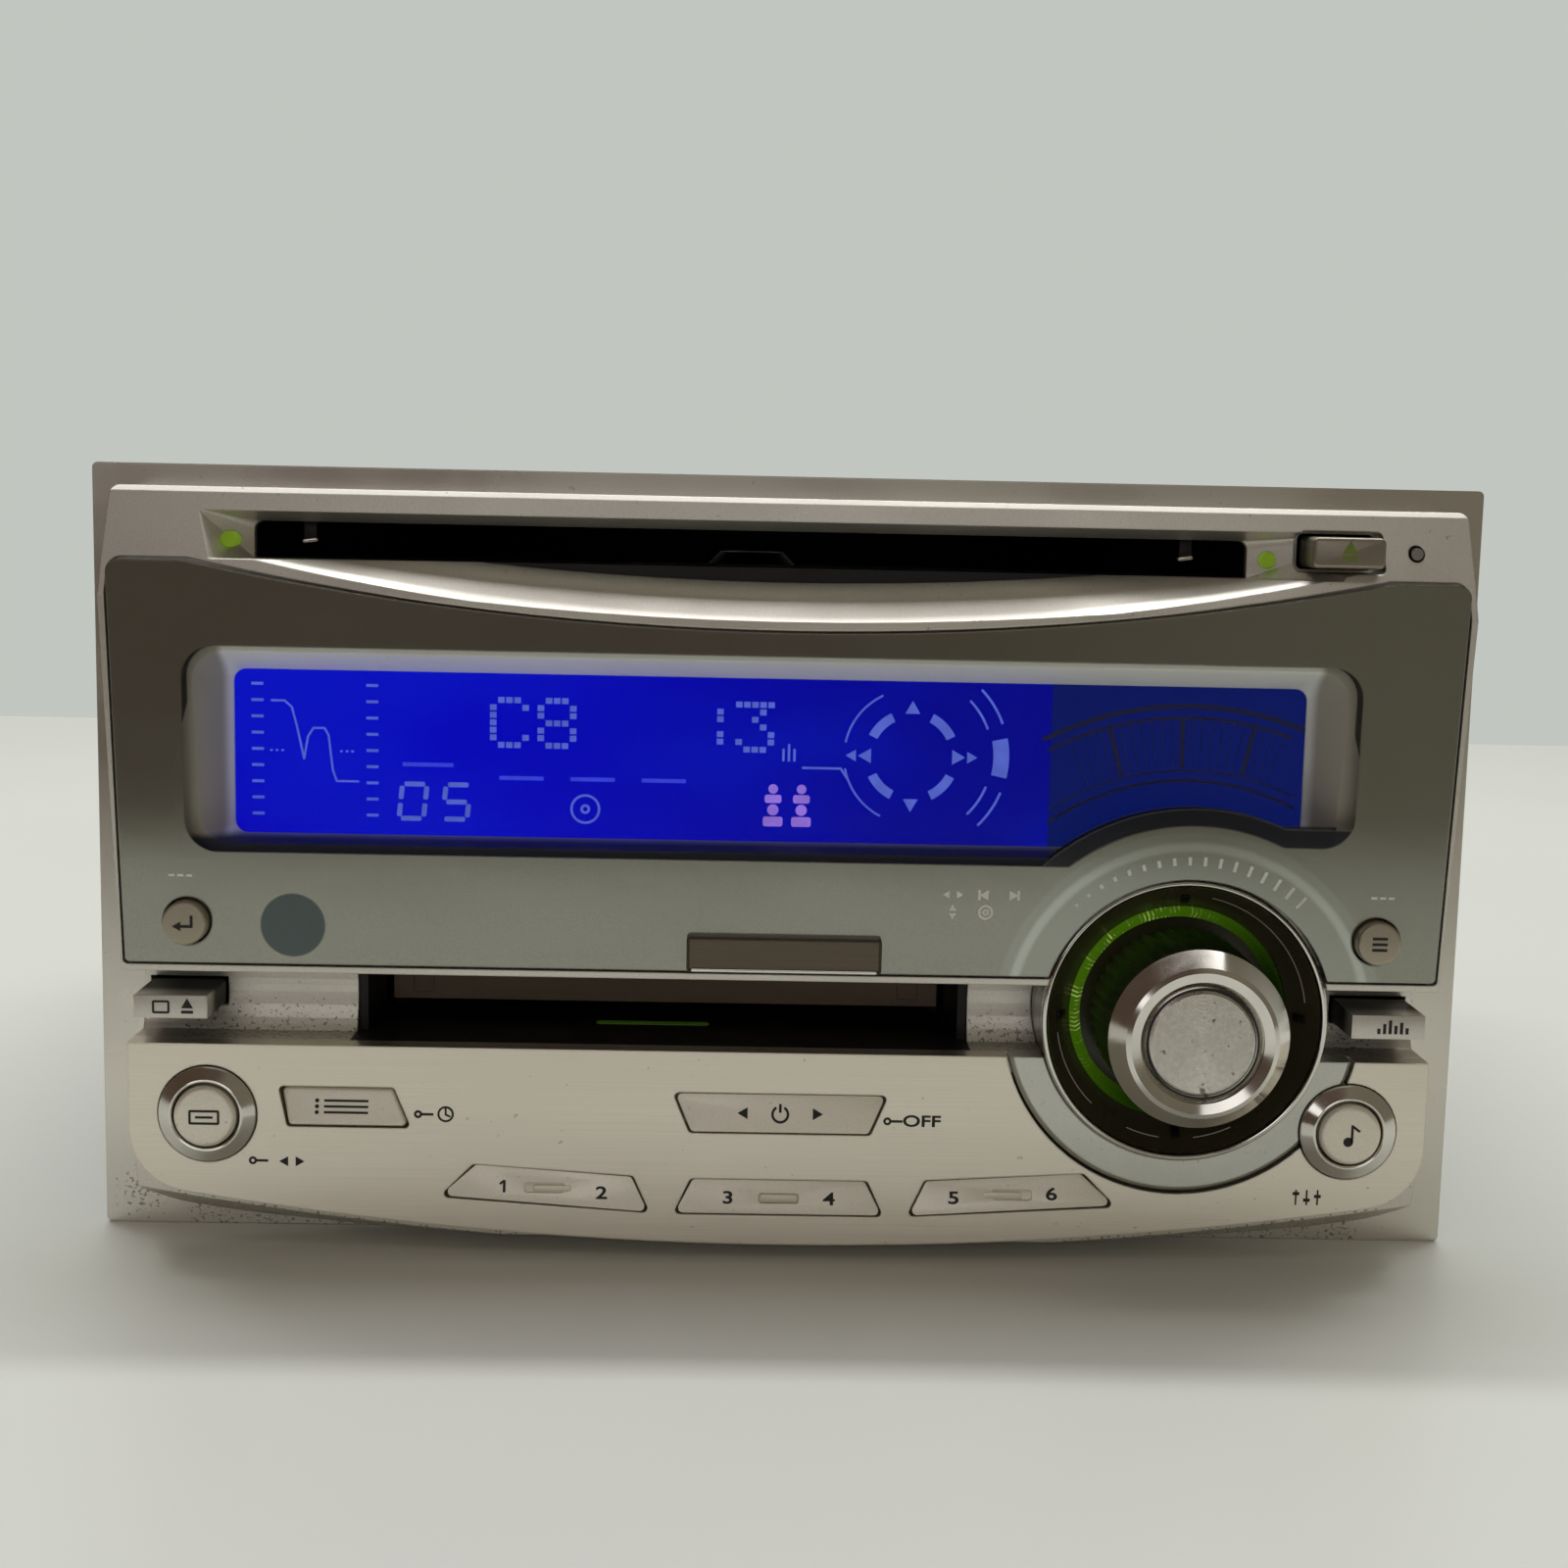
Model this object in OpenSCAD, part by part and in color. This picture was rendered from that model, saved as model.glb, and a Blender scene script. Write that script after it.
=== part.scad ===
// Car audio unit for a double-height dashboard opening: a disc slot above, a cartridge slot below,
// a lit display between them and a rotary control at the right.
// The front faces -Y, +X is to the right as seen from the front and +Z is up.
// A depth d runs forwards from the front face of the flange.

/* [Face] */
// Width of the flange
face_w = 178; // [174:1:186]
// Height of the flange
face_h = 100; // [98:1:108]
// Thickness of the flange plate
flange_t = 1.6; // [1.2:0.1:2.4]
// Width of the flange's border at the sides
flange_rim_x = 9; // [8:0.5:10]
// Width of the flange's border at the top and bottom
flange_rim_z = 5; // [4.5:0.5:5.5]
// Height of the rear lip that the key board rests on
lip_h = 3; // [2.5:0.5:4]
// Wall of the rear lip
lip_t = 2; // [1.5:0.5:2.5]

/* [Nose] */
// Gap from the flange's side edge to the nose
nose_gap_side = 4.6; // [4:0.2:5.4]
// Gap from the flange's top edge to the nose
nose_gap_top = 2.8; // [2:0.2:3.6]
// Gap from the flange's bottom edge to the nose
nose_gap_bottom = 1.8; // [1.2:0.2:2.4]
// Draw-in of the nose's sides from ridge to window bottom
nose_taper = 1.6; // [0.8:0.2:2.4]
// Radius of the nose's lower corners
nose_corner_r = 8; // [5:0.5:10]
// Height of the sloping band above the window
band_h = 8.9; // [8.5:0.1:9.5]
// Depth of the band's top edge
band_top_d = 9; // [8:0.5:10]
// Bevel along the band's top edge
band_bevel = 1.1; // [0.6:0.1:1.6]
// Depth of the ridge between band and window
ridge_d = 15; // [14.5:0.5:16]

/* [Disc slot] */
// Gap from the nose's left side to the disc slot
slot_gap_left = 17.2; // [16.6:0.2:18]
// Gap from the nose's right side to the disc slot
slot_gap_right = 27; // [26.6:0.2:28]
// Height of the disc slot
disc_slot_h = 4.6; // [4.4:0.1:4.8]
// Drop from the flange's top edge to the disc's middle plane
disc_drop = 9.2; // [9:0.1:9.6]
// Depth of the liner's front face
liner_front_d = 5.8; // [5:0.2:6.4]
// Wall of the liner at its top and ends
liner_wall = 1.2; // [0.8:0.1:1.4]
// Thickness of the liner's sill under the slot
liner_sill = 2.2; // [2:0.1:2.6]
// Reach of the liner behind the flange's front face
liner_back = 9; // [8:0.5:12]
// Spread of the slot's recess at its left end
recess_flare = 6.2; // [5:0.2:6.4]
// Spread of the slot's recess at its right end
recess_flare_right = 16; // [15:0.2:16.4]
// Radius of the slot's upper corners
slot_soft_r = 1.1; // [0.6:0.1:1.6]
// Lip of the nose in front of the liner
slot_lip = 1.2; // [0.8:0.1:1.6]
// Rise of the recess's ceiling towards the front
recess_rise = 1.4; // [1.2:0.1:2]
// Dip of the thumb scoop below the slot at the ridge
scoop_dip = 6.4; // [5:0.2:6.6]
// Slope of the thumb scoop
scoop_angle = 27; // [24:1:30]
// Radius of a slot lamp
lamp_r = 0.95; // [0.7:0.05:1.1]

/* [Window and display] */
// Height of the window's bottom edge above the bottom
window_z = 38.2; // [38:0.1:39]
// Depth of the window's front face at its bottom edge
window_low_d = 13; // [12.5:0.5:14]
// Thickness of the window
window_t = 2.6; // [2:0.1:3]
// Border of the nose beside the window
window_rim = 1.1; // [0.8:0.1:1.6]
// Gap from the nose's side to the curved dip in the window's top edge
smile_gap = 10.4; // [8:0.2:14]
// Sag of the curved dip in the window's top edge
smile_sag = 7.4; // [6:0.2:7.8]
// Gap between the window and its pocket
window_gap = 0.3; // [0.2:0.05:0.3]
// Space behind the window that the display frame bridges
window_space = 0.6; // [0.4:0.1:0.8]
// Gap from the nose's left side to the lit display
display_gap_left = 13.2; // [12.6:0.2:15]
// Gap from the nose's right side to the lit display
display_gap_right = 17.2; // [16.4:0.2:19]
// Gap from the window's curved top edge down to the lit display
display_gap_top = 6.3; // [6:0.1:8]
// Height of the display's bottom edge above the window's bottom edge
display_rise = 15.7; // [15.2:0.1:16.2]
// Spread of the display frame's sloping walls at the sides
frame_flare = 4.6; // [4:0.1:5]
// Spread of the display frame's sloping wall at the top
frame_flare_top = 2.7; // [2:0.1:3]
// Spread of the display frame's sloping wall at the bottom
frame_flare_low = 1.2; // [0.8:0.1:1.5]
// Wall of the display frame outside its sloping walls
frame_wall = 0.9; // [0.7:0.1:1]
// Depth of the display's face
display_d = 7; // [6.5:0.1:7.5]
// Thickness of the display panel
display_t = 2; // [1.5:0.1:2.4]
// Width of the badge plate
badge_w = 24.4; // [20:0.4:28]
// Height of the badge plate
badge_h = 4.5; // [3.5:0.1:5]
// Thickness of the badge plate
badge_t = 1.1; // [0.8:0.1:1.5]
// Radius of the remote-control sensor
sensor_r = 4; // [3:0.1:4.4]
// Inset of the sensor from the nose's left side
sensor_inset = 21.5; // [20:0.1:24]
// Height of the sensor above the window's bottom edge
sensor_rise = 5; // [4.8:0.1:5.4]

/* [Cartridge slot] */
// Gap from the nose's left side to the cartridge slot's mouth
mouth_gap_left = 27.8; // [27:0.2:28.4]
// Gap from the nose's right side to the cartridge slot's mouth
mouth_gap_right = 58.6; // [57.6:0.2:59.6]
// Narrowing of the mouth at each end towards the slot
mouth_taper = 2.4; // [2:0.1:2.8]
// Height of the cartridge slot with its flap open
cart_slot_h = 8.3; // [8.1:0.1:8.5]
// Depth of the groove's floor at its edges
groove_edge_d = 3.5; // [3:0.1:4]
// Hollow of the groove's floor
groove_hollow = 1.4; // [1:0.1:1.5]
// Lip of the nose under the window
window_lip = 0.8; // [0.6:0.1:1]
// Wall of the cartridge slot's frame
cart_wall = 0.8; // [0.6:0.1:1]
// Gap beside the flap at each end
flap_gap = 0.8; // [0.4:0.1:1]
// Height of the flap below its hinge
flap_h = 4.5; // [4:0.1:5]
// Thickness of the flap
flap_t = 0.9; // [0.7:0.1:1.1]
// Setback of the flap behind the flange's front face
flap_back = 6; // [5.5:0.1:6.5]
// Radius of the flap's hinge barrel
flap_barrel_r = 1.1; // [1:0.05:1.2]
// Radius of the flap's pin
flap_pin_r = 0.6; // [0.5:0.05:0.65]

/* [Lower panel] */
// Height of the panel's top edge, level with the cartridge tray
panel_top = 27.3; // [27:0.1:27.5]
// Depth of the panel's front face
panel_d = 11; // [10.5:0.5:11.5]
// Thickness of the panel
panel_t = 3; // [2.5:0.1:3.4]
// Height of the lowest point of the panel's bottom edge
panel_low = 2; // [1.9:0.1:2.4]
// Radius of the panel's bowed bottom edge
panel_bow_r = 487; // [460:1:520]
// Backward slope of the skirt under the panel
skirt_angle = 26.5; // [24:0.5:30]
// Wall that carries the panel
panel_wall = 2.8; // [2.6:0.1:3.2]

/* [Keys] */
// Travel of a pressed key
key_travel = 0.8; // [0.5:0.1:0.9]
// Gap between a key and its hole
key_gap = 0.3; // [0.25:0.05:0.35]
// Drop of the disc eject key's face behind the ridge
key_proud = 0.8; // [0.5:0.1:1.2]
// Border of a key's rear flange
key_flange = 0.9; // [0.7:0.1:1]
// Thickness of a key's rear flange
key_flange_t = 1.2; // [1:0.1:1.4]
// Radius of a key's stem
stem_r = 1.2; // [1:0.1:1.3]
// Height of a key switch
switch_h = 1.8; // [1.4:0.1:2]
// Width of a key switch
switch_w = 4.4; // [4:0.1:5]
// Tilt of a preset rocker each way
rocker_tilt = 3; // [2:0.5:3]
// Radius of the round keys in the window
round_key_r = 2.75; // [2.5:0.05:3]
// Inset of the round window keys from the nose's side
round_key_inset = 8.4; // [8:0.1:9]
// Height of the round window keys above the window's bottom edge
round_key_rise = 5.3; // [5:0.1:5.8]
// Radius of the keys in the bright rings
ring_key_r = 3.95; // [3.5:0.05:4.1]
// Outer radius of a bright ring
ring_r = 6.2; // [5.8:0.1:6.4]
// Inset of the bright rings from the nose's side
ring_inset = 10; // [9.5:0.1:10.5]
// Height of the bright rings' middles
ring_z = 18.2; // [17.8:0.1:18.6]
// Height of the info and source keys' middles
key_row_z = 19.3; // [18.8:0.1:19.8]
// Height of the info and source keys
key_h = 4.7; // [4.2:0.1:5]
// Inset of the info key's middle from the nose's left side
info_inset = 26.3; // [26:0.1:28.4]
// Width of the info key along its top edge
info_w = 14.1; // [12:0.1:14.4]
// Width of the source key along its top edge
source_w = 27; // [24:0.5:30]
// Slant of the key ends
key_slant = 2.2; // [1.5:0.1:2.5]
// Lean of the panel keys' faces
key_lean = 14; // [8:1:16]
// Sink of the panel keys' faces at mid height
key_sink = 0.25; // [0:0.05:0.4]
// Gap from the knob's axis back to the right preset rocker's end
preset_end = 7.75; // [7.6:0.05:9.5]
// Space between the preset rockers
preset_space = 3.5; // [3.2:0.1:6]
// Height of a preset rocker
preset_h = 4.2; // [3.8:0.1:4.4]
// Gap from the panel's bottom edge up to the preset rockers
preset_gap = 4; // [3.8:0.1:4.4]
// Width of the eject and sound keys in the groove
groove_key_w = 9.4; // [8.5:0.1:9.6]
// Height of the eject and sound keys in the groove
groove_key_h = 3.1; // [2.6:0.1:3.3]
// Inset of the groove keys from the nose's side
groove_key_inset = 5.8; // [5.6:0.1:6.4]
// Width of the disc eject key
eject_w = 9; // [8:0.1:9.2]
// Height of the disc eject key
eject_h = 3.8; // [3.4:0.1:4]
// Gap of the pocket round the disc eject key
eject_pocket = 0.7; // [0.6:0.05:0.8]
// Inset of the disc eject key from the nose's side
eject_inset = 16.2; // [16:0.1:16.6]
// Radius of the reset hole
reset_r = 1.05; // [0.9:0.05:1.2]
// Inset of the reset hole from the nose's side
reset_inset = 7; // [6.6:0.1:7.4]

/* [Rotary control] */
// Inset of the knob's axis from the nose's lower side
knob_inset = 31.8; // [31.5:0.1:32.2]
// Height of the knob's axis
knob_z = 32.5; // [32.2:0.1:32.8]
// Outer radius of the well
well_r = 18.2; // [17.8:0.1:18.4]
// Depth of the well's front edge
well_d = 11.4; // [11:0.1:12]
// Outer radius of the crescent round the well
crescent_r = 22.6; // [22.2:0.1:22.8]
// Radius of the arch behind the window over the knob
arch_r = 25; // [24:0.2:25.4]
// Outer radius of the knurled grip
grip_r = 11.2; // [10.8:0.1:11.4]
// Depth of the knurl's flutes
flute_h = 0.5; // [0.3:0.05:0.6]
// Flutes round the grip
flutes = 44; // [36:1:48]
// Slant of the flutes along the grip, in degrees of turn
flute_twist = 8; // [0:1:12]
// Depth of the knob's front edge
knob_front_d = 23.5; // [23:0.5:25]
// Depth of the knob's rear edge
knob_back_d = 6.5; // [6.3:0.1:7]
// Radius of the knob's spun cap
cap_r = 6.8; // [6:0.1:7.2]
// Radius of the encoder shaft
shaft_r = 2.5; // [2.2:0.1:2.7]
// Wall of the push sleeve and of the cradle
sleeve_wall = 1.7; // [1.5:0.1:1.9]
// Radius of the gimbal's pins
gimbal_pin_r = 0.95; // [0.8:0.05:1]
// Setback of the gimbal's pins behind the flange's front face
gimbal_back = 1; // [0.8:0.1:1.2]
// Radius of the gimbal ring
gimbal_r = 9.6; // [9.4:0.1:9.8]
// Wall of the gimbal ring
gimbal_wall = 2.2; // [1.8:0.1:2.2]

/* [Chassis] */
// Gap from the flange's side edge to the chassis's side plate
chassis_gap_side = 2.3; // [2:0.1:3]
// Gap from the flange's top edge to the chassis's lid
chassis_gap_top = 1; // [0.5:0.1:1.6]
// Length of the chassis behind the flange
chassis_l = 150; // [146:1:170]
// Thickness of the sheet metal
sheet = 1; // [0.8:0.1:1.2]
// Height of the top cover's folded side lips
cover_lip = 7; // [5:0.5:10]
// Vent slots along the top cover
vents = 9; // [5:1:12]
// Radius of the side fixing holes
side_hole_r = 2.5; // [2:0.1:3]
// Spacing of the side fixing holes front to back
side_hole_y = 62; // [50:1:70]
// Spacing of the side fixing holes up and down
side_hole_z = 50; // [45:1:52]
// Width of the heat sink
sink_w = 78; // [60:1:80]
// Height of the heat sink's foot above the bottom
sink_foot = 37; // [34:1:50]
// Gap from the lid to the heat sink
sink_gap_top = 6; // [3:0.5:12]
// Length of the heat sink behind the rear panel
sink_l = 14; // [10:0.5:20]
// Fins of the heat sink
fins = 11; // [6:1:13]
// Radius of the rear stud
stud_r = 3; // [2.5:0.1:3.5]
// Free length of the rear stud
stud_l = 9; // [7:0.5:9.5]
// Step from the stud's wall to its neck
stud_step = 0.5; // [0.3:0.1:0.8]
// Height of the main board's underside
board_z = 12; // [10:0.5:14]
// Length of the main board
board_l = 44; // [36:1:50]
// Thickness of the boards
board_t = 1.6; // [1.2:0.1:2]
// Bore radius of the aerial socket
aerial_r = 4.6; // [4:0.1:5]
// Wall of the aerial socket
aerial_wall = 1.6; // [1.2:0.1:2]
// Reach of the aerial socket behind the rear panel
aerial_out = 8; // [6:0.5:10]
// Reach of the aerial socket inside the rear panel
aerial_in = 16; // [12:0.5:18]
// Inset of the aerial socket from the chassis's side
aerial_inset = 16; // [14:0.5:20]
// Radius of a line socket
line_r = 4.2; // [3.8:0.1:4.6]
// Reach of a line socket behind the rear panel
line_out = 9; // [7:0.5:10]
// Reach of a line socket inside the rear panel
line_in = 12; // [8:0.5:14]
// Inset of the first line socket from the chassis's side
line_inset = 38; // [34:1:44]
// Spacing of the line sockets
line_step = 14; // [11:0.5:16]
// Height of the round sockets' axes above the main board
socket_rise = 10; // [8:0.5:12]
// Width of the power socket
power_w = 34; // [26:1:40]
// Height of the power socket
power_h = 18; // [14:0.5:20]
// Wall of the power socket
power_wall = 2; // [1.5:0.1:2.5]
// Reach of the power socket behind the rear panel
power_out = 6; // [4:0.5:8]
// Reach of the power socket inside the rear panel
power_in = 12; // [9:0.5:14]
// Inset of the power socket's middle from the chassis's left side
power_inset = 52.7; // [44:0.1:60]
// Drop from the lid to the rear stud
stud_drop = 24; // [18:0.5:30]
// Inset of the rear stud from the chassis's right side
stud_inset = 43.4; // [36:0.1:60]

/* [Mechanisms] */
// Height of the disc slot above the disc mechanism's base plate
disc_mech_h = 18.5; // [17.5:0.5:19.5]
// Sheet of the mechanism frames
mech_t = 1.2; // [1:0.1:1.4]
// Gap between the disc slot's end and the disc frame's wall
disc_frame_gap = 3.7; // [3:0.1:4.5]
// Space behind the disc frame
disc_frame_rear = 11.6; // [8:0.2:14]
// Space between the flange's front face and the mechanisms
mech_front = 11; // [10.5:0.5:12]
// Shift of the turntable behind the disc frame's middle
turntable_shift = 7; // [4:0.5:9]
// Radius of the loading roller at its ends
roller_r = 4; // [3.6:0.1:4.2]
// Waist of the loading roller
roller_waist = 0.5; // [0.2:0.1:0.8]
// Radius of the rods, screws and roller shaft
rod_r = 1.5; // [1.3:0.1:1.7]
// Radius of the turntable
turntable_r = 14; // [12:0.5:15]
// Travel of the disc pickup
pickup_travel = 24; // [20:1:26]
// Height of the cartridge tray above its mechanism's base plate
cart_mech_h = 10.3; // [9.5:0.1:11]
// Length of the cartridge mechanism frame
cart_frame_l = 76; // [74:1:80]
// Radius of the cartridge spindle's table
spindle_r = 7; // [5:0.5:8]

/* [Clearances] */
// Gap round fixed pieces in their seats
fit_gap = 0.15; // [0.1:0.05:0.2]
// Radial gap of shafts and pins in their bores
run_gap = 0.05; // [0.03:0.01:0.08]
// Gap where moving flanges meet their stops
stop_gap = 0.1; // [0.05:0.05:0.2]

/* [Hidden] */
$fn = 96;
past = 1;
far_d = 40;
corner_steps = 6;
arc_steps = 28;

// Depths and heights that the driving sizes give
body_back = flange_t + chassis_l + sink_l;
face_y = (knob_front_d - body_back) / 2;
chassis_back = flange_t + chassis_l;
nose_hw = face_w / 2 - nose_gap_side;
nose_low_hw = nose_hw - nose_taper;
nose_top = face_h - nose_gap_top;
smile_half = nose_hw - smile_gap;
chassis_w = face_w - 2 * chassis_gap_side;
chassis_h = face_h - chassis_gap_top;
disc_slot_w = 2 * nose_hw - slot_gap_left - slot_gap_right;
disc_x = (slot_gap_left - slot_gap_right) / 2;
display_w = 2 * nose_low_hw - display_gap_left - display_gap_right;
display_x = (display_gap_left - display_gap_right) / 2;
mouth_w = 2 * nose_low_hw - mouth_gap_left - mouth_gap_right;
cart_x = (mouth_gap_left - mouth_gap_right) / 2;
cart_slot_w = mouth_w - 2 * mouth_taper;
flap_w = cart_slot_w - 2 * flap_gap;
sensor_x = sensor_inset - nose_low_hw;
info_x = info_inset - nose_low_hw;
sink_h = chassis_h - sink_gap_top - sink_foot;
ridge_z = nose_top - band_h;
groove_top = window_z - window_gap - window_lip;
panel_seat = panel_d - panel_t;
disc_z = face_h - disc_drop;
slot_low = disc_z - disc_slot_h / 2;
slot_high = disc_z + disc_slot_h / 2;
disc_base_z = slot_low - disc_mech_h;
disc_frame_w = disc_slot_w + 2 * disc_frame_gap;
disc_frame_l = chassis_back - sheet - disc_frame_rear - mech_front;
smile_r = (smile_half * smile_half + smile_sag * smile_sag) / (2 * smile_sag);
display_z = window_z + display_rise;
display_h = ridge_z - smile_sag - display_gap_top - display_z;
frame_w = display_w + 2 * frame_flare + 2 * frame_wall;
frame_low = display_z - frame_flare_low - frame_wall;
frame_high = display_z + display_h + frame_flare_top + frame_wall;
knob_x = nose_low_hw - knob_inset;
preset_step = (knob_x - preset_end + preset_space / 2) / 1.5;
preset_w = preset_step - preset_space;
lip_back = flange_t + lip_h;
switch_d = switch_h - lip_back;
stem_end = switch_d + key_travel + stop_gap;
window_hw = face_w / 2 - flange_rim_x;
ring_x = nose_low_hw - ring_inset;
ring_in = ring_key_r + key_gap;
round_key_x = nose_low_hw - round_key_inset;
round_key_z = window_z + round_key_rise;
groove_key_x = nose_low_hw - groove_key_inset;
groove_key_z = (panel_top + groove_top) / 2;
eject_x = nose_hw - eject_inset;
eject_rise = 1.2;
eject_z = disc_z + eject_rise;
reset_x = nose_hw - reset_inset;
relief_d = 7;
key_back_wall = 1.2;
flap_z = panel_top + cart_slot_h - flap_barrel_r - fit_gap - stop_gap;
cradle_r = shaft_r + run_gap + sleeve_wall + run_gap + sleeve_wall;
gimbal_half = 1.4;
well_floor = [1.4, 3];
well_edge = 0.9;
bowl_r = 14;
bowl_d = 7.2;
sleeve_ends = [-gimbal_back - 4, 7];
shaft_front = knob_front_d - 5.5;
cap_seat = knob_front_d - 1.2;
rim_d = knob_front_d - 3;
core_r = grip_r - flute_h - 0.8;
lug_gap = 0.8;
lug_l = 2.6;
lug_half = 2.4;
roller_back = 17;
roller_z = slot_low - stop_gap - roller_r;
turntable_back = mech_front + disc_frame_l / 2 + turntable_shift;
cart_base_z = panel_top - cart_mech_h;
rod_spread = 19;
rod_rise = 7;

// Y of a depth in front of the flange
function y_at(d) = face_y - d;

// Depth and height pairs as points of a side profile
function side(points) = [for (p = points) [y_at(p[0]), p[1]]];

function unit(v) = v / norm(v);

// Arc that rounds the corner b between a and c
function corner(a, b, c, r) =
  let (
    u = unit(a - b),
    v = unit(c - b),
    half = acos(u * v) / 2,
    centre = b + unit(u + v) * r / sin(half),
    from = unit(b + u * r / tan(half) - centre),
    to = unit(b + v * r / tan(half) - centre),
    turn = acos(from * to)
  )
  [for (i = [0 : corner_steps])
    let (w = i / corner_steps)
    centre + r * (sin((1 - w) * turn) * from + sin(w * turn) * to) / sin(turn)];

// Outline whose points [x, z, radius] have their corners rounded
function rounded(points) =
  let (n = len(points))
  [for (i = [0 : n - 1])
    let (a = points[(i + n - 1) % n], b = points[i], c = points[(i + 1) % n], p = [b[0], b[1]])
    each b[2] == 0 ? [p] : corner([a[0], a[1]], p, [c[0], c[1]], b[2])];

// Rectangle with rounded corners about a middle point
function round_rect(x, z, w, h, r) = rounded([
  [x - w / 2, z - h / 2, r],
  [x + w / 2, z - h / 2, r],
  [x + w / 2, z + h / 2, r],
  [x - w / 2, z + h / 2, r]
]);

// Slab of a front outline between two depths
module slab(d_back, d_front) {
  translate([0, y_at(d_back), 0])
    rotate([90, 0, 0])
    linear_extrude(d_front - d_back)
    children();
}

// Bar of a side profile between two widths
module across(x_left, x_right) {
  translate([x_left, 0, 0])
    rotate([90, 0, 90])
    linear_extrude(x_right - x_left)
    children();
}

// Cylinder that points forwards between two depths
module post(x, z, r, d_back, d_front) {
  translate([x, y_at(d_back), z])
    rotate([90, 0, 0])
    cylinder(r = r, h = d_front - d_back);
}

// Turned form about an axis that points forwards, drawn as radius and depth
module turned(x, z) {
  translate([x, y_at(0), z])
    rotate([90, 0, 0])
    rotate_extrude()
    children();
}

// Round bar along X
module bar_x(x_left, x_right, d, z, r) {
  translate([x_left, y_at(d), z])
    rotate([0, 90, 0])
    cylinder(r = r, h = x_right - x_left);
}

// Block between two corners given as width, depth and height
module block(x, d, z) {
  translate([x[0], y_at(d[1]), z[0]])
    cube([x[1] - x[0], d[1] - d[0], z[1] - z[0]]);
}

// Depth of the window's front face at a height
function window_d(z) =
  window_low_d + (ridge_d - window_low_d) * (z - window_z) / (ridge_z - window_z);

// Height of the window's curved top edge
function smile_z(x) = ridge_z - smile_sag + smile_r - sqrt(smile_r * smile_r - x * x);

// Height of the panel's bowed bottom edge
function bow_z(x) = panel_low + panel_bow_r - sqrt(panel_bow_r * panel_bow_r - x * x);

// Side profile of a layer that lies along the window's front face
function window_layer(d_back, d_front, grow) =
  let (low = window_z - grow, high = ridge_z + grow)
  side([
    [window_d(low) + d_back, low],
    [window_d(low) + d_front, low],
    [window_d(high) + d_front, high],
    [window_d(high) + d_back, high]
  ]);

// Window outline, grown on every side for its pocket
function window_outline(grow) =
  let (
    top_hw = nose_hw - window_rim + grow,
    low_hw = nose_low_hw - window_rim / 2 + grow,
    top_r = 1.6,
    low_r = 0.6
  )
  concat(
    rounded([
      [-smile_half, ridge_z + grow, 0],
      [-top_hw, ridge_z + grow, top_r],
      [-low_hw, window_z - grow, low_r],
      [low_hw, window_z - grow, low_r],
      [top_hw, ridge_z + grow, top_r],
      [smile_half, ridge_z + grow, 0]
    ]),
    [for (i = [1 : arc_steps - 1])
      let (x = smile_half * (1 - 2 * i / arc_steps))
      [x, smile_z(x) + grow]]
  );

// Outline of the nose seen from the front
function nose_outline() =
  let (top_r = 1.2)
  rounded([
    [-nose_hw, nose_top, top_r],
    [-nose_hw, ridge_z, 0],
    [-nose_low_hw, window_z, 0],
    [-nose_low_hw, nose_gap_bottom, nose_corner_r],
    [nose_low_hw, nose_gap_bottom, nose_corner_r],
    [nose_low_hw, window_z, 0],
    [nose_hw, ridge_z, 0],
    [nose_hw, nose_top, top_r]
  ]);

// Side profile of the nose with its hollow groove
function nose_profile() =
  let (
    half = (groove_top - panel_top) / 2,
    hollow_r = (half * half + groove_hollow * groove_hollow) / (2 * groove_hollow),
    sweep = asin(half / hollow_r),
    centre_d = groove_edge_d - groove_hollow + hollow_r,
    groove = [for (i = [-corner_steps : corner_steps])
      let (a = sweep * i / corner_steps)
      [centre_d - hollow_r * cos(a), panel_top + half + hollow_r * sin(a)]]
  )
  side(concat(
    [[0, nose_gap_bottom], [panel_seat, nose_gap_bottom], [panel_seat, panel_top]],
    groove,
    [
      [window_d(groove_top), groove_top],
      [ridge_d, ridge_z],
      [band_top_d, nose_top - band_bevel],
      [band_top_d - band_bevel, nose_top],
      [0, nose_top]
    ]
  ));

// Lower panel outline, drawn in on every side by an inset
function panel_outline(inset) =
  let (hw = nose_low_hw - inset, r = nose_corner_r - inset, foot = hw - r * 0.9)
  concat(
    rounded([
      [foot, bow_z(foot) + inset, 0],
      [hw, bow_z(hw) + inset, r],
      [hw, panel_top - inset, 0],
      [-hw, panel_top - inset, 0],
      [-hw, bow_z(hw) + inset, r],
      [-foot, bow_z(foot) + inset, 0]
    ]),
    [for (i = [1 : arc_steps - 1])
      let (x = foot * (2 * i / arc_steps - 1))
      [x, bow_z(x) + inset]]
  );

// Great slanting cylinder that trims the skirt under the panel
module skirt_trim() {
  trim_r = panel_bow_r / cos(skirt_angle);
  translate([0, y_at(panel_d), panel_low])
    rotate([-skirt_angle, 0, 0])
    translate([0, 0, trim_r])
    rotate([90, 0, 0])
    cylinder(r = trim_r, h = 2 * far_d, center = true, $fn = 720);
}

// Recess that leads into the disc slot
module slot_recess() {
  half = disc_slot_w / 2;
  lift = slot_high + recess_rise;
  sill_d = ridge_d + past;
  hull() {
    slab(liner_front_d, liner_front_d + fit_gap)
      slot_outline(0);
    across(disc_x - half - recess_flare, disc_x + half + recess_flare_right)
      polygon(side([[band_top_d + past, lift], [sill_d, lift], [sill_d, slot_low]]));
  }
}

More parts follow.
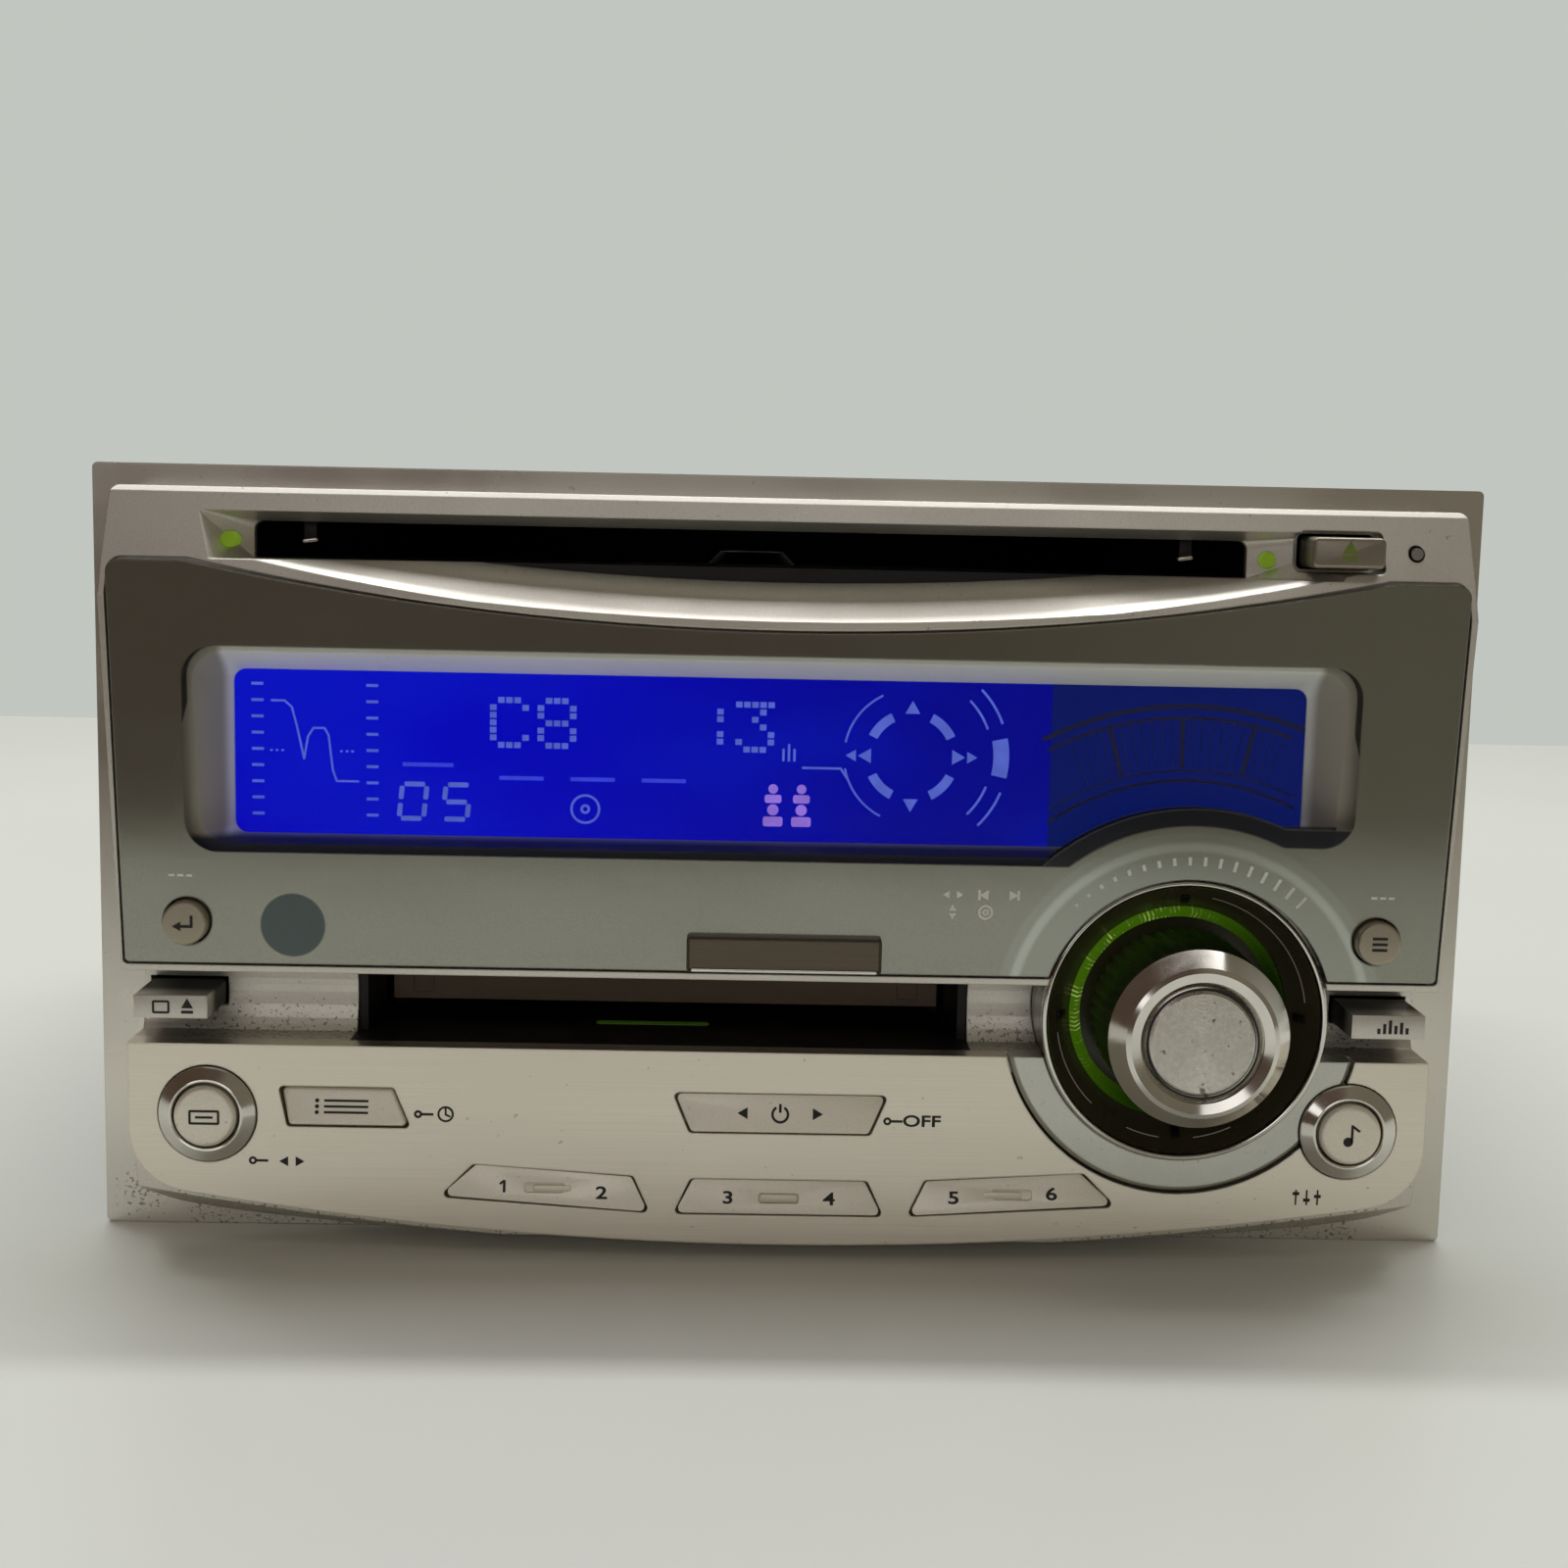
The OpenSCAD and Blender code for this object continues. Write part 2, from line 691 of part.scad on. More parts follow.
// Thumb scoop that dips below the slot in the middle
module slot_scoop() {
  half = (disc_slot_w + recess_flare + recess_flare_right) / 2;
  mid = disc_x + (recess_flare_right - recess_flare) / 2;
  scoop_r = (half * half + scoop_dip * scoop_dip) / (2 * scoop_dip) / cos(scoop_angle);
  intersection() {
    translate([mid, y_at(ridge_d), slot_low - scoop_dip])
      rotate([scoop_angle, 0, 0])
      translate([0, 0, scoop_r])
      rotate([90, 0, 0])
      cylinder(r = scoop_r, h = 2 * far_d, center = true, $fn = 720);
    block(
      [mid - half, mid + half],
      [liner_front_d, ridge_d + past],
      [slot_low - 2 * scoop_dip, slot_low + past]
    );
  }
}

// Outline of the disc slot, reaching down to take in the sill
module slot_outline(down, inset = 0) {
  half = disc_slot_w / 2 - inset;
  polygon(rounded([
    [disc_x - half, slot_low - down, 0],
    [disc_x + half, slot_low - down, 0],
    [disc_x + half, slot_high, slot_soft_r],
    [disc_x - half, slot_high, slot_soft_r]
  ]));
}

// Outline of the disc slot's liner
module liner_outline(grow) {
  translate([disc_x - disc_slot_w / 2 - liner_wall - grow, slot_low - liner_sill - grow])
    square([disc_slot_w + 2 * liner_wall + 2 * grow, disc_slot_h + liner_wall + liner_sill + 2 * grow]);
}

// Outline of the cartridge slot's frame
module cart_outline(grow) {
  translate([cart_x - mouth_w / 2 - grow, panel_top - cart_wall - grow])
    square([mouth_w + 2 * grow, cart_slot_h + 2 * cart_wall + 2 * grow]);
}

// Display frame outline
module frame_outline(grow) {
  translate([display_x - frame_w / 2 - grow, frame_low - grow])
    square([frame_w + 2 * grow, frame_high - frame_low + 2 * grow]);
}

// Flange plate with the lip behind it
module flange_plate() {
  window_h = face_h - 2 * flange_rim_z;
  edge_r = 0.7;
  color("silver")
    difference() {
      union() {
        slab(-flange_t, 0)
          polygon(round_rect(0, face_h / 2, face_w, face_h, edge_r));
        slab(-lip_back, -flange_t)
          translate([-window_hw - lip_t, flange_rim_z - lip_t])
          square([2 * window_hw + 2 * lip_t, window_h + 2 * lip_t]);
      }
      slab(-lip_back - past, past)
        translate([-window_hw, flange_rim_z])
        square([2 * window_hw, window_h]);
      for (s = [-1, 1])
        slab(-flange_t, past)
          groove_key_outline(s * groove_key_x, key_flange + key_gap);
    }
}

// Moulded nose with its slots and key holes
module front_bezel() {
  deep = nose_low_hw - panel_wall;
  color([0.76, 0.76, 0.77])
    difference() {
      intersection() {
        slab(0, ridge_d + past)
          polygon(nose_outline());
        across(-face_w, face_w)
          polygon(nose_profile());
        skirt_trim();
      }
      intersection() {
        slab(0, ridge_d + far_d)
          polygon(window_outline(window_gap));
        across(-face_w, face_w)
          polygon(window_layer(-window_t - window_space, far_d, window_gap + past));
      }
      slab(-past, ridge_d)
        frame_outline(fit_gap);
      slab(-past, relief_d)
        translate([-deep, groove_top + panel_wall / 2])
        square([2 * deep, frame_low - groove_top - panel_wall]);
      slab(-past, panel_seat + past)
        polygon(panel_outline(panel_wall));
      slab(-past, liner_front_d - slot_lip)
        liner_outline(fit_gap);
      slab(-past, liner_front_d + fit_gap)
        slot_outline(liner_sill + fit_gap);
      slot_recess();
      slot_scoop();
      slab(-past, groove_edge_d + past)
        cart_outline(fit_gap);
      block(
        [cart_x - mouth_w / 2 - fit_gap, cart_x + mouth_w / 2 + fit_gap],
        [0, panel_seat + past],
        [panel_top - cart_wall - fit_gap, panel_top + past]
      );
      post(knob_x, knob_z, well_r + run_gap, -past, far_d);
      for (s = [-1, 1]) {
        post(s * round_key_x, round_key_z, round_key_r + key_gap, 0, far_d);
        groove_key_hole(s * groove_key_x);
      }
      post(sensor_x, window_z + sensor_rise, sensor_r + run_gap, 0, far_d);
      eject_key_hole();
      post(reset_x, eject_z, reset_r, -past, far_d);
      lamp_holes();
    }
}

// Outline of an eject or sound key in the groove
module groove_key_outline(x, grow) {
  translate([x - groove_key_w / 2 - grow, groove_key_z - groove_key_h / 2 - grow])
    square([groove_key_w + 2 * grow, groove_key_h + 2 * grow]);
}

// Hole of such a key in the groove's floor, wider behind
module groove_key_hole(x) {
  slab(-past, far_d)
    groove_key_outline(x, key_gap);
  slab(-past, groove_edge_d - groove_hollow - key_back_wall)
    groove_key_outline(x, key_flange + key_gap);
}

// Hole of the disc eject key, wider behind and in front
module eject_key_hole() {
  slab(-past, far_d)
    polygon(eject_shape(key_gap));
  slab(liner_front_d + slot_lip, far_d)
    polygon(eject_shape(eject_pocket));
  slab(-past, liner_front_d)
    polygon(eject_shape(key_flange + key_gap));
}

// Outline of the disc eject key
function eject_shape(grow) =
  let (soft_r = 0.7)
  round_rect(eject_x, eject_z, eject_w + 2 * grow, eject_h + 2 * grow, soft_r);

// Seats of the two lamps in the slot's end facets
module lamp_holes() {
  for (s = [-1, 1])
    post(disc_x + s * lamp_x(), disc_z, lamp_r + run_gap, -past, far_d);
}

// Sideways place of a slot lamp from the slot's middle
function lamp_x() = disc_slot_w / 2 + liner_wall + fit_gap + lamp_r + 2 * run_gap;

// Depth of a slot lamp's front on an end facet of a given spread
function lamp_d(flare) =
  liner_front_d + (ridge_d - liner_front_d) * (lamp_x() - disc_slot_w / 2) / flare;

// Brushed panel with the key holes
module lower_panel() {
  color([0.8, 0.8, 0.81])
    difference() {
      intersection() {
        slab(panel_seat, panel_d)
          polygon(panel_outline(0));
        skirt_trim();
      }
      post(knob_x, knob_z, crescent_r + key_gap, 0, far_d);
      for (s = [-1, 1])
        post(s * ring_x, ring_z, ring_r + fit_gap, 0, far_d);
      slab(0, far_d) {
        polygon(info_shape(key_gap));
        polygon(source_shape(key_gap));
        for (i = [-1 : 1])
          polygon(preset_shape(i, key_gap));
      }
    }
}

// Crescent inlaid in the lower panel round the well
module knob_crescent() {
  soft = 0.6;
  color([0.72, 0.73, 0.74])
    difference() {
      turned(knob_x, knob_z)
        polygon([
          [well_r + fit_gap, panel_seat],
          [crescent_r, panel_seat],
          [crescent_r, panel_d - soft],
          [crescent_r - soft, panel_d],
          [well_r + fit_gap, panel_d]
        ]);
      block([knob_x - far_d, knob_x + far_d], [0, far_d], [panel_top, panel_top + 2 * far_d]);
      post(ring_x, ring_z, ring_r + fit_gap, 0, far_d);
    }
}

// Dark bowl round the knob, with the gimbal's lugs behind it
module knob_well() {
  color([0.1, 0.1, 0.1])
    difference() {
      union() {
        turned(knob_x, knob_z)
          polygon([
            [gimbal_r - well_floor[0], well_floor[0]],
            [well_r, well_floor[0]],
            [well_r, well_d],
            [well_r - well_edge, well_d],
            [bowl_r, bowl_d],
            [bowl_r, well_floor[1]],
            [gimbal_r - well_floor[0], well_floor[1]]
          ]);
        for (s = [-1, 1])
          translate([knob_x, 0, knob_z])
            mirror([0, 0, s < 0 ? 1 : 0])
            block(
              [-lug_half, lug_half],
              [-gimbal_back - lug_half, well_floor[0]],
              [gimbal_r + lug_gap, gimbal_r + lug_gap + lug_l]
            );
      }
      translate([knob_x, y_at(-gimbal_back), knob_z])
        cylinder(r = gimbal_pin_r + run_gap, h = 2 * far_d, center = true);
    }
}

// Bright ring on the well's edge
module well_ring() {
  rise = 0.9;
  round_r = 0.45;
  color([0.85, 0.85, 0.86])
    turned(knob_x, knob_z)
    polygon(rounded([
      [well_r - well_edge, well_d, 0],
      [well_r, well_d, 0],
      [well_r, well_d + rise, round_r],
      [well_r - well_edge, well_d + rise, round_r]
    ]));
}

// Green translucent ring in the well
module light_ring() {
  outer_r = bowl_r - run_gap;
  inner_r = outer_r - 1.4;
  crest = bowl_d + 0.7;
  color([0.35, 0.75, 0.1])
    turned(knob_x, knob_z)
    polygon([
      [inner_r, well_floor[1]],
      [outer_r, well_floor[1]],
      [outer_r, bowl_d - run_gap],
      [outer_r - 0.6, crest],
      [inner_r, crest - 1.3]
    ]);
}

// Tinted window over the display
module display_window() {
  color([0.55, 0.58, 0.57, 0.6])
    difference() {
      intersection() {
        slab(0, far_d)
          polygon(window_outline(0));
        across(-face_w, face_w)
          polygon(window_layer(-window_t, 0, past));
      }
      post(knob_x, knob_z, well_r + 2 * fit_gap, 0, far_d);
      for (s = [-1, 1])
        post(s * round_key_x, round_key_z, round_key_r + key_gap, 0, far_d);
    }
}

// Pale frame whose walls slope in to the display
module display_frame() {
  wide = display_w + 2 * frame_flare;
  high = display_h + frame_flare_top + frame_flare_low;
  wide_z = display_z + (display_h + frame_flare_top - frame_flare_low) / 2;
  front_r = 4;
  back_r = 1.5;
  color([0.78, 0.8, 0.79])
    difference() {
      intersection() {
        slab(display_d, far_d)
          frame_outline(0);
        across(-face_w, face_w)
          polygon(window_layer(-far_d, -window_t, 0));
      }
      difference() {
        hull() {
          slab(display_d - run_gap, display_d)
            polygon(round_rect(display_x, display_z + display_h / 2, display_w, display_h, back_r));
          slab(ridge_d - window_t, ridge_d)
            polygon(round_rect(display_x, wide_z, wide, high, front_r));
        }
        post(knob_x, knob_z, arch_r, 0, far_d);
      }
    }
}

// Display panel behind the frame
module lcd_panel() {
  color([0.05, 0.1, 0.9])
    slab(display_d - display_t, display_d)
    frame_outline(-fit_gap);
}

// Light box that carries the display panel on the key board
module lcd_backlight() {
  color([0.9, 0.9, 0.88])
    slab(-lip_back, display_d - display_t)
    frame_outline(-fit_gap);
}

// Plain plate on the window
module badge_plate() {
  middle = window_z + badge_h / 2 + fit_gap;
  soft_r = 0.5;
  color([0.25, 0.26, 0.27])
    intersection() {
      slab(0, far_d)
        polygon(round_rect(0, middle, badge_w, badge_h, soft_r));
      across(-badge_w, badge_w)
        polygon(window_layer(0, badge_t, past));
    }
}

// Remote-control sensor behind the window
module remote_sensor() {
  z = window_z + sensor_rise;
  front = window_d(z) - window_t - window_space;
  color([0.15, 0.25, 0.27])
    post(sensor_x, z, sensor_r, -lip_back, front);
}

// Bright rings of the two round panel keys
module button_rings() {
  rise = 1.4;
  round_r = 0.3;
  color([0.8, 0.8, 0.81])
    for (s = [-1, 1])
      turned(s * ring_x, ring_z)
        polygon(rounded([
          [ring_in, panel_seat - key_flange_t, 0],
          [ring_r, panel_seat - key_flange_t, 0],
          [ring_r, panel_d + round_r, round_r],
          [ring_in, panel_d + rise, round_r]
        ]));
}

// Green lamps beside the disc slot
module slot_lamps() {
  color([0.45, 0.8, 0.15]) {
    post(disc_x - lamp_x(), disc_z, lamp_r, 0, lamp_d(recess_flare));
    post(disc_x + lamp_x(), disc_z, lamp_r, 0, lamp_d(recess_flare_right));
  }
}

// Black tunnel of the disc slot
module disc_slot_liner() {
  color([0.05, 0.05, 0.05])
    difference() {
      union() {
        slab(-liner_back, liner_front_d - slot_lip - fit_gap)
          liner_outline(0);
        slab(0, liner_front_d)
          slot_outline(liner_sill, fit_gap);
      }
      slab(-liner_back - past, liner_front_d - slot_lip)
        slot_outline(0);
      slab(0, liner_front_d + past)
        slot_outline(0);
    }
}

// Dark frame of the cartridge slot, with its tray and funnel
module cartridge_slot_frame() {
  back = flap_back + flap_h + cart_frame_gap();
  half = cart_slot_w / 2;
  wide = mouth_w / 2 - cart_wall;
  color([0.16, 0.14, 0.13])
    difference() {
      union() {
        slab(-back, groove_edge_d - groove_hollow)
          cart_outline(0);
        block(
          [cart_x - mouth_w / 2, cart_x + mouth_w / 2],
          [0, panel_seat],
          [panel_top - cart_wall, panel_top]
        );
      }
      slab(-back - past, past)
        translate([cart_x - half, panel_top])
        square([2 * half, cart_slot_h]);
      hull() {
        slab(-flap_back + flap_barrel_r + past, -flap_back + flap_barrel_r + 2 * past)
          translate([cart_x - half, panel_top])
          square([2 * half, cart_slot_h]);
        slab(groove_edge_d, groove_edge_d + past)
          translate([cart_x - wide, panel_top])
          square([2 * wide, cart_slot_h]);
      }
      bar_x(cart_x - half - past, cart_x + half + past, -flap_back, flap_z, flap_pin_r + run_gap);
    }
}

// Room behind the open flap
function cart_frame_gap() = 2;

// Key board behind the nose
module key_board() {
  grow = 0.4;
  hub_r = 14.6;
  color([0.1, 0.35, 0.2])
    difference() {
      slab(-lip_back - board_t, -lip_back)
        translate([-window_hw - lip_t, flange_rim_z - lip_t])
        square([2 * window_hw + 2 * lip_t, face_h - 2 * flange_rim_z + 2 * lip_t]);
      slab(-lip_back - board_t - past, past) {
        liner_outline(grow);
        cart_outline(grow);
      }
      post(knob_x, knob_z, hub_r, -far_d, past);
    }
}

// One key switch on the board
module key_switch(x, z) {
  button_r = 1.6;
  thin = 0.4;
  slab(-lip_back, switch_d - thin)
    translate([x - switch_w / 2, z - switch_w / 2])
    square(switch_w);
  post(x, z, button_r, switch_d - thin, switch_d);
}

// Switches behind the keys
module key_switches() {
  color([0.2, 0.2, 0.2]) {
    for (s = [-1, 1]) {
      key_switch(s * ring_x, ring_z);
      key_switch(s * round_key_x, round_key_z);
      key_switch(s * groove_key_x, groove_key_z);
    }
    key_switch(info_x, key_row_z);
    key_switch(0, key_row_z);
    for (i = [-1 : 1])
      for (s = [-1, 1])
        key_switch(i * preset_step + s * preset_stem_x(), preset_stem_z(i));
    key_switch(eject_x, eject_z);
    key_switch(reset_x, eject_z);
  }
}

// Sideways place of a rocker's stems from its middle
function preset_stem_x() = preset_w / 2 - key_slant - 2 * stem_r;

// Height of a rocker's stems
function preset_stem_z(i) = bow_z(i * preset_step) + preset_gap + preset_h / 2;

// Info key outline, slanting at its right end
function info_shape(grow) =
  let (soft_r = 0.6, low = key_row_z - key_h / 2 - grow, high = key_row_z + key_h / 2 + grow)
  rounded([
    [info_x - info_w / 2 - grow, high, soft_r],
    [info_x + info_w / 2 + grow, high, soft_r],
    [info_x + info_w / 2 + key_slant + grow, low, soft_r],
    [info_x - info_w / 2 + key_slant / 2 - grow, low, soft_r]
  ]);

// Source key outline, slanting at both ends
function source_shape(grow) =
  let (soft_r = 0.6, low = key_row_z - key_h / 2 - grow, high = key_row_z + key_h / 2 + grow)
  rounded([
    [-source_w / 2 - grow, high, soft_r],
    [source_w / 2 + grow, high, soft_r],
    [source_w / 2 - key_slant + grow, low, soft_r],
    [-source_w / 2 + key_slant - grow, low, soft_r]
  ]);

// Preset rocker outline along the panel's bow
function preset_shape(i, grow) =
  let (
    soft_r = 0.6,
    middle = i * preset_step,
    left = middle - preset_w / 2 - grow,
    right = middle + preset_w / 2 + grow,
    low_slant = i < 0 ? 2 * key_slant : key_slant,
    high_slant = i > 0 ? 2 * key_slant : key_slant,
    low = preset_gap - grow,
    high = preset_gap + preset_h + grow
  )
  rounded([
    [left, bow_z(left) + low, soft_r],
    [right, bow_z(right) + low, soft_r],
    [right - high_slant, bow_z(right - high_slant) + high, soft_r],
    [left + low_slant, bow_z(left + low_slant) + high, soft_r]
  ]);

// Disc eject key beside the slot
module disc_eject_key() {
  front = ridge_d - key_proud;
  stop = liner_front_d - stop_gap;
  color([0.74, 0.75, 0.76]) {
    slab(stop, front)
      polygon(eject_shape(0));
    slab(stop - key_flange_t, stop)
      polygon(eject_shape(key_flange));
    post(eject_x, eject_z, stem_r, stem_end, stop - key_flange_t);
  }
}

// Pin in the reset hole
module reset_pin() {
  front = 11.2;
  color([0.3, 0.3, 0.3])
    post(reset_x, eject_z, reset_r - key_gap, stem_end, front);
}

// Round key in the window, with its flange behind the nose's wall
module window_key(x) {
  front = window_low_d + 2;
  stop = relief_d - stop_gap;
  round_r = 0.4;
  turned(x, round_key_z)
    polygon(rounded([
      [0, stem_end, 0],
      [stem_r, stem_end, 0],
      [stem_r, stop - key_flange_t, 0],
      [round_key_r + key_flange, stop - key_flange_t, 0],
      [round_key_r + key_flange, stop, 0],
      [round_key_r, stop, 0],
      [round_key_r, front, round_r],
      [0, front, 0]
    ]));
}

// Left round key in the window
module enter_key() {
  color([0.7, 0.71, 0.71])
    window_key(-round_key_x);
}

// Right round key in the window
module function_key() {
  color([0.7, 0.71, 0.71])
    window_key(round_key_x);
}

// Long key that stands out of the groove's floor
module groove_key(x) {
  front = panel_d + 1;
  stop = groove_edge_d - groove_hollow - key_back_wall - stop_gap;
  slab(stop, front)
    groove_key_outline(x, 0);
  slab(stop - key_flange_t, stop)
    groove_key_outline(x, key_flange);
  post(x, groove_key_z, stem_r, stem_end, stop - key_flange_t);
}

// Cartridge eject key at the left of the groove
module cartridge_eject_key() {
  color([0.74, 0.75, 0.76])
    groove_key(-groove_key_x);
}

// Sound key at the right of the groove
module sound_key() {
  color([0.74, 0.75, 0.76])
    groove_key(groove_key_x);
}

// Round key in a bright ring
module ring_key(x) {
  front = panel_d + 1.8;
  stop = panel_seat - key_flange_t - stop_gap;
  flange_r = (ring_r + ring_in) / 2;
  round_r = 0.7;
  turned(x, ring_z)
    polygon(rounded([
      [0, stem_end, 0],
      [stem_r, stem_end, 0],
      [stem_r, stop - key_flange_t, 0],
      [flange_r, stop - key_flange_t, 0],
      [flange_r, stop, 0],
      [ring_key_r, stop, 0],
      [ring_key_r, front, round_r],
      [0, front, 0]
    ]));
}

// Left round key of the panel
module display_key() {
  color([0.77, 0.77, 0.78])
    ring_key(-ring_x);
}

// Right round key of the panel
module audio_key() {
  color([0.77, 0.77, 0.78])
    ring_key(ring_x);
}

// Body of a panel key whose face leans back above a mid height
module leaning(stop, z) {
  reach = 2 * key_h;
  drop = reach * tan(key_lean);
  face = panel_d - key_sink;
  intersection() {
    slab(stop, far_d)
      children();
    across(-face_w, face_w)
      polygon(side([[0, z - reach], [face + drop, z - reach], [face - drop, z + reach], [0, z + reach]]));
  }
}

// Key with a flange behind the panel
module panel_key(x) {
  stop = panel_seat - stop_gap;
  color([0.8, 0.8, 0.81]) {
    leaning(stop, key_row_z)
      children(0);
    slab(stop - key_flange_t, stop)
      children(1);
    post(x, key_row_z, stem_r, stem_end, stop - key_flange_t);
  }
}

// Info key beside the left ring
module info_key() {
  panel_key(info_x) {
    polygon(info_shape(0));
    polygon(info_shape(key_flange));
  }
}

// Wide key in the middle of the panel
module source_key() {
  panel_key(0) {
    polygon(source_shape(0));
    polygon(source_shape(key_flange));
  }
}

// Rocker with room to tip behind the panel
module preset_key(i) {
  tip = (preset_w / 2 + key_flange) * sin(rocker_tilt);
  stop = panel_seat - tip - 2 * stop_gap;
  middle = i * preset_step;
  light_w = 5.2;
  light_h = 1.3;
  light_deep = 0.3;
  color([0.8, 0.8, 0.81])
    difference() {
      union() {
        leaning(stop, preset_stem_z(i))
          polygon(preset_shape(i, 0));
        slab(stop - key_flange_t, stop)
          polygon(preset_shape(i, key_flange));
        for (s = [-1, 1])
          post(middle + s * preset_stem_x(), preset_stem_z(i), stem_r, stem_end, stop - key_flange_t);
      }
      slab(panel_d - key_sink - light_deep, far_d)
        polygon(round_rect(middle, preset_stem_z(i), light_w, light_h, light_h / 3));
    }
}

// Left preset rocker
module preset_key_1_2() {
  preset_key(-1);
}

// Middle preset rocker
module preset_key_3_4() {
  preset_key(0);
}

// Right preset rocker
module preset_key_5_6() {
  preset_key(1);
}

// Flap that hangs in the cartridge slot
module cartridge_flap() {
  notch_w = 2.7;
  notch_h = 2.6;
  notch_x = flap_w / 2 - 4;
  color([0.42, 0.4, 0.39])
    difference() {
      union() {
        block(
          [cart_x - flap_w / 2, cart_x + flap_w / 2],
          [-flap_back - flap_t / 2, -flap_back + flap_t / 2],
          [flap_z - flap_h, flap_z]
        );
        bar_x(cart_x - flap_w / 2, cart_x + flap_w / 2, -flap_back, flap_z, flap_barrel_r);
      }
      bar_x(cart_x - flap_w, cart_x + flap_w, -flap_back, flap_z, flap_pin_r + run_gap);
      for (s = [-1, 1])
        block(
          [cart_x + s * notch_x - notch_w / 2, cart_x + s * notch_x + notch_w / 2],
          [-flap_back + flap_t / 4, -flap_back + flap_t],
          [flap_z - flap_h + flap_t, flap_z - flap_h + flap_t + notch_h]
        );
    }
}

// Pin that the flap swings on
module flap_pin() {
  reach = cart_slot_w / 2 + past;
  color([0.6, 0.6, 0.6])
    bar_x(cart_x - reach, cart_x + reach, -flap_back, flap_z, flap_pin_r);
}

// Ring that tilts the knob left and right on its upright pins
module gimbal_ring() {
  reach = gimbal_r + lug_gap + lug_l / 2;
  color([0.5, 0.5, 0.5])
    translate([knob_x, y_at(-gimbal_back), knob_z])
    difference() {
      union() {
        rotate([90, 0, 0])
          cylinder(r = gimbal_r, h = 2 * gimbal_half, center = true);
        cylinder(r = gimbal_pin_r, h = 2 * reach, center = true);
      }
      rotate([90, 0, 0])
        cylinder(r = gimbal_r - gimbal_wall, h = far_d, center = true);
      rotate([0, 90, 0])
        cylinder(r = gimbal_pin_r + run_gap, h = far_d, center = true);
    }
}

// Encoder body that tilts up and down on its cross pins
module encoder_cradle() {
  bore_r = shaft_r + sleeve_wall + 2 * run_gap;
  front = 3;
  back = 5;
  pin_l = gimbal_r - stop_gap;
  color([0.35, 0.35, 0.36])
    translate([knob_x, y_at(-gimbal_back), knob_z])
    difference() {
      union() {
        rotate([90, 0, 0])
          translate([0, 0, -back])
          cylinder(r = cradle_r, h = front + back);
        rotate([0, 90, 0])
          cylinder(r = gimbal_pin_r, h = 2 * pin_l, center = true);
      }
      rotate([90, 0, 0])
        cylinder(r = bore_r, h = far_d, center = true);
    }
}

// Sleeve that the knob pushes in
module push_sleeve() {
  color([0.65, 0.62, 0.5])
    turned(knob_x, knob_z)
    translate([shaft_r + run_gap, sleeve_ends[0]])
    square([sleeve_wall, sleeve_ends[1] - sleeve_ends[0]]);
}

// Shaft that turns with the knob
module encoder_shaft() {
  color([0.7, 0.7, 0.7])
    post(knob_x, knob_z, shaft_r, sleeve_ends[0], shaft_front);
}

// Bright knob with its bevelled front rim
module knob_body() {
  plate = shaft_front + 0.5;
  hub_r = shaft_r + 2;
  hub_back = 10;
  skirt_back = knob_back_d + 0.5;
  skirt_r = core_r - 1.5;
  color([0.82, 0.82, 0.83])
    turned(knob_x, knob_z)
    polygon([
      [0, shaft_front],
      [shaft_r, shaft_front],
      [shaft_r, hub_back],
      [hub_r, hub_back],
      [hub_r, plate],
      [skirt_r, plate],
      [skirt_r, skirt_back],
      [core_r, skirt_back],
      [core_r, rim_d],
      [grip_r, rim_d],
      [grip_r, rim_d + 0.4],
      [grip_r - 1.8, knob_front_d - 0.3],
      [grip_r - 2.4, knob_front_d],
      [cap_r + 0.8, knob_front_d - 0.4],
      [cap_r + 0.1, cap_seat],
      [0, cap_seat]
    ]);
}

// Star outline of the knurl
function knurl() = [for (i = [0 : 2 * flutes - 1])
  let (a = 180 * i / flutes, r = i % 2 == 0 ? grip_r : grip_r - flute_h)
  [r * cos(a), r * sin(a)]];

// Black sleeve with slanting flutes
module knob_grip() {
  color([0.08, 0.08, 0.08])
    translate([knob_x, y_at(knob_back_d), knob_z])
    rotate([90, 0, 0])
    difference() {
      linear_extrude(rim_d - knob_back_d, twist = flute_twist, slices = 5)
        polygon(knurl());
      translate([0, 0, -past])
        cylinder(r = core_r, h = far_d);
    }
}

// Spun cap in the knob's front
module knob_cap() {
  edge = 0.6;
  crown = 0.9;
  color([0.75, 0.75, 0.76])
    turned(knob_x, knob_z)
    polygon([
      [0, cap_seat],
      [cap_r, cap_seat],
      [cap_r, cap_seat + edge],
      [cap_r - edge, cap_seat + crown],
      [0, cap_seat + crown]
    ]);
}

// Floor of the chassis with the main board's stand-offs
module bottom_plate() {
  stand_r = 3;
  color([0.62, 0.63, 0.64]) {
    block([-chassis_w / 2, chassis_w / 2], [-chassis_back, -flange_t], [0, sheet]);
    for (x = [-1, 1])
      for (d = [board_front() + 2 * stand_r, chassis_back - 4 * stand_r])
        translate([x * (chassis_w / 2 - 3 * stand_r), y_at(-d), sheet])
          cylinder(r = stand_r, h = board_z - sheet);
  }
}

// Setback of the main board's front edge
function board_front() = chassis_back - board_l;

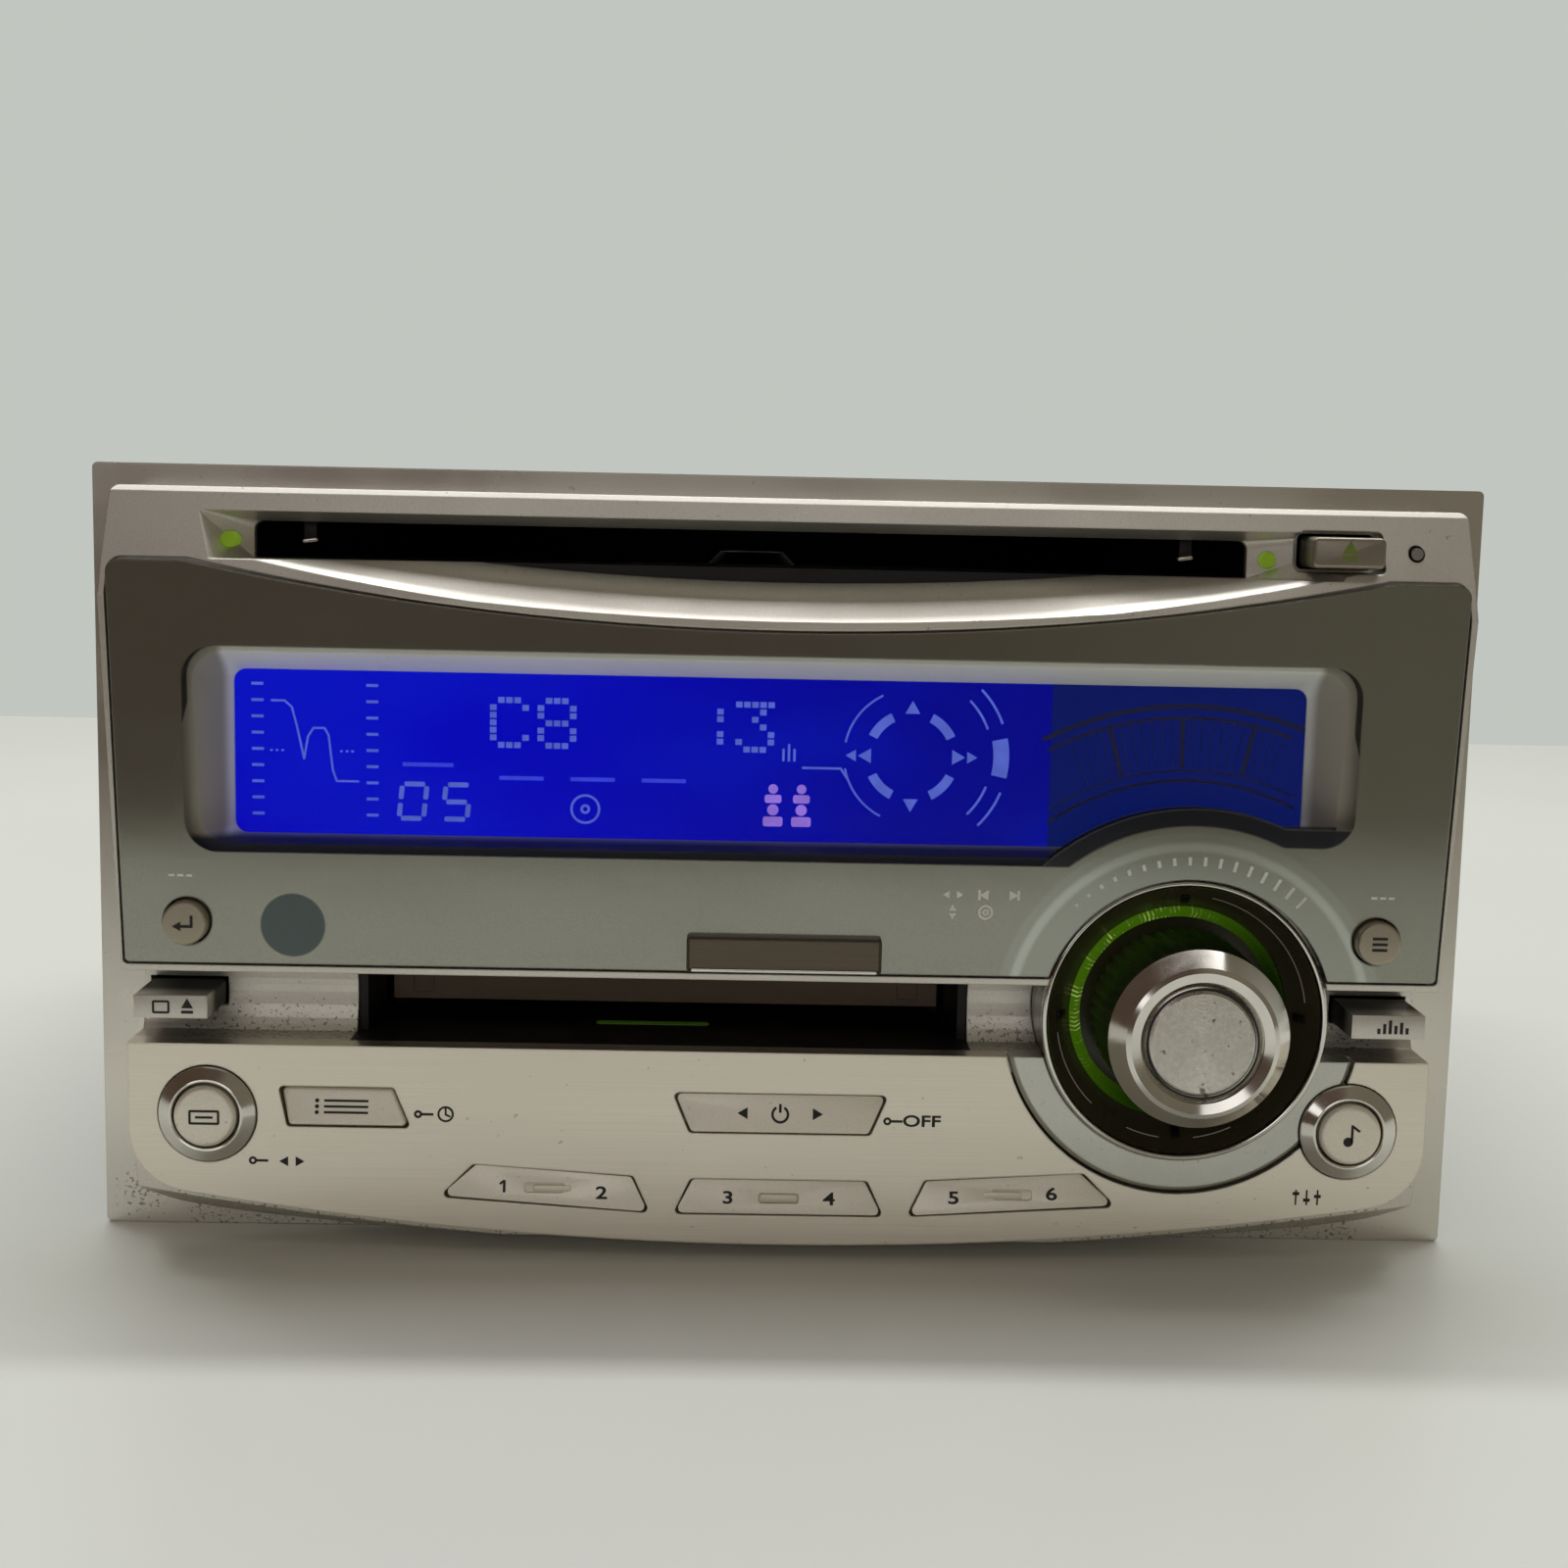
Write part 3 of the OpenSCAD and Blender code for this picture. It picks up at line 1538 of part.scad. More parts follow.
// Side plate with the fixing holes and two slots
module side_plate(s) {
  slot_l = 12;
  edge = s * (chassis_w / 2 - sheet / 2);
  difference() {
    block([edge - sheet / 2, edge + sheet / 2], [-chassis_back, -flange_t], [sheet, chassis_h - sheet]);
    for (d = side_hole_ds())
      for (z = side_hole_zs())
        bar_x(edge - sheet, edge + sheet, -d, z, side_hole_r);
    for (d = side_hole_ds())
      block(
        [edge - sheet, edge + sheet],
        [-d - slot_l / 2, -d + slot_l / 2],
        [chassis_h / 2 - side_hole_r, chassis_h / 2 + side_hole_r]
      );
  }
}

// Setbacks of the side fixing holes
function side_hole_ds() = [chassis_back / 2 - side_hole_y / 2, chassis_back / 2 + side_hole_y / 2];

// Heights of the side fixing holes
function side_hole_zs() = [chassis_h / 2 - side_hole_z / 2, chassis_h / 2 + side_hole_z / 2];

// Left wall of the chassis
module left_side_plate() {
  color([0.66, 0.67, 0.68])
    side_plate(-1);
}

// Right wall of the chassis
module right_side_plate() {
  color([0.66, 0.67, 0.68])
    side_plate(1);
}

// Lid with folded side lips and a row of vents
module top_cover() {
  vent_w = 3;
  vent_l = 36;
  pitch = 9;
  hw = chassis_w / 2;
  color([0.66, 0.67, 0.68])
    difference() {
      union() {
        block([-hw, hw], [-chassis_back, -flange_t], [chassis_h - sheet, chassis_h]);
        for (s = [-1, 1])
          block(
            [s * (hw + sheet / 2) - sheet / 2, s * (hw + sheet / 2) + sheet / 2],
            [-chassis_back, -flange_t],
            [chassis_h - cover_lip, chassis_h]
          );
      }
      for (i = [0 : vents - 1])
        block(
          [pitch * (i - (vents - 1) / 2) - vent_w / 2, pitch * (i - (vents - 1) / 2) + vent_w / 2],
          [-chassis_back + vent_l / 2, -chassis_back + vent_l * 1.5],
          [chassis_h - 2 * sheet, chassis_h + sheet]
        );
    }
}

// Rear wall with the socket openings
module rear_panel() {
  hw = chassis_w / 2 - sheet;
  color([0.64, 0.65, 0.66])
    difference() {
      block([-hw, hw], [-chassis_back, -chassis_back + sheet], [sheet, chassis_h - sheet]);
      post(aerial_x(), socket_z(), aerial_body_r() + fit_gap, -chassis_back - past, 0);
      power_block(fit_gap, past);
      for (i = [0, 1])
        post(line_x(i), socket_z(), line_r + fit_gap, -chassis_back - past, 0);
      post(stud_x(), stud_z(), stud_r - stud_step + run_gap, -chassis_back - past, 0);
    }
}

// Places of the rear sockets and stud
function socket_z() = board_z + board_t + socket_rise;
function aerial_x() = chassis_w / 2 - aerial_inset;
function aerial_body_r() = aerial_r + aerial_wall;
function line_x(i) = chassis_w / 2 - line_inset - line_step * i;
function stud_x() = chassis_w / 2 - stud_inset;
function stud_z() = chassis_h - stud_drop;
function power_x() = power_inset - chassis_w / 2;

// Finned heat sink on the rear wall
module heat_sink() {
  base = 4;
  fin_t = 2.2;
  left = -chassis_w / 2 + 4;
  pitch = (sink_w - fin_t) / (fins - 1);
  color([0.2, 0.2, 0.21])
    translate([left, y_at(-chassis_back), sink_foot])
    linear_extrude(sink_h)
    union() {
      square([sink_w, base]);
      for (i = [0 : fins - 1])
        translate([i * pitch, 0])
          square([fin_t, sink_l]);
    }
}

// Threaded stud for a rear support, with its hexagon head inside
module rear_stud() {
  head_r = 5;
  head_t = 3.5;
  color([0.7, 0.68, 0.55]) {
    post(stud_x(), stud_z(), stud_r, -chassis_back - stud_l, -chassis_back - stud_step);
    post(stud_x(), stud_z(), stud_r - stud_step, -chassis_back - stud_l / 2, -chassis_back + sheet);
    translate([stud_x(), y_at(-chassis_back + sheet), stud_z()])
      rotate([90, 0, 0])
      cylinder(r = head_r, h = head_t, $fn = 6);
  }
}

// Main circuit board
module main_board() {
  edge = 2;
  color([0.12, 0.38, 0.2])
    block(
      [-chassis_w / 2 + sheet + edge, chassis_w / 2 - sheet - edge],
      [-chassis_back + sheet + edge, -board_front()],
      [board_z, board_z + board_t]
    );
}

// Aerial socket on the main board
module aerial_socket() {
  r = aerial_body_r();
  color([0.7, 0.7, 0.68])
    difference() {
      union() {
        post(aerial_x(), socket_z(), r, -chassis_back - aerial_out, -chassis_back + aerial_in);
        socket_foot(aerial_x(), r, aerial_in);
      }
      post(
        aerial_x(),
        socket_z(),
        aerial_r,
        -chassis_back - aerial_out - past,
        -chassis_back + aerial_in - 2 * sheet
      );
    }
}

// Foot that carries a round socket on the main board
module socket_foot(x, half, inside) {
  block(
    [x - half, x + half],
    [-chassis_back + 2 * sheet, -chassis_back + inside],
    [board_z + board_t, socket_z()]
  );
}

// Outer form of the power socket
module power_block(grow, longer) {
  block(
    [power_x() - power_w / 2 - grow, power_x() + power_w / 2 + grow],
    [-chassis_back - power_out - longer, -chassis_back + power_in],
    [board_z + board_t - grow, board_z + board_t + power_h + grow]
  );
}

// Power and speaker socket, open to the rear
module power_socket() {
  half = power_w / 2 - power_wall;
  low = board_z + board_t + power_wall;
  color([0.12, 0.12, 0.12])
    difference() {
      power_block(0, 0);
      block(
        [power_x() - half, power_x() + half],
        [-chassis_back - power_out - past, -chassis_back + power_in - power_wall],
        [low, low + power_h - 2 * power_wall]
      );
    }
}

// Pair of line sockets on the main board
module line_sockets() {
  pin_r = line_r * 0.4;
  color([0.75, 0.73, 0.68])
    for (i = [0, 1])
      difference() {
        union() {
          post(line_x(i), socket_z(), line_r, -chassis_back - line_out, -chassis_back + line_in);
          socket_foot(line_x(i), line_r, line_in);
        }
        post(line_x(i), socket_z(), pin_r, -chassis_back - line_out - past, -chassis_back);
      }
}

// Round-headed screws in the cover's lips
module case_screws() {
  head_r = 2.6;
  head_h = 1.2;
  soft = 0.5;
  color([0.6, 0.6, 0.62])
    for (s = [-1, 1])
      for (d = side_hole_ds())
        translate([s * (chassis_w / 2 + sheet), y_at(-d), chassis_h - cover_lip / 2])
          rotate([0, s * 90, 0])
          rotate_extrude()
          polygon([[0, 0], [head_r, 0], [head_r, head_h - soft], [head_r - soft, head_h], [0, head_h]]);
}

// Sheet frame of the disc mechanism, with ears to the side plates
module disc_frame() {
  half = disc_frame_w / 2;
  inner = chassis_w / 2 - sheet;
  top = chassis_h - sheet - 2;
  ear_l = 14;
  back = mech_front + disc_frame_l;
  motor_r = 11;
  motor_h = 9;
  color([0.6, 0.61, 0.62])
    difference() {
      union() {
        block(
          [disc_x - half - mech_t, disc_x + half + mech_t],
          [-back, -mech_front],
          [disc_base_z, disc_base_z + mech_t]
        );
        for (s = [-1, 1])
          block(
            [
              disc_x + s * (half + mech_t / 2) - mech_t / 2,
              disc_x + s * (half + mech_t / 2) + mech_t / 2
            ],
            [-back, -mech_front],
            [disc_base_z, top]
          );
        for (d = [mech_front + ear_l, back - 2 * ear_l])
          block([-inner, inner], [-d - ear_l, -d], [disc_base_z, disc_base_z + mech_t]);
        translate([disc_x, y_at(-turntable_back), disc_base_z])
          cylinder(r = motor_r, h = motor_h);
        bar_x(disc_x, disc_x + half, -turntable_back + rod_spread, disc_base_z + rod_rise, rod_r);
        translate([disc_x, y_at(-turntable_back + rod_spread), disc_base_z])
          translate([-rod_r, -rod_r, 0])
          cube([2 * rod_r, 2 * rod_r, rod_rise + rod_r]);
        block(
          [disc_x - rod_r, disc_x + rod_r],
          [-turntable_back - rod_spread - 2 * rod_r, -turntable_back - rod_spread + 2 * rod_r],
          [disc_base_z, disc_base_z + rod_rise + 2 * rod_r]
        );
      }
      bar_x(disc_x - face_w, disc_x + face_w, -roller_back, roller_z, rod_r + run_gap);
      bar_x(
        disc_x,
        disc_x + face_w,
        -turntable_back - rod_spread,
        disc_base_z + rod_rise,
        rod_r + run_gap
      );
      translate([disc_x, y_at(-turntable_back), disc_base_z])
        cylinder(r = rod_r + run_gap, h = far_d);
    }
}

// Waisted rubber roller that draws the disc in
module loading_roller() {
  half = disc_slot_w / 2 - 3;
  reach = disc_frame_w / 2 + mech_t;
  color([0.12, 0.12, 0.12])
    translate([disc_x, y_at(-roller_back), roller_z])
    rotate([0, 90, 0])
    rotate_extrude()
    polygon([
      [0, -reach],
      [rod_r, -reach],
      [rod_r, -half],
      [roller_r, -half],
      [roller_r - roller_waist, 0],
      [roller_r, half],
      [rod_r, half],
      [rod_r, reach],
      [0, reach]
    ]);
}

// Turntable on the disc spindle
module disc_turntable() {
  table_z = 11;
  hub_r = 7.2;
  hub_top = slot_low - stop_gap;
  foot_z = 1.5;
  color([0.3, 0.3, 0.31])
    translate([disc_x, y_at(-turntable_back), 0])
    rotate_extrude()
    polygon([
      [0, disc_base_z + foot_z],
      [rod_r, disc_base_z + foot_z],
      [rod_r, disc_base_z + table_z],
      [turntable_r, disc_base_z + table_z],
      [turntable_r, disc_base_z + table_z + 2],
      [hub_r, disc_base_z + table_z + 2],
      [hub_r, hub_top - 2],
      [hub_r - 2, hub_top],
      [0, hub_top]
    ]);
}

// Pickup that slides out along its rod and screw
module disc_pickup() {
  room = 4;
  left = disc_x + turntable_r + room;
  w = disc_frame_w / 2 - turntable_r - pickup_travel - 2.5 * room;
  low = disc_base_z + mech_t + 1.5;
  high = disc_base_z + rod_rise + 5;
  lens_r = 4;
  lens_h = 2.5;
  reach = rod_spread + 3.5;
  color([0.25, 0.25, 0.27])
    difference() {
      union() {
        block([left, left + w], [-turntable_back - reach, -turntable_back + reach], [low, high]);
        translate([left + w / 2, y_at(-turntable_back), high])
          cylinder(r = lens_r, h = lens_h);
      }
      for (s = [-1, 1])
        bar_x(
          disc_x,
          disc_x + face_w,
          -turntable_back + s * rod_spread,
          disc_base_z + rod_rise,
          rod_r + run_gap
        );
    }
}

// Screw that feeds the pickup
module disc_feed_screw() {
  color([0.72, 0.72, 0.7])
    bar_x(
      disc_x + stop_gap,
      disc_x + disc_frame_w / 2 + mech_t,
      -turntable_back - rod_spread,
      disc_base_z + rod_rise,
      rod_r
    );
}

// Sheet channel of the cartridge mechanism on four legs
module cartridge_frame() {
  half = cart_slot_w / 2;
  front = flap_back + flap_h + cart_frame_gap();
  back = front + cart_frame_l;
  top = panel_top + cart_slot_h;
  leg_r = 3;
  color([0.6, 0.61, 0.62])
    difference() {
      union() {
        block(
          [cart_x - half - mech_t, cart_x + half + mech_t],
          [-back, -front],
          [cart_base_z, cart_base_z + mech_t]
        );
        for (s = [-1, 1])
          block(
            [
              cart_x + s * (half + mech_t / 2) - mech_t / 2,
              cart_x + s * (half + mech_t / 2) + mech_t / 2
            ],
            [-back, -front],
            [cart_base_z, top]
          );
        for (s = [-1, 1])
          for (d = [front + 2 * leg_r, back - 2 * leg_r])
            translate([cart_x + s * (half - leg_r), y_at(-d), sheet])
              cylinder(r = leg_r, h = cart_base_z - sheet);
      }
      translate([cart_x, y_at(-cart_spindle_back()), 0])
        cylinder(r = rod_r + run_gap, h = far_d);
    }
}

// Setback of the cartridge spindle
function cart_spindle_back() = flap_back + flap_h + cart_frame_gap() + cart_frame_l / 2;

// Spindle that turns the disc in the cartridge
module cartridge_spindle() {
  top = panel_top - stop_gap;
  table = cart_base_z + mech_t + stop_gap;
  color([0.3, 0.3, 0.31])
    translate([cart_x, y_at(-cart_spindle_back()), 0])
    rotate_extrude()
    polygon([
      [0, cart_base_z],
      [rod_r, cart_base_z],
      [rod_r, table],
      [spindle_r, table],
      [spindle_r, top - 2],
      [spindle_r - 1, top],
      [0, top]
    ]);
}

flange_plate();
front_bezel();
lower_panel();
knob_crescent();
knob_well();
well_ring();
light_ring();
display_window();
display_frame();
lcd_panel();
lcd_backlight();
badge_plate();
remote_sensor();
button_rings();
slot_lamps();
disc_slot_liner();
cartridge_slot_frame();
key_board();
key_switches();
disc_eject_key();
reset_pin();
enter_key();
function_key();
cartridge_eject_key();
sound_key();
display_key();
info_key();
source_key();
audio_key();
preset_key_1_2();
preset_key_3_4();
preset_key_5_6();
cartridge_flap();
flap_pin();
gimbal_ring();
encoder_cradle();
push_sleeve();
encoder_shaft();
knob_body();
knob_grip();
knob_cap();
bottom_plate();
left_side_plate();
right_side_plate();
top_cover();
rear_panel();
heat_sink();
rear_stud();
main_board();
aerial_socket();
power_socket();
line_sockets();
case_screws();
disc_frame();
loading_roller();
disc_turntable();
disc_pickup();
disc_feed_screw();
cartridge_frame();
cartridge_spindle();
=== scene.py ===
"""Looks of a double-height car audio unit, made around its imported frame.

The front faces -Y, +X is to the right as seen from the front and +Z is up. Sizes are written in
millimetres, and a depth runs forwards from the flange's front face.
"""

import logging
import math
from contextlib import contextmanager
from dataclasses import dataclass, replace
from enum import Enum
from typing import Any, Callable, Iterator, Sequence

import bpy
from mathutils import Matrix, Vector
from mathutils.bvhtree import BVHTree


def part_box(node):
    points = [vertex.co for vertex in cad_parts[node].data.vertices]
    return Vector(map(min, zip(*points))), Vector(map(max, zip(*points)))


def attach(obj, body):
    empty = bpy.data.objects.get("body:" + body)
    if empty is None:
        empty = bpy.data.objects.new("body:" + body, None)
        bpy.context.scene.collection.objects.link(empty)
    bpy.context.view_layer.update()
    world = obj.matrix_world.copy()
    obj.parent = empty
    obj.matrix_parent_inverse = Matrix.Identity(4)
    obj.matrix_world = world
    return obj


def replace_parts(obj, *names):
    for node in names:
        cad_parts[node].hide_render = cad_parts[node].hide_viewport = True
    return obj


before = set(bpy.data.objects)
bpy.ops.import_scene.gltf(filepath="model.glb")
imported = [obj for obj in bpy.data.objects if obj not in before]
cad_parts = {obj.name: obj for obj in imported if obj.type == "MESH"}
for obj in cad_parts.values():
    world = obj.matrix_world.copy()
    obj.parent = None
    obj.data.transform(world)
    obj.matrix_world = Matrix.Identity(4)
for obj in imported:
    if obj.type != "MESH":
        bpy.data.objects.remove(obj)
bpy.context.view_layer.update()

Colour = tuple[float, float, float]
Part = bpy.types.Object
Socket = bpy.types.NodeSocket

LOG = logging.getLogger("looks")
MM = 0.001
FACE_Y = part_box("flange_plate")[0].y / MM
FRONTWARD = (math.pi / 2, 0.0, 0.0)
SHARP = math.radians(40)
SMOOTH = math.radians(35)
FLAT = math.radians(0.6)
MERGE = 0.002
CAPITAL = 0.7
BOLD = 0.03
PRINT = 0.04
LIFT = 0.01


def tone(red: int, green: int, blue: int) -> Colour:
    """Linear colour of an sRGB tone."""
    shares = (red / 255, green / 255, blue / 255)
    return tuple(s / 12.92 if s <= 0.04 else ((s + 0.055) / 1.055) ** 2.4 for s in shares)


def at(x: float, d: float, z: float) -> Vector:
    """Point in metres from x, depth and z in millimetres."""
    return Vector((x, FACE_Y - d, z)) * MM


def front_of(node: str) -> float:
    """Depth of a node's foremost point in millimetres."""
    return FACE_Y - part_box(node)[0].y / MM


def middle_of(node: str) -> Vector:
    """Middle of a node's box in millimetres."""
    low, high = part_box(node)
    return (low + high) / (2 * MM)


def touch(node: str, x: float, z: float) -> tuple[float, float]:
    """Face of a node as met by a straight line from the front.

    Args:
        node: The CAD node.
        x: Place along X in millimetres.
        z: Place along Z in millimetres.

    Returns:
        The face's depth in millimetres and the lean of its top towards the front in degrees.
    """
    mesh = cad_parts[node].data
    tree = BVHTree.FromPolygons([v.co for v in mesh.vertices], [p.vertices for p in mesh.polygons])
    place, normal, _, _ = tree.ray_cast(at(x, 100.0, z), Vector((0, 1, 0)))
    if place is None:
        raise ValueError(f"{node} has no face at {x}, {z}")
    return FACE_Y - place.y / MM, -math.degrees(math.atan2(normal.z, -normal.y))


class Body(Enum):
    """Bodies of the frame that new pieces ride on, beside the keys' own."""

    CHASSIS = "chassis"
    KNOB = "knob"


class Tree:
    """Node tree that is filled from code."""

    def __init__(self, tree: bpy.types.NodeTree) -> None:
        """Start with an empty tree."""
        self.nodes = tree.nodes
        self.links = tree.links
        self.nodes.clear()

    def feed(self, socket: Socket, value: Any) -> None:
        """Link a socket into another one, or set a plain value on it.

        Args:
            socket: The input.
            value: A socket or a plain value.
        """
        if isinstance(value, bpy.types.NodeSocket):
            self.links.new(value, socket)
        else:
            socket.default_value = value

    def add(self, kind: str, inputs: dict[Any, Any] | None = None, **settings: Any) -> bpy.types.Node:
        """Add a node.

        Args:
            kind: Blender's name of the node type, without its common start.
            inputs: Value or socket for each input, by name or number.
            settings: The node's own options.

        Returns:
            The new node.
        """
        node = self.nodes.new(f"ShaderNode{kind}")
        for key, value in settings.items():
            setattr(node, key, value)
        for key, value in (inputs or {}).items():
            self.feed(node.inputs[key], value)
        return node

    def math(self, operation: str, first: Any, second: Any = 0.0) -> Socket:
        """Result of a sum on two values or sockets."""
        return self.add("Math", {0: first, 1: second}, operation=operation).outputs[0]

    def times(self, first: Any, second: Any) -> Socket:
        """Product of two values or sockets."""
        return self.math("MULTIPLY", first, second)

    def spread(
        self, value: Socket, low: float, high: float, start: float = 0.0, end: float = 1.0
    ) -> Socket:
        """Soft step of a socket, from a start below a span to an end above it."""
        span = {"Value": value, 1: low, 2: high, 3: start, 4: end}
        return self.add("MapRange", span, interpolation_type="SMOOTHSTEP").outputs["Result"]

    def fall(self, value: Socket, low: float, high: float) -> Socket:
        """Soft step of a socket, from 1 below a span to 0 above it."""
        return self.spread(value, low, high, 1.0, 0.0)

    def mix(self, share: Socket, first: Any, second: Any) -> Socket:
        """Colour between two colours or sockets."""
        ends = [(*c, 1.0) if isinstance(c, tuple) else c for c in (first, second)]
        return self.add("Mix", {0: share, 6: ends[0], 7: ends[1]}, data_type="RGBA").outputs[2]


class Graph(Tree):
    """Node tree of one procedural material."""

    def __init__(self, name: str) -> None:
        """Start a material with one shader and its output."""
        self.material = bpy.data.materials.new(name)
        self.material.use_nodes = True
        super().__init__(self.material.node_tree)
        self.shader = self.add("BsdfPrincipled")
        self.add("OutputMaterial", {"Surface": self.shader.outputs["BSDF"]})

    def set(self, name: str, value: Any) -> None:
        """Feed one of the shader's inputs."""
        self.feed(self.shader.inputs[name], value)

    def coords(self, size: Sequence[float] = (1, 1, 1), centre: Sequence[float] = (0, 0, 0)) -> Socket:
        """Object coordinates in steps of a pattern's size.

        Args:
            size: Size of one step along each axis, in millimetres.
            centre: The pattern's own centre, in millimetres.

        Returns:
            The vector socket.
        """
        plain = self.add("TexCoord").outputs["Object"]
        place = {"Vector": plain, "Location": [c * MM for c in centre], "Scale": [s * MM for s in size]}
        return self.add("Mapping", place, vector_type="TEXTURE").outputs["Vector"]

    def axes(self, centre: Sequence[float] = (0, 0, 0)) -> Any:
        """Sockets X, Y and Z of the place from a centre, in millimetres."""
        return self.add("SeparateXYZ", {"Vector": self.coords(centre=centre)}).outputs

    def noise(self, size: float | tuple[float, float, float], detail: float = 2.0) -> Socket:
        """Noise with the given grain size in millimetres, one for all axes or one for each.

        Args:
            size: Size of the grain.
            detail: Number of finer steps.

        Returns:
            The noise's socket.
        """
        grain = size if isinstance(size, tuple) else (size,) * 3
        values = {"Vector": self.coords(grain), "Scale": 1.0, "Detail": detail}
        return self.add("TexNoise", values).outputs["Fac"]

    def cells(self, size: float) -> Socket:
        """Random grey of each cell in a pattern of cells of that size.

        Args:
            size: Size of a cell in millimetres.

        Returns:
            The grey's socket.
        """
        values = {"Vector": self.coords((size,) * 3), "Scale": 1.0}
        colour = self.add("TexVoronoi", values).outputs["Color"]
        return self.add("SeparateXYZ", {"Vector": colour}).outputs["X"]

    def vary(self, share: Socket, colour: Colour, amount: float) -> Socket:
        """Colour that runs a little darker and lighter with a socket.

        Args:
            share: Socket that it follows.
            colour: The middle colour.
            amount: Share of the change.

        Returns:
            The colour's socket.
        """
        dark = tuple(c * (1 - amount) for c in colour)
        light = tuple(min(1.0, c * (1 + amount)) for c in colour)
        return self.mix(self.spread(share, 0.25, 0.75), dark, light)

    def bevel(self, radius: float) -> Socket:
        """Normal that rounds the edges by a radius in millimetres."""
        return self.add("Bevel", {"Radius": radius * MM}, samples=4).outputs["Normal"]

    def bump(self, height: Socket, strength: float, distance: float, normal: Socket | None) -> Socket:
        """Normal with small relief.

        Args:
            height: Height of the relief.
            strength: Share of the relief that shows.
            distance: Size of one step of height in millimetres.
            normal: Normal that the relief stands on, if it isn't the face's own.

        Returns:
            The normal's socket.
        """
        values = {"Height": height, "Strength": strength, "Distance": distance * MM}
        if normal is not None:
            values["Normal"] = normal
        return self.add("Bump", values).outputs["Normal"]

    def polar(self, x: float, z: float) -> tuple[Socket, Socket]:
        """Angle and radius in millimetres about an axis along Y.

        Args:
            x: Place of the axis along X.
            z: Place of the axis along Z.

        Returns:
            The angle's socket and the radius's.
        """
        place = self.axes((x, 0, z))
        squares = [self.math("POWER", place[axis], 2.0) for axis in "XZ"]
        radius = self.math("SQRT", self.math("ADD", *squares))
        return self.math("ARCTAN2", place["Z"], place["X"]), radius

    def opening(self, centre: tuple[float, float], half: tuple[float, float], radius: float) -> Socket:
        """Mask that is 1 inside a rounded rectangle seen from the front.

        Args:
            centre: Middle of the rectangle, x and z in millimetres.
            half: Half its width and height in millimetres.
            radius: Radius of its corners in millimetres.

        Returns:
            The mask's socket.
        """
        place = self.axes((centre[0], 0, centre[1]))
        past = []
        for axis, reach in zip("XZ", half):
            beyond = self.math("SUBTRACT", self.math("ABSOLUTE", place[axis]), reach - radius)
            past.append(self.math("POWER", self.math("MAXIMUM", beyond, 0.0), 2.0))
        out = self.math("SQRT", self.math("ADD", *past))
        return self.fall(out, radius - 0.15, radius + 0.15)


SPECK = tone(70, 62, 52)
DARK_BLOT = tone(64, 54, 44)
SCUFF = tone(84, 76, 64)
PIT = tone(92, 86, 76)
DUST = tone(150, 140, 122)
PANE_DUST = tone(168, 164, 150)
KEY_BACK_BLACK = tone(17, 16, 15)
# nearly black, painted as the shade inside the chassis
INSIDE_SHADE = tone(3, 3, 3)


@dataclass(frozen=True)
class Finish:
    """One surface finish.

    Attributes:
        name: Name of its material.
        slot: The record's material slot.
        colour: Base colour.
        metallic: Share of bare metal.
        roughness: Roughness.
        edge: Radius of softened edges in millimetres.
    """

    name: str
    slot: str
    colour: Colour
    metallic: float = 0.0
    roughness: float = 0.5
    edge: float = 0.0

    def material(self) -> bpy.types.Material:
        """Material of this finish, made once.

        Returns:
            The material.
        """
        made = bpy.data.materials.get(self.name)
        if made is None:
            graph = Graph(self.name)
            graph.set("Base Color", (*self.colour, 1.0))
            graph.set("Metallic", self.metallic)
            graph.set("Roughness", self.roughness)
            self.work(graph, graph.bevel(self.edge) if self.edge else None)
            made = graph.material
        return made

    def work(self, graph: Graph, normal: Socket | None) -> None:
        """Add the finish's own pattern.

        Args:
            graph: The material's node tree.
            normal: Normal of the softened edges, if the finish has them.
        """
        raise NotImplementedError

    def dull(
        self, graph: Graph, share: Socket, span: tuple[float, float], less: float, more: float
    ) -> None:
        """Let the roughness run with a socket.

        Args:
            graph: The material's node tree.
            share: Socket that it follows.
            span: The socket's values at the smoothest and the roughest place.
            less: How far the roughness falls.
            more: How far it rises.
        """
        graph.set("Roughness", graph.spread(share, *span, self.roughness - less, self.roughness + more))


@dataclass(frozen=True)
class FlakePaint(Finish):
    """Silver paint with fine metal flakes, faint patches and small dark specks.

    Attributes:
        flake: Size of the flakes in millimetres.
        depth: Strength of the flakes' tones.
        worn: Strength of the specks.
    """

    flake: float = 0.12
    depth: float = 0.1
    worn: float = 0.35

    def work(self, graph: Graph, normal: Socket | None) -> None:
        """Add flakes, patches and specks.

        Args:
            graph: The material's node tree.
            normal: Normal of the softened edges, if the finish has them.
        """
        flakes = graph.noise(self.flake, 1.0)
        graph.set("Base Color", self.coat(graph, flakes))
        self.dull(graph, graph.noise(26, 4.0), (0.3, 0.7), 0.05, 0.06)
        graph.set("Normal", graph.bump(flakes, 0.12, 0.02, normal))

    def coat(self, graph: Graph, flakes: Socket) -> Socket:
        """Colour of the paint with its small dark specks."""
        specks = graph.spread(graph.noise(0.75), 0.7, 0.78, 0.0, self.worn)
        return graph.mix(specks, graph.vary(flakes, self.colour, self.depth), SPECK)


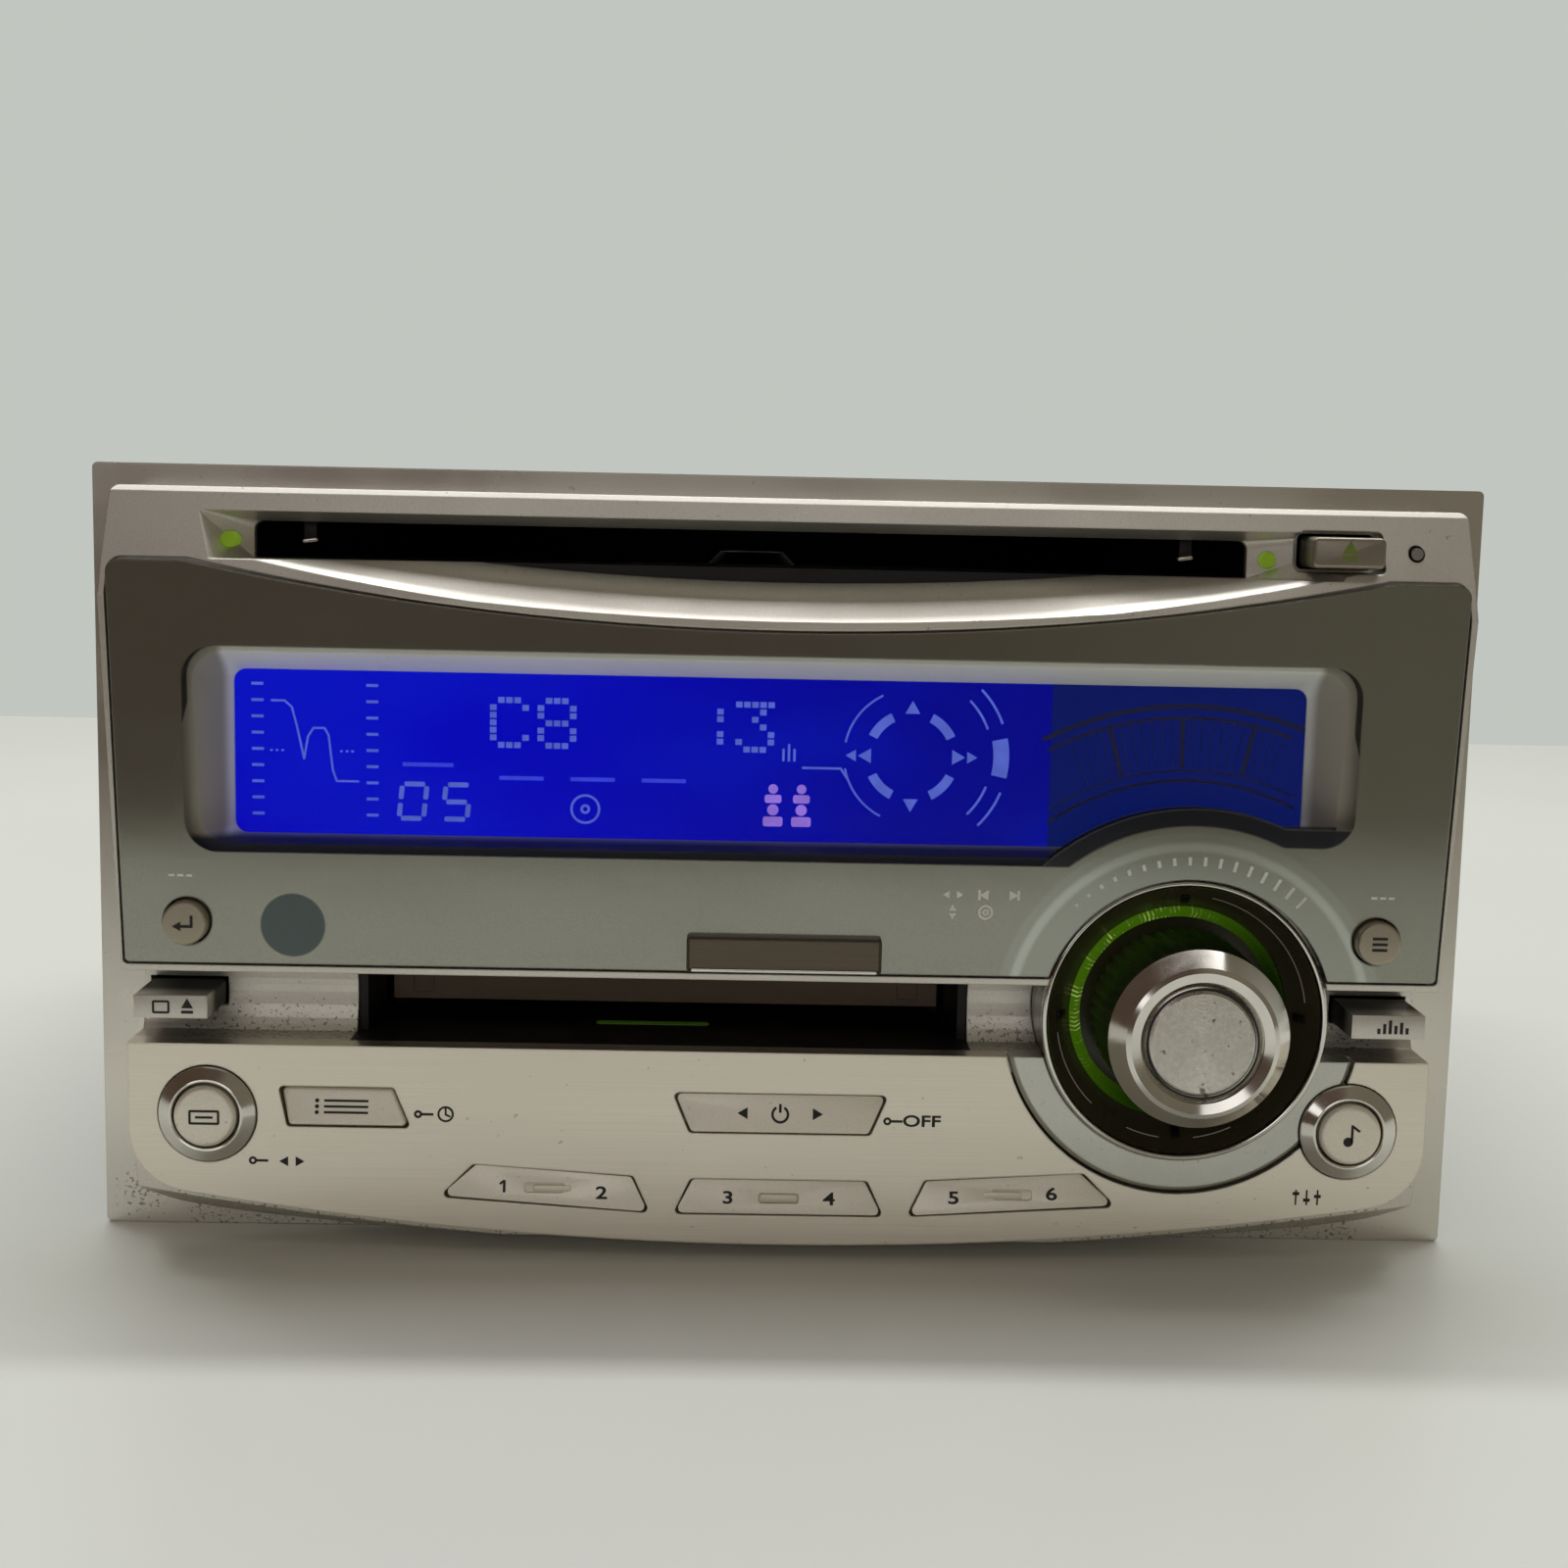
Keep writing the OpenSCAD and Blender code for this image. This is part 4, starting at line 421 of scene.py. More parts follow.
@dataclass(frozen=True)
class WornPaint(FlakePaint):
    """Silver paint, darker in blots at the groove's foot, grimy at a lower corner, shaded hollow at the
    lip.

    Attributes:
        foot: Heights between which the darker blots along the groove fade, in millimetres.
        ends: Distances from the middle between which it ends, in millimetres.
        corner: Place of the worn corner, x and z in millimetres.
        lip: Depth of the hollow in the slot's lip, in millimetres.
        lip_z: Lowest and highest point of the hollow in millimetres.
        lip_x: Distances from the slot's middle between which it ends, in millimetres.
        lip_y: Places along Y from the flange's face between which it rises, in millimetres.
    """

    foot: tuple[float, float] = (28.6, 33.0)
    ends: tuple[float, float] = (77.0, 79.0)
    corner: tuple[float, float] = (-84.5, 4.0)
    lip: float = 3.4
    lip_z: tuple[float, float] = (79.0, 91.0)
    lip_x: tuple[float, float] = (34.0, 58.0)
    lip_y: tuple[float, float] = (-20.0, -3.0)

    def work(self, graph: Graph, normal: Socket | None) -> None:
        """Hollow the slot's lip, then add flakes, patches and specks.

        Args:
            graph: The material's node tree.
            normal: Normal of the softened edges, if the finish has them.
        """
        place = graph.axes((middle_of("disc_slot_liner").x, FACE_Y, 0))
        low, high = self.lip_z
        level = graph.times(
            graph.spread(place["Z"], low, low + 1.5), graph.fall(place["Z"], high - 1.5, high)
        )
        across = graph.fall(graph.math("ABSOLUTE", place["X"]), *self.lip_x)
        drop = graph.spread(place["Y"], *self.lip_y, 0.0, self.lip)
        hollow = graph.times(drop, graph.times(level, across))
        super().work(graph, graph.bump(hollow, 1.0, 1.0, normal))

    def coat(self, graph: Graph, flakes: Socket) -> Socket:
        """Colour of the paint with its specks, the groove's darker blots and the corner's grime.

        Args:
            graph: The material's node tree.
            flakes: Noise of the flakes.

        Returns:
            The colour's socket.
        """
        paint = super().coat(graph, flakes)
        place = graph.axes()
        across = graph.fall(graph.math("ABSOLUTE", place["X"]), *self.ends)
        groove = graph.times(graph.fall(place["Z"], *self.foot), across)
        _, away = graph.polar(*self.corner)
        where = graph.math("MAXIMUM", groove, graph.spread(away, 0.5, 5.5, 1.3, 0.0))
        blots = graph.noise((0.55, 0.55, 0.45), 3.0)
        reach = graph.math("ADD", blots, graph.times(where, 0.1))
        share = graph.times(graph.spread(reach, 0.66, 0.74), graph.spread(where, 0.05, 0.4, 0.0, 0.6))
        return graph.mix(share, paint, DARK_BLOT)


@dataclass(frozen=True)
class TrayPaint(FlakePaint):
    """Pale paint of a sunk frame, with painted shade on its side walls and on its lower wall.

    Attributes:
        centre: Middle of the frame, x in millimetres.
        half: Half the width of its opening in millimetres.
        foot: Height of its lower wall in millimetres.
        side: Colour of its side walls, a painted shade.
        shade: Colour of its lower wall, a painted shade with a painted reflection of the blue display.
    """

    centre: float = 0.0
    half: float = 1.0
    foot: float = 0.0
    # painted shade colours of the side walls and the lower wall
    side: Colour = tone(172, 168, 154)
    shade: Colour = tone(40, 46, 66)

    def coat(self, graph: Graph, flakes: Socket) -> Socket:
        """Colour of each wall, with painted shade on the side walls and the lower wall.

        Args:
            graph: The material's node tree.
            flakes: Noise of the flakes.

        Returns:
            The colour's socket.
        """
        place = graph.axes((self.centre, 0, self.foot))
        # the side walls and the lower wall get painted shade colours
        aside = graph.spread(graph.math("ABSOLUTE", place["X"]), self.half + 0.2, self.half + 1.4)
        walls = graph.mix(aside, super().coat(graph, flakes), self.side)
        return graph.mix(graph.fall(place["Z"], -0.5, 0.6), walls, self.shade)


@dataclass(frozen=True)
class KeyPaint(FlakePaint):
    """Silver paint on a key's face that turns to black behind it.

    Attributes:
        front: Depth of the key's face in millimetres.
        reach: Depth over which it turns to black behind the face, in millimetres.
    """

    front: float = 0.0
    reach: float = 4.0

    def coat(self, graph: Graph, flakes: Socket) -> Socket:
        """Colour of the paint, turning to black behind the face."""
        behind = graph.axes((0, FACE_Y - self.front, 0))["Y"]
        return graph.mix(graph.spread(behind, 0.5, self.reach), super().coat(graph, flakes), KEY_BACK_BLACK)


@dataclass(frozen=True)
class Brushed(Finish):
    """Metal brushed along X.

    Attributes:
        stroke: Length of the brush strokes in millimetres.
        line: Width of the strokes in millimetres.
        depth: Strength of the strokes' tones.
        flare: Turn-out of the panel's foot in millimetres.
        foot: Heights between which the foot turns out, in millimetres.
    """

    stroke: float = 34.0
    line: float = 0.09
    depth: float = 0.1
    flare: float = 0.0
    foot: tuple[float, float] = (-6.0, 16.0)

    def work(self, graph: Graph, normal: Socket | None) -> None:
        """Add brush strokes, a few small marks and the foot's turn.

        Args:
            graph: The material's node tree.
            normal: Normal of the softened edges, if the finish has them.
        """
        if self.flare:
            turn = graph.spread(graph.axes()["Z"], *self.foot, self.flare, 0.0)
            normal = graph.bump(turn, 1.0, 1.0, normal)
        strokes = graph.noise((self.stroke, 2.0, self.line), 3.0)
        broad = graph.noise((60, 8, 5))
        marks = graph.spread(graph.noise((1.1, 1.1, 0.8)), 0.73, 0.8, 0.0, 0.4)
        graph.set("Base Color", graph.mix(marks, graph.vary(strokes, self.colour, self.depth), SCUFF))
        sheen = graph.math("ADD", graph.times(strokes, 0.08), graph.times(broad, 0.05))
        graph.set("Roughness", graph.math("ADD", sheen, self.roughness - 0.065))
        graph.set("Normal", graph.bump(strokes, 0.12, 0.03, normal))


@dataclass(frozen=True)
class Plated(Finish):
    """Bright plated metal with faint smudges."""

    def work(self, graph: Graph, normal: Socket | None) -> None:
        """Add smudges and hairline marks.

        Args:
            graph: The material's node tree.
            normal: Normal of the softened edges, if the finish has them.
        """
        smudges = graph.noise(7, 5.0)
        hairs = graph.noise((0.6, 0.6, 9))
        graph.set("Base Color", graph.vary(smudges, self.colour, 0.06))
        self.dull(graph, smudges, (0.3, 0.75), 0.0, 0.1)
        graph.set("Normal", graph.bump(hairs, 0.03, 0.02, normal))


@dataclass(frozen=True)
class Spun(Finish):
    """Metal turned about an axis along Y, with rings left by the tool.

    Attributes:
        x: Place of the axis along X in millimetres.
        z: Place of the axis along Z in millimetres.
        pitch: Distance between rings in millimetres.
    """

    x: float = 0.0
    z: float = 0.0
    pitch: float = 0.16

    def work(self, graph: Graph, normal: Socket | None) -> None:
        """Add the rings, their sheen and small pits.

        Args:
            graph: The material's node tree.
            normal: Normal of the softened edges, if the finish has them.
        """
        _, radius = graph.polar(self.x, self.z)
        rings = graph.math("SINE", graph.times(radius, math.tau / self.pitch))
        waver = graph.noise(0.5, 3.0)
        pits = graph.spread(graph.noise(1.3, 3.0), 0.64, 0.74, 0.0, 0.75)
        graph.set("Base Color", graph.mix(pits, graph.vary(waver, self.colour, 0.09), PIT))
        self.dull(graph, pits, (0.0, 0.75), 0.0, 0.2)
        graph.set("Anisotropic", 0.75)
        graph.set("Tangent", graph.add("Tangent", direction_type="RADIAL", axis="Y").outputs[0])
        graph.set("Normal", graph.bump(rings, 0.08, 0.02, normal))


@dataclass(frozen=True)
class Moulded(Finish):
    """Moulded plastic or rubber with a fine grain.

    Attributes:
        grain: Size of the grain in millimetres.
        relief: Strength of the grain.
        dust: Strength of the dust.
    """

    grain: float = 0.25
    relief: float = 0.2
    dust: float = 0.12

    def work(self, graph: Graph, normal: Socket | None) -> None:
        """Add grain, cloudy tone and a little dust.

        Args:
            graph: The material's node tree.
            normal: Normal of the softened edges, if the finish has them.
        """
        grain = graph.noise(self.grain)
        clouds = graph.noise(9, 4.0)
        dust = graph.spread(graph.noise(0.9, 4.0), 0.62, 0.8, 0.0, self.dust)
        graph.set("Base Color", graph.mix(dust, graph.vary(clouds, self.colour, 0.14), DUST))
        self.dull(graph, clouds, (0.3, 0.7), 0.06, 0.08)
        graph.set("Normal", graph.bump(grain, self.relief, 0.03, normal))


@dataclass(frozen=True)
class SheetSteel(Finish):
    """Zinc-coated sheet with spangles and faint rolling lines.

    Attributes:
        spangle: Size of the spangles in millimetres.
    """

    spangle: float = 5.0

    def work(self, graph: Graph, normal: Socket | None) -> None:
        """Add spangles, rolling lines and dull patches.

        Args:
            graph: The material's node tree.
            normal: Normal of the softened edges, if the finish has them.
        """
        lines = graph.noise((0.3, 40, 0.3))
        graph.set("Base Color", self.coat(graph))
        self.dull(graph, graph.noise(30, 4.0), (0.25, 0.75), 0.08, 0.1)
        graph.set("Normal", graph.bump(lines, 0.06, 0.02, normal))

    def coat(self, graph: Graph) -> Socket:
        """Colour of the spangles."""
        return graph.vary(graph.cells(self.spangle), self.colour, 0.09)


@dataclass(frozen=True)
class ShadedInsideSheet(SheetSteel):
    """Zinc-coated sheet with its inner side painted nearly black as shade.

    Attributes:
        back: Y between the inner and the outer side, in millimetres.
    """

    back: float = 0.0

    def coat(self, graph: Graph) -> Socket:
        """Colour of the spangles outside and of the painted shade inside."""
        outside = graph.spread(graph.axes()["Y"], self.back - 0.1, self.back + 0.1)
        return graph.mix(outside, INSIDE_SHADE, super().coat(graph))


@dataclass(frozen=True)
class Threaded(Finish):
    """Plated rod with a thread about an axis along Y.

    Attributes:
        pitch: Pitch of the thread in millimetres.
    """

    pitch: float = 1.0

    def work(self, graph: Graph, normal: Socket | None) -> None:
        """Add the thread's ridges, with painted shade in their roots and a painted highlight on their
        crests.

        Args:
            graph: The material's node tree.
            normal: Normal of the softened edges, if the finish has them.
        """
        ridges = graph.math("SINE", graph.times(graph.axes()["Y"], math.tau / self.pitch))
        # darker in the roots and lighter on the crests: painted shade and painted highlight
        graph.set("Base Color", graph.vary(graph.spread(ridges, -1.0, 1.0), self.colour, 0.35))
        graph.set("Normal", graph.bump(ridges, 0.7, 0.25, normal))


@dataclass(frozen=True)
class LightPipe(Finish):
    """Lit ring with fine radial facets, brighter towards one side, with painted glints on its facets.

    Attributes:
        x: Place of the ring's axis along X in millimetres.
        z: Place of the ring's axis along Z in millimetres.
        facets: Number of facets.
        strength: Strength of the light.
        bright_side: Angle of the brightest place in degrees, from +X towards +Z.
        shades: Colours of its dimmest place, its brightest place and its painted glints.
    """

    x: float = 0.0
    z: float = 0.0
    facets: int = 150
    strength: float = 0.55
    bright_side: float = 140.0
    shades: tuple[Colour, Colour, Colour] = (tone(8, 16, 2), tone(70, 112, 10), tone(226, 246, 140))

    def work(self, graph: Graph, normal: Socket | None) -> None:
        """Add the facets, the fall of the light round the ring and painted glints on the facets.

        Args:
            graph: The material's node tree.
            normal: Normal of the softened edges, if the finish has them.
        """
        angle, _ = graph.polar(self.x, self.z)
        facets = graph.math("SINE", graph.times(angle, float(self.facets)))
        streaks = graph.noise((1.6, 4.0, 1.6))
        away = graph.math("COSINE", graph.math("SUBTRACT", angle, math.radians(self.bright_side)))
        # bright glints on the facets are painted highlights
        painted_glint = graph.times(graph.spread(facets, 0.2, 1.0), graph.spread(streaks, 0.45, 0.75))
        bright = graph.times(painted_glint, graph.spread(away, 0.2, 1.0))
        light = graph.mix(graph.spread(away, -0.6, 1.0), *self.shades[:2])
        graph.set("Emission Color", graph.mix(bright, light, self.shades[2]))
        graph.set("Emission Strength", self.strength)
        graph.set("Normal", graph.bump(facets, 0.3, 0.1, normal))


@dataclass(frozen=True)
class Glow(Finish):
    """Small lamp or lit figure with a slightly uneven light.

    Attributes:
        strength: Strength of the light.
    """

    strength: float = 1.0

    def work(self, graph: Graph, normal: Socket | None) -> None:
        """Add the light and its soft unevenness.

        Args:
            graph: The material's node tree.
            normal: Normal of the softened edges, if the finish has them; not used.
        """
        cloud = graph.noise(1.8)
        graph.set("Emission Color", graph.vary(cloud, self.colour, 0.12))
        graph.set("Emission Strength", self.strength)
        graph.set("Base Color", graph.vary(cloud, tuple(c * 0.5 for c in self.colour), 0.1))


@dataclass(frozen=True)
class TintedPane(Finish):
    """Clear pane with a metallic coat behind it, left clear over the display.

    Attributes:
        centre: Middle of the clear opening, x and z in millimetres.
        half: Half the opening's width and height in millimetres.
        corner: Radius of its corners in millimetres.
        hub: Axis of the rotary control, x and z in millimetres.
        arch: Radius of the arch that cuts the opening, in millimetres.
        step: Rise of the opening's lower edge to the right of the control.
        wall: Width of the curb along the arch and that edge, painted dark as shade.
        eye: Round thin spot over the sensor, x, z and radius in millimetres.
        tint: Opacity of the coat.
        clear: Opacity of the opening.
        rim: Colour of the band round the control.
        painted_highlight: Colour of the bright line in that band, a painted highlight.
        thin: Colour of the thin spot.
        shade: Colour of the curb, a painted shade.
    """

    centre: tuple[float, float] = (0.0, 0.0)
    half: tuple[float, float] = (1.0, 1.0)
    corner: float = 3.2
    hub: tuple[float, float] = (0.0, 0.0)
    arch: float = 25.3
    step: float = 2.9
    wall: float = 2.4
    eye: tuple[float, float, float] = (0.0, 0.0, 4.0)
    tint: float = 0.97
    clear: float = 0.015
    rim: Colour = tone(178, 186, 180)
    painted_highlight: Colour = tone(226, 234, 226)
    thin: Colour = tone(62, 82, 86)
    shade: Colour = tone(30, 34, 42)

    def work(self, graph: Graph, normal: Socket | None) -> None:
        """Add the coat, its clear opening, the curb's painted shade, smears and dust.

        Args:
            graph: The material's node tree.
            normal: Normal of the softened edges, if the finish has them.
        """
        _, reach = graph.polar(*self.hub)
        _, off = graph.polar(*self.eye[:2])
        inside, curb = self.clearing(graph, reach)
        spot = graph.spread(off, self.eye[2] - 0.15, self.eye[2] + 0.15, 0.85, 0.0)
        coat = graph.mix(spot, self.coat(graph, reach), self.thin)
        # the curb along the arch and the lower right edge is painted shade
        graph.set("Base Color", graph.mix(curb, coat, self.shade))
        bare = graph.math("MAXIMUM", spot, curb)
        graph.set("Metallic", graph.spread(bare, 0.0, 0.85, self.metallic, 0.2))
        share = graph.math("SUBTRACT", inside, graph.times(curb, 0.94))
        opacity = graph.add("MapRange", {"Value": share, 3: self.tint, 4: self.clear})
        graph.set("Alpha", opacity.outputs["Result"])
        self.dull(graph, graph.noise((24, 24, 11), 4.0), (0.3, 0.75), 0.0, 0.05)
        if normal is not None:
            graph.set("Normal", normal)

    def clearing(self, graph: Graph, reach: Socket) -> tuple[Socket, Socket]:
        """Masks of the clear opening and of the curb that is painted as shade.

        Args:
            graph: The material's node tree.
            reach: Distance from the rotary control's axis.

        Returns:
            The opening's mask and the curb's.
        """
        place = graph.axes()
        (x, z), (wide, tall) = self.centre, self.half
        right = graph.spread(place["X"], self.hub[0] - 0.1, self.hub[0] + 0.1)
        whole = graph.opening(self.centre, self.half, self.corner)
        higher = graph.opening((x, z + self.step / 2), (wide, tall - self.step / 2), self.corner)
        whole = graph.times(whole, graph.math("MAXIMUM", higher, graph.fall(right, 0.4, 0.6)))
        inside = graph.times(whole, graph.spread(reach, self.arch - 0.2, self.arch + 0.2))
        foot = z - tall + self.step + self.wall
        low = graph.times(right, graph.fall(place["Z"], foot - 0.25, foot + 0.25))
        curb = graph.fall(reach, self.arch + self.wall - 0.4, self.arch + self.wall)
        return inside, graph.times(inside, graph.math("MAXIMUM", curb, low))

    def coat(self, graph: Graph, reach: Socket) -> Socket:
        """Colour of the coat with its dust, the band round the control and a painted highlight in it.

        Args:
            graph: The material's node tree.
            reach: Distance from the rotary control's axis.

        Returns:
            The colour's socket.
        """
        dust = graph.spread(graph.noise(0.6, 3.0), 0.72, 0.82, 0.0, 0.3)
        pane = graph.mix(dust, graph.vary(graph.noise(0.2, 1.0), self.colour, 0.07), PANE_DUST)
        band = graph.spread(reach, self.arch - 0.9, self.arch - 0.5, 0.3, 0.0)
        line = graph.math("ABSOLUTE", graph.math("SUBTRACT", reach, self.arch - 2.6))
        pane = graph.mix(band, pane, self.rim)
        # the bright line in the band is a painted highlight
        return graph.mix(graph.spread(line, 0.2, 0.9, 0.4, 0.0), pane, self.painted_highlight)


@dataclass(frozen=True)
class Screen(Finish):
    """Backlit liquid-crystal panel, dimmer past an edge.

    Attributes:
        edge_x: Place of the edge along X in millimetres.
        dim: Colour past the edge.
        strength: Strength of the light.
        far_x: Place along X from which the light falls off, in millimetres.
        dusk: Colour that the light falls off to.
        cloud: Colour of the brighter clouds.
    """

    edge_x: float = 0.0
    dim: Colour = (0.0, 0.0, 0.0)
    strength: float = 1.0
    far_x: float = -50.0
    dusk: Colour = (0.0, 0.002, 0.06)
    cloud: Colour = tone(8, 44, 226)

    def work(self, graph: Graph, normal: Socket | None) -> None:
        """Add the lit and dim areas, clouds of light and the fine cell grid.

        Args:
            graph: The material's node tree.
            normal: Normal of the softened edges, if the finish has them; not used.
        """
        along = graph.axes()["X"]
        clouds = graph.noise((38, 38, 20))
        grid = graph.cells(0.45)
        fading = graph.spread(along, self.far_x, self.edge_x + 4.0, 0.0, 0.62)
        lit = graph.mix(fading, self.colour, self.dusk)
        lit = graph.mix(graph.spread(clouds, 0.4, 0.75, 0.0, 0.2), lit, self.cloud)
        both = graph.mix(graph.spread(along, self.edge_x - 0.1, self.edge_x + 0.1), lit, self.dim)
        lines = graph.spread(grid, 0.0, 1.0, 0.0, 0.05)
        graph.set("Emission Color", graph.mix(lines, both, (0.0, 0.0, 0.0)))
        graph.set("Emission Strength", self.strength)
        graph.set("Base Color", graph.vary(grid, (0.0, 0.0, 0.03), 0.2))
        graph.set("Specular IOR Level", 0.1)


@dataclass(frozen=True)
class Laminate(Finish):
    """Circuit board with fine tracks under its lacquer."""

    def work(self, graph: Graph, normal: Socket | None) -> None:
        """Add tracks and a faint weave.

        Args:
            graph: The material's node tree.
            normal: Normal of the softened edges, if the finish has them.
        """
        tracks = graph.cells(2.4)
        weave = graph.noise(0.4)
        lighter = tuple(min(1.0, c * 1.7) for c in self.colour)
        graph.set("Base Color", graph.mix(graph.spread(tracks, 0.6, 0.66), self.colour, lighter))
        graph.set("Normal", graph.bump(weave, 0.1, 0.03, normal))


KNOB_AT = middle_of("well_ring")
SENSOR_AT = middle_of("remote_sensor")
FRAME_AT = middle_of("display_frame")
FRAME_LOW, FRAME_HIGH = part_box("display_frame")
FRAME_SPAN = (FRAME_HIGH - FRAME_LOW) / (2 * MM)
FRAME_HALF = (FRAME_SPAN.x - 0.5, FRAME_SPAN.z - 0.4)

SATIN = WornPaint(
    "satin_silver_paint", "satin_silver", tone(224, 220, 211), metallic=0.82, roughness=0.38, edge=0.28,
)
FLANGE = replace(
    SATIN, name="flange_silver_paint", colour=tone(222, 218, 209), metallic=0.9, roughness=0.27,
    edge=0.25, depth=0.06, worn=0.3,
)
BRUSHED = Brushed(
    "brushed_panel", "brushed_silver", tone(234, 227, 213), metallic=0.92, roughness=0.31, edge=0.3,
    line=0.07, depth=0.05, flare=0.7,
)
KEY = FlakePaint(
    "key_silver_paint", "key_silver", tone(247, 241, 227), metallic=0.6, roughness=0.4, flake=0.1,
    depth=0.07, worn=0.25,
)
# a darker copy of the key paint, painted shade of the keys low in the window
SHADED_WINDOW_KEY = replace(KEY, name="window_key_shaded_paint", colour=tone(177, 168, 150))
# darker than the groove keys' paint: painted shade on the disc eject key
SHADED_DISC_KEY = KeyPaint(
    "disc_key_shaded_paint", "key_silver", tone(154, 145, 132), metallic=0.7, roughness=0.36, flake=0.1,
    depth=0.07, worn=0.25, front=front_of("disc_eject_key"), reach=5.0,
)
GROOVE_KEY = replace(
    SHADED_DISC_KEY, name="groove_key_paint", colour=tone(212, 208, 200), metallic=0.8, worn=0.35,
    front=front_of("sound_key"), reach=4.5,
)
CRESCENT = FlakePaint(
    "crescent_paint", "satin_silver", tone(214, 215, 208), metallic=0.9, roughness=0.38, edge=0.3,
    depth=0.06, worn=0.3,
)
TRIM = Plated("bright_trim_plate", "bright_trim", tone(222, 219, 212), metallic=1.0, roughness=0.1)
DULL_TRIM = Plated("dull_trim_plate", "bright_trim", tone(122, 120, 110), metallic=0.8, roughness=0.3)
DARK_TRIM = Plated("dark_trim_plate", "badge_grey", tone(66, 60, 52), metallic=0.9, roughness=0.22)
CAP = Spun(
    "spun_cap_metal", "spun_cap", tone(206, 202, 194), metallic=1.0, roughness=0.27, x=KNOB_AT.x,
    z=KNOB_AT.z,
)
GRIP = Moulded(
    "grip_black_plastic", "grip_black", tone(12, 12, 11), roughness=0.42, edge=0.12, grain=0.2,
    relief=0.15, dust=0.05,
)
WELL = Moulded(
    "well_black_plastic", "well_black", tone(66, 60, 44), roughness=0.28, edge=0.2, grain=0.4,
    relief=0.04, dust=0.05,
)
RING_LIGHT = LightPipe(
    "ring_light", "lit_green", tone(40, 70, 8), roughness=0.25, x=KNOB_AT.x, z=KNOB_AT.z,
)
LAMP = Glow("lamp_green", "lit_green", tone(110, 140, 24), roughness=0.3, strength=0.6)
SIGN_GREEN = Glow("sign_green", "lit_green", tone(92, 108, 34), roughness=0.4, strength=0.35)
SLOT_LIGHT = Glow("slot_light_green", "lit_green", tone(56, 84, 18), roughness=0.3, strength=0.26)
PANE = TintedPane(
    "tinted_pane", "tinted_window", tone(156, 156, 146), metallic=0.8, roughness=0.12, edge=0.3,
    centre=(FRAME_AT.x + 0.2, FRAME_AT.z + 0.15), half=FRAME_HALF, corner=4.0,
    hub=(KNOB_AT.x, KNOB_AT.z), eye=(SENSOR_AT.x, SENSOR_AT.z, 4.0),
)
# pale frame paint with painted shade on its side and lower walls
PALE = TrayPaint(
    "pale_frame_paint", "frame_pale", tone(248, 252, 242), metallic=0.05, edge=0.3, depth=0.05,
    worn=0.2, centre=FRAME_AT.x, half=FRAME_HALF[0] - 5.0, foot=FRAME_LOW.z / MM + 2.1,
)
SCREEN = Screen(
    "lit_screen", "lit_blue", tone(1, 3, 194), roughness=0.3, edge_x=33.4, dim=tone(6, 22, 92),
    strength=0.92,
)
FIGURE = Glow("screen_figure", "lit_blue", tone(92, 112, 226), roughness=0.4, strength=0.56)
FIGURE_FAINT = Glow("screen_figure_faint", "lit_blue", tone(48, 62, 214), roughness=0.4, strength=0.75)
FIGURE_WARM = Glow("screen_figure_warm", "lit_blue", tone(150, 116, 226), roughness=0.4, strength=0.7)
FIGURE_DIM = Glow("screen_figure_dim", "lit_blue", tone(2, 6, 52), roughness=0.4, strength=0.5)
LIGHT_BOX = Moulded("light_box_plastic", "light_box", tone(214, 214, 206))
BADGE = Brushed(
    "badge_metal", "badge_grey", tone(104, 94, 80), metallic=0.8, roughness=0.34, edge=0.1, stroke=12.0,
    line=0.12, depth=0.08,
)
SENSOR = Moulded(
    "sensor_filter", "sensor_dark", tone(38, 62, 62), roughness=0.18, edge=0.1, grain=0.3, relief=0.04,
    dust=0.04,
)
SLOT = Moulded("slot_black_plastic", "slot_black", tone(7, 7, 7), grain=0.3, relief=0.15, dust=0.02)
FLAP = Moulded(
    "flap_plastic", "flap_grey", tone(112, 96, 80), metallic=0.2, roughness=0.45, edge=0.15,
    relief=0.12, dust=0.1,
)
BOARD = Laminate("board_laminate", "board_green", tone(24, 84, 46), roughness=0.35)
SWITCH = Moulded("switch_plastic", "switch_black", tone(28, 28, 30))
ROD = Plated("steel_rod_metal", "steel_rod", tone(180, 180, 178), metallic=1.0, roughness=0.22)
ENCODER = Moulded("encoder_plastic", "encoder_body", tone(58, 58, 60), roughness=0.45)
SHEET = SheetSteel(
    "zinc_sheet", "sheet_metal", tone(152, 154, 154), metallic=0.8, roughness=0.54, edge=0.2,
)
# the rear panel's inner side is painted nearly black as shade
REAR_SHEET = ShadedInsideSheet(
    "inside_shaded_zinc_sheet", "sheet_metal", tone(164, 166, 166), metallic=0.85, roughness=0.46, edge=0.2,
    back=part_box("rear_panel")[1].y / MM - 0.5,
)
# the disc frame's sheet is painted nearly black as the shade inside the disc slot
SLOT_SHADE_SHEET = replace(SHEET, name="slot_shade_sheet", colour=tone(7, 7, 8), metallic=0.1, roughness=0.7)
SINK = Moulded(
    "anodised_sink", "sink_black", tone(34, 34, 36), metallic=0.5, roughness=0.42, edge=0.2, grain=0.3,
    relief=0.1,
)
BRASS = Plated(
    "plated_socket", "plated_brass", tone(196, 178, 130), metallic=1.0, roughness=0.25, edge=0.2,
)
THREAD = Threaded("stud_thread", "plated_brass", tone(190, 186, 170), metallic=1.0, roughness=0.3)
MECH = Moulded("mechanism_plastic", "mech_dark", tone(22, 22, 24), edge=0.2)
INK = Moulded(
    "black_print", "switch_black", tone(30, 28, 25), roughness=0.55, grain=0.15, relief=0.1, dust=0.05,
)
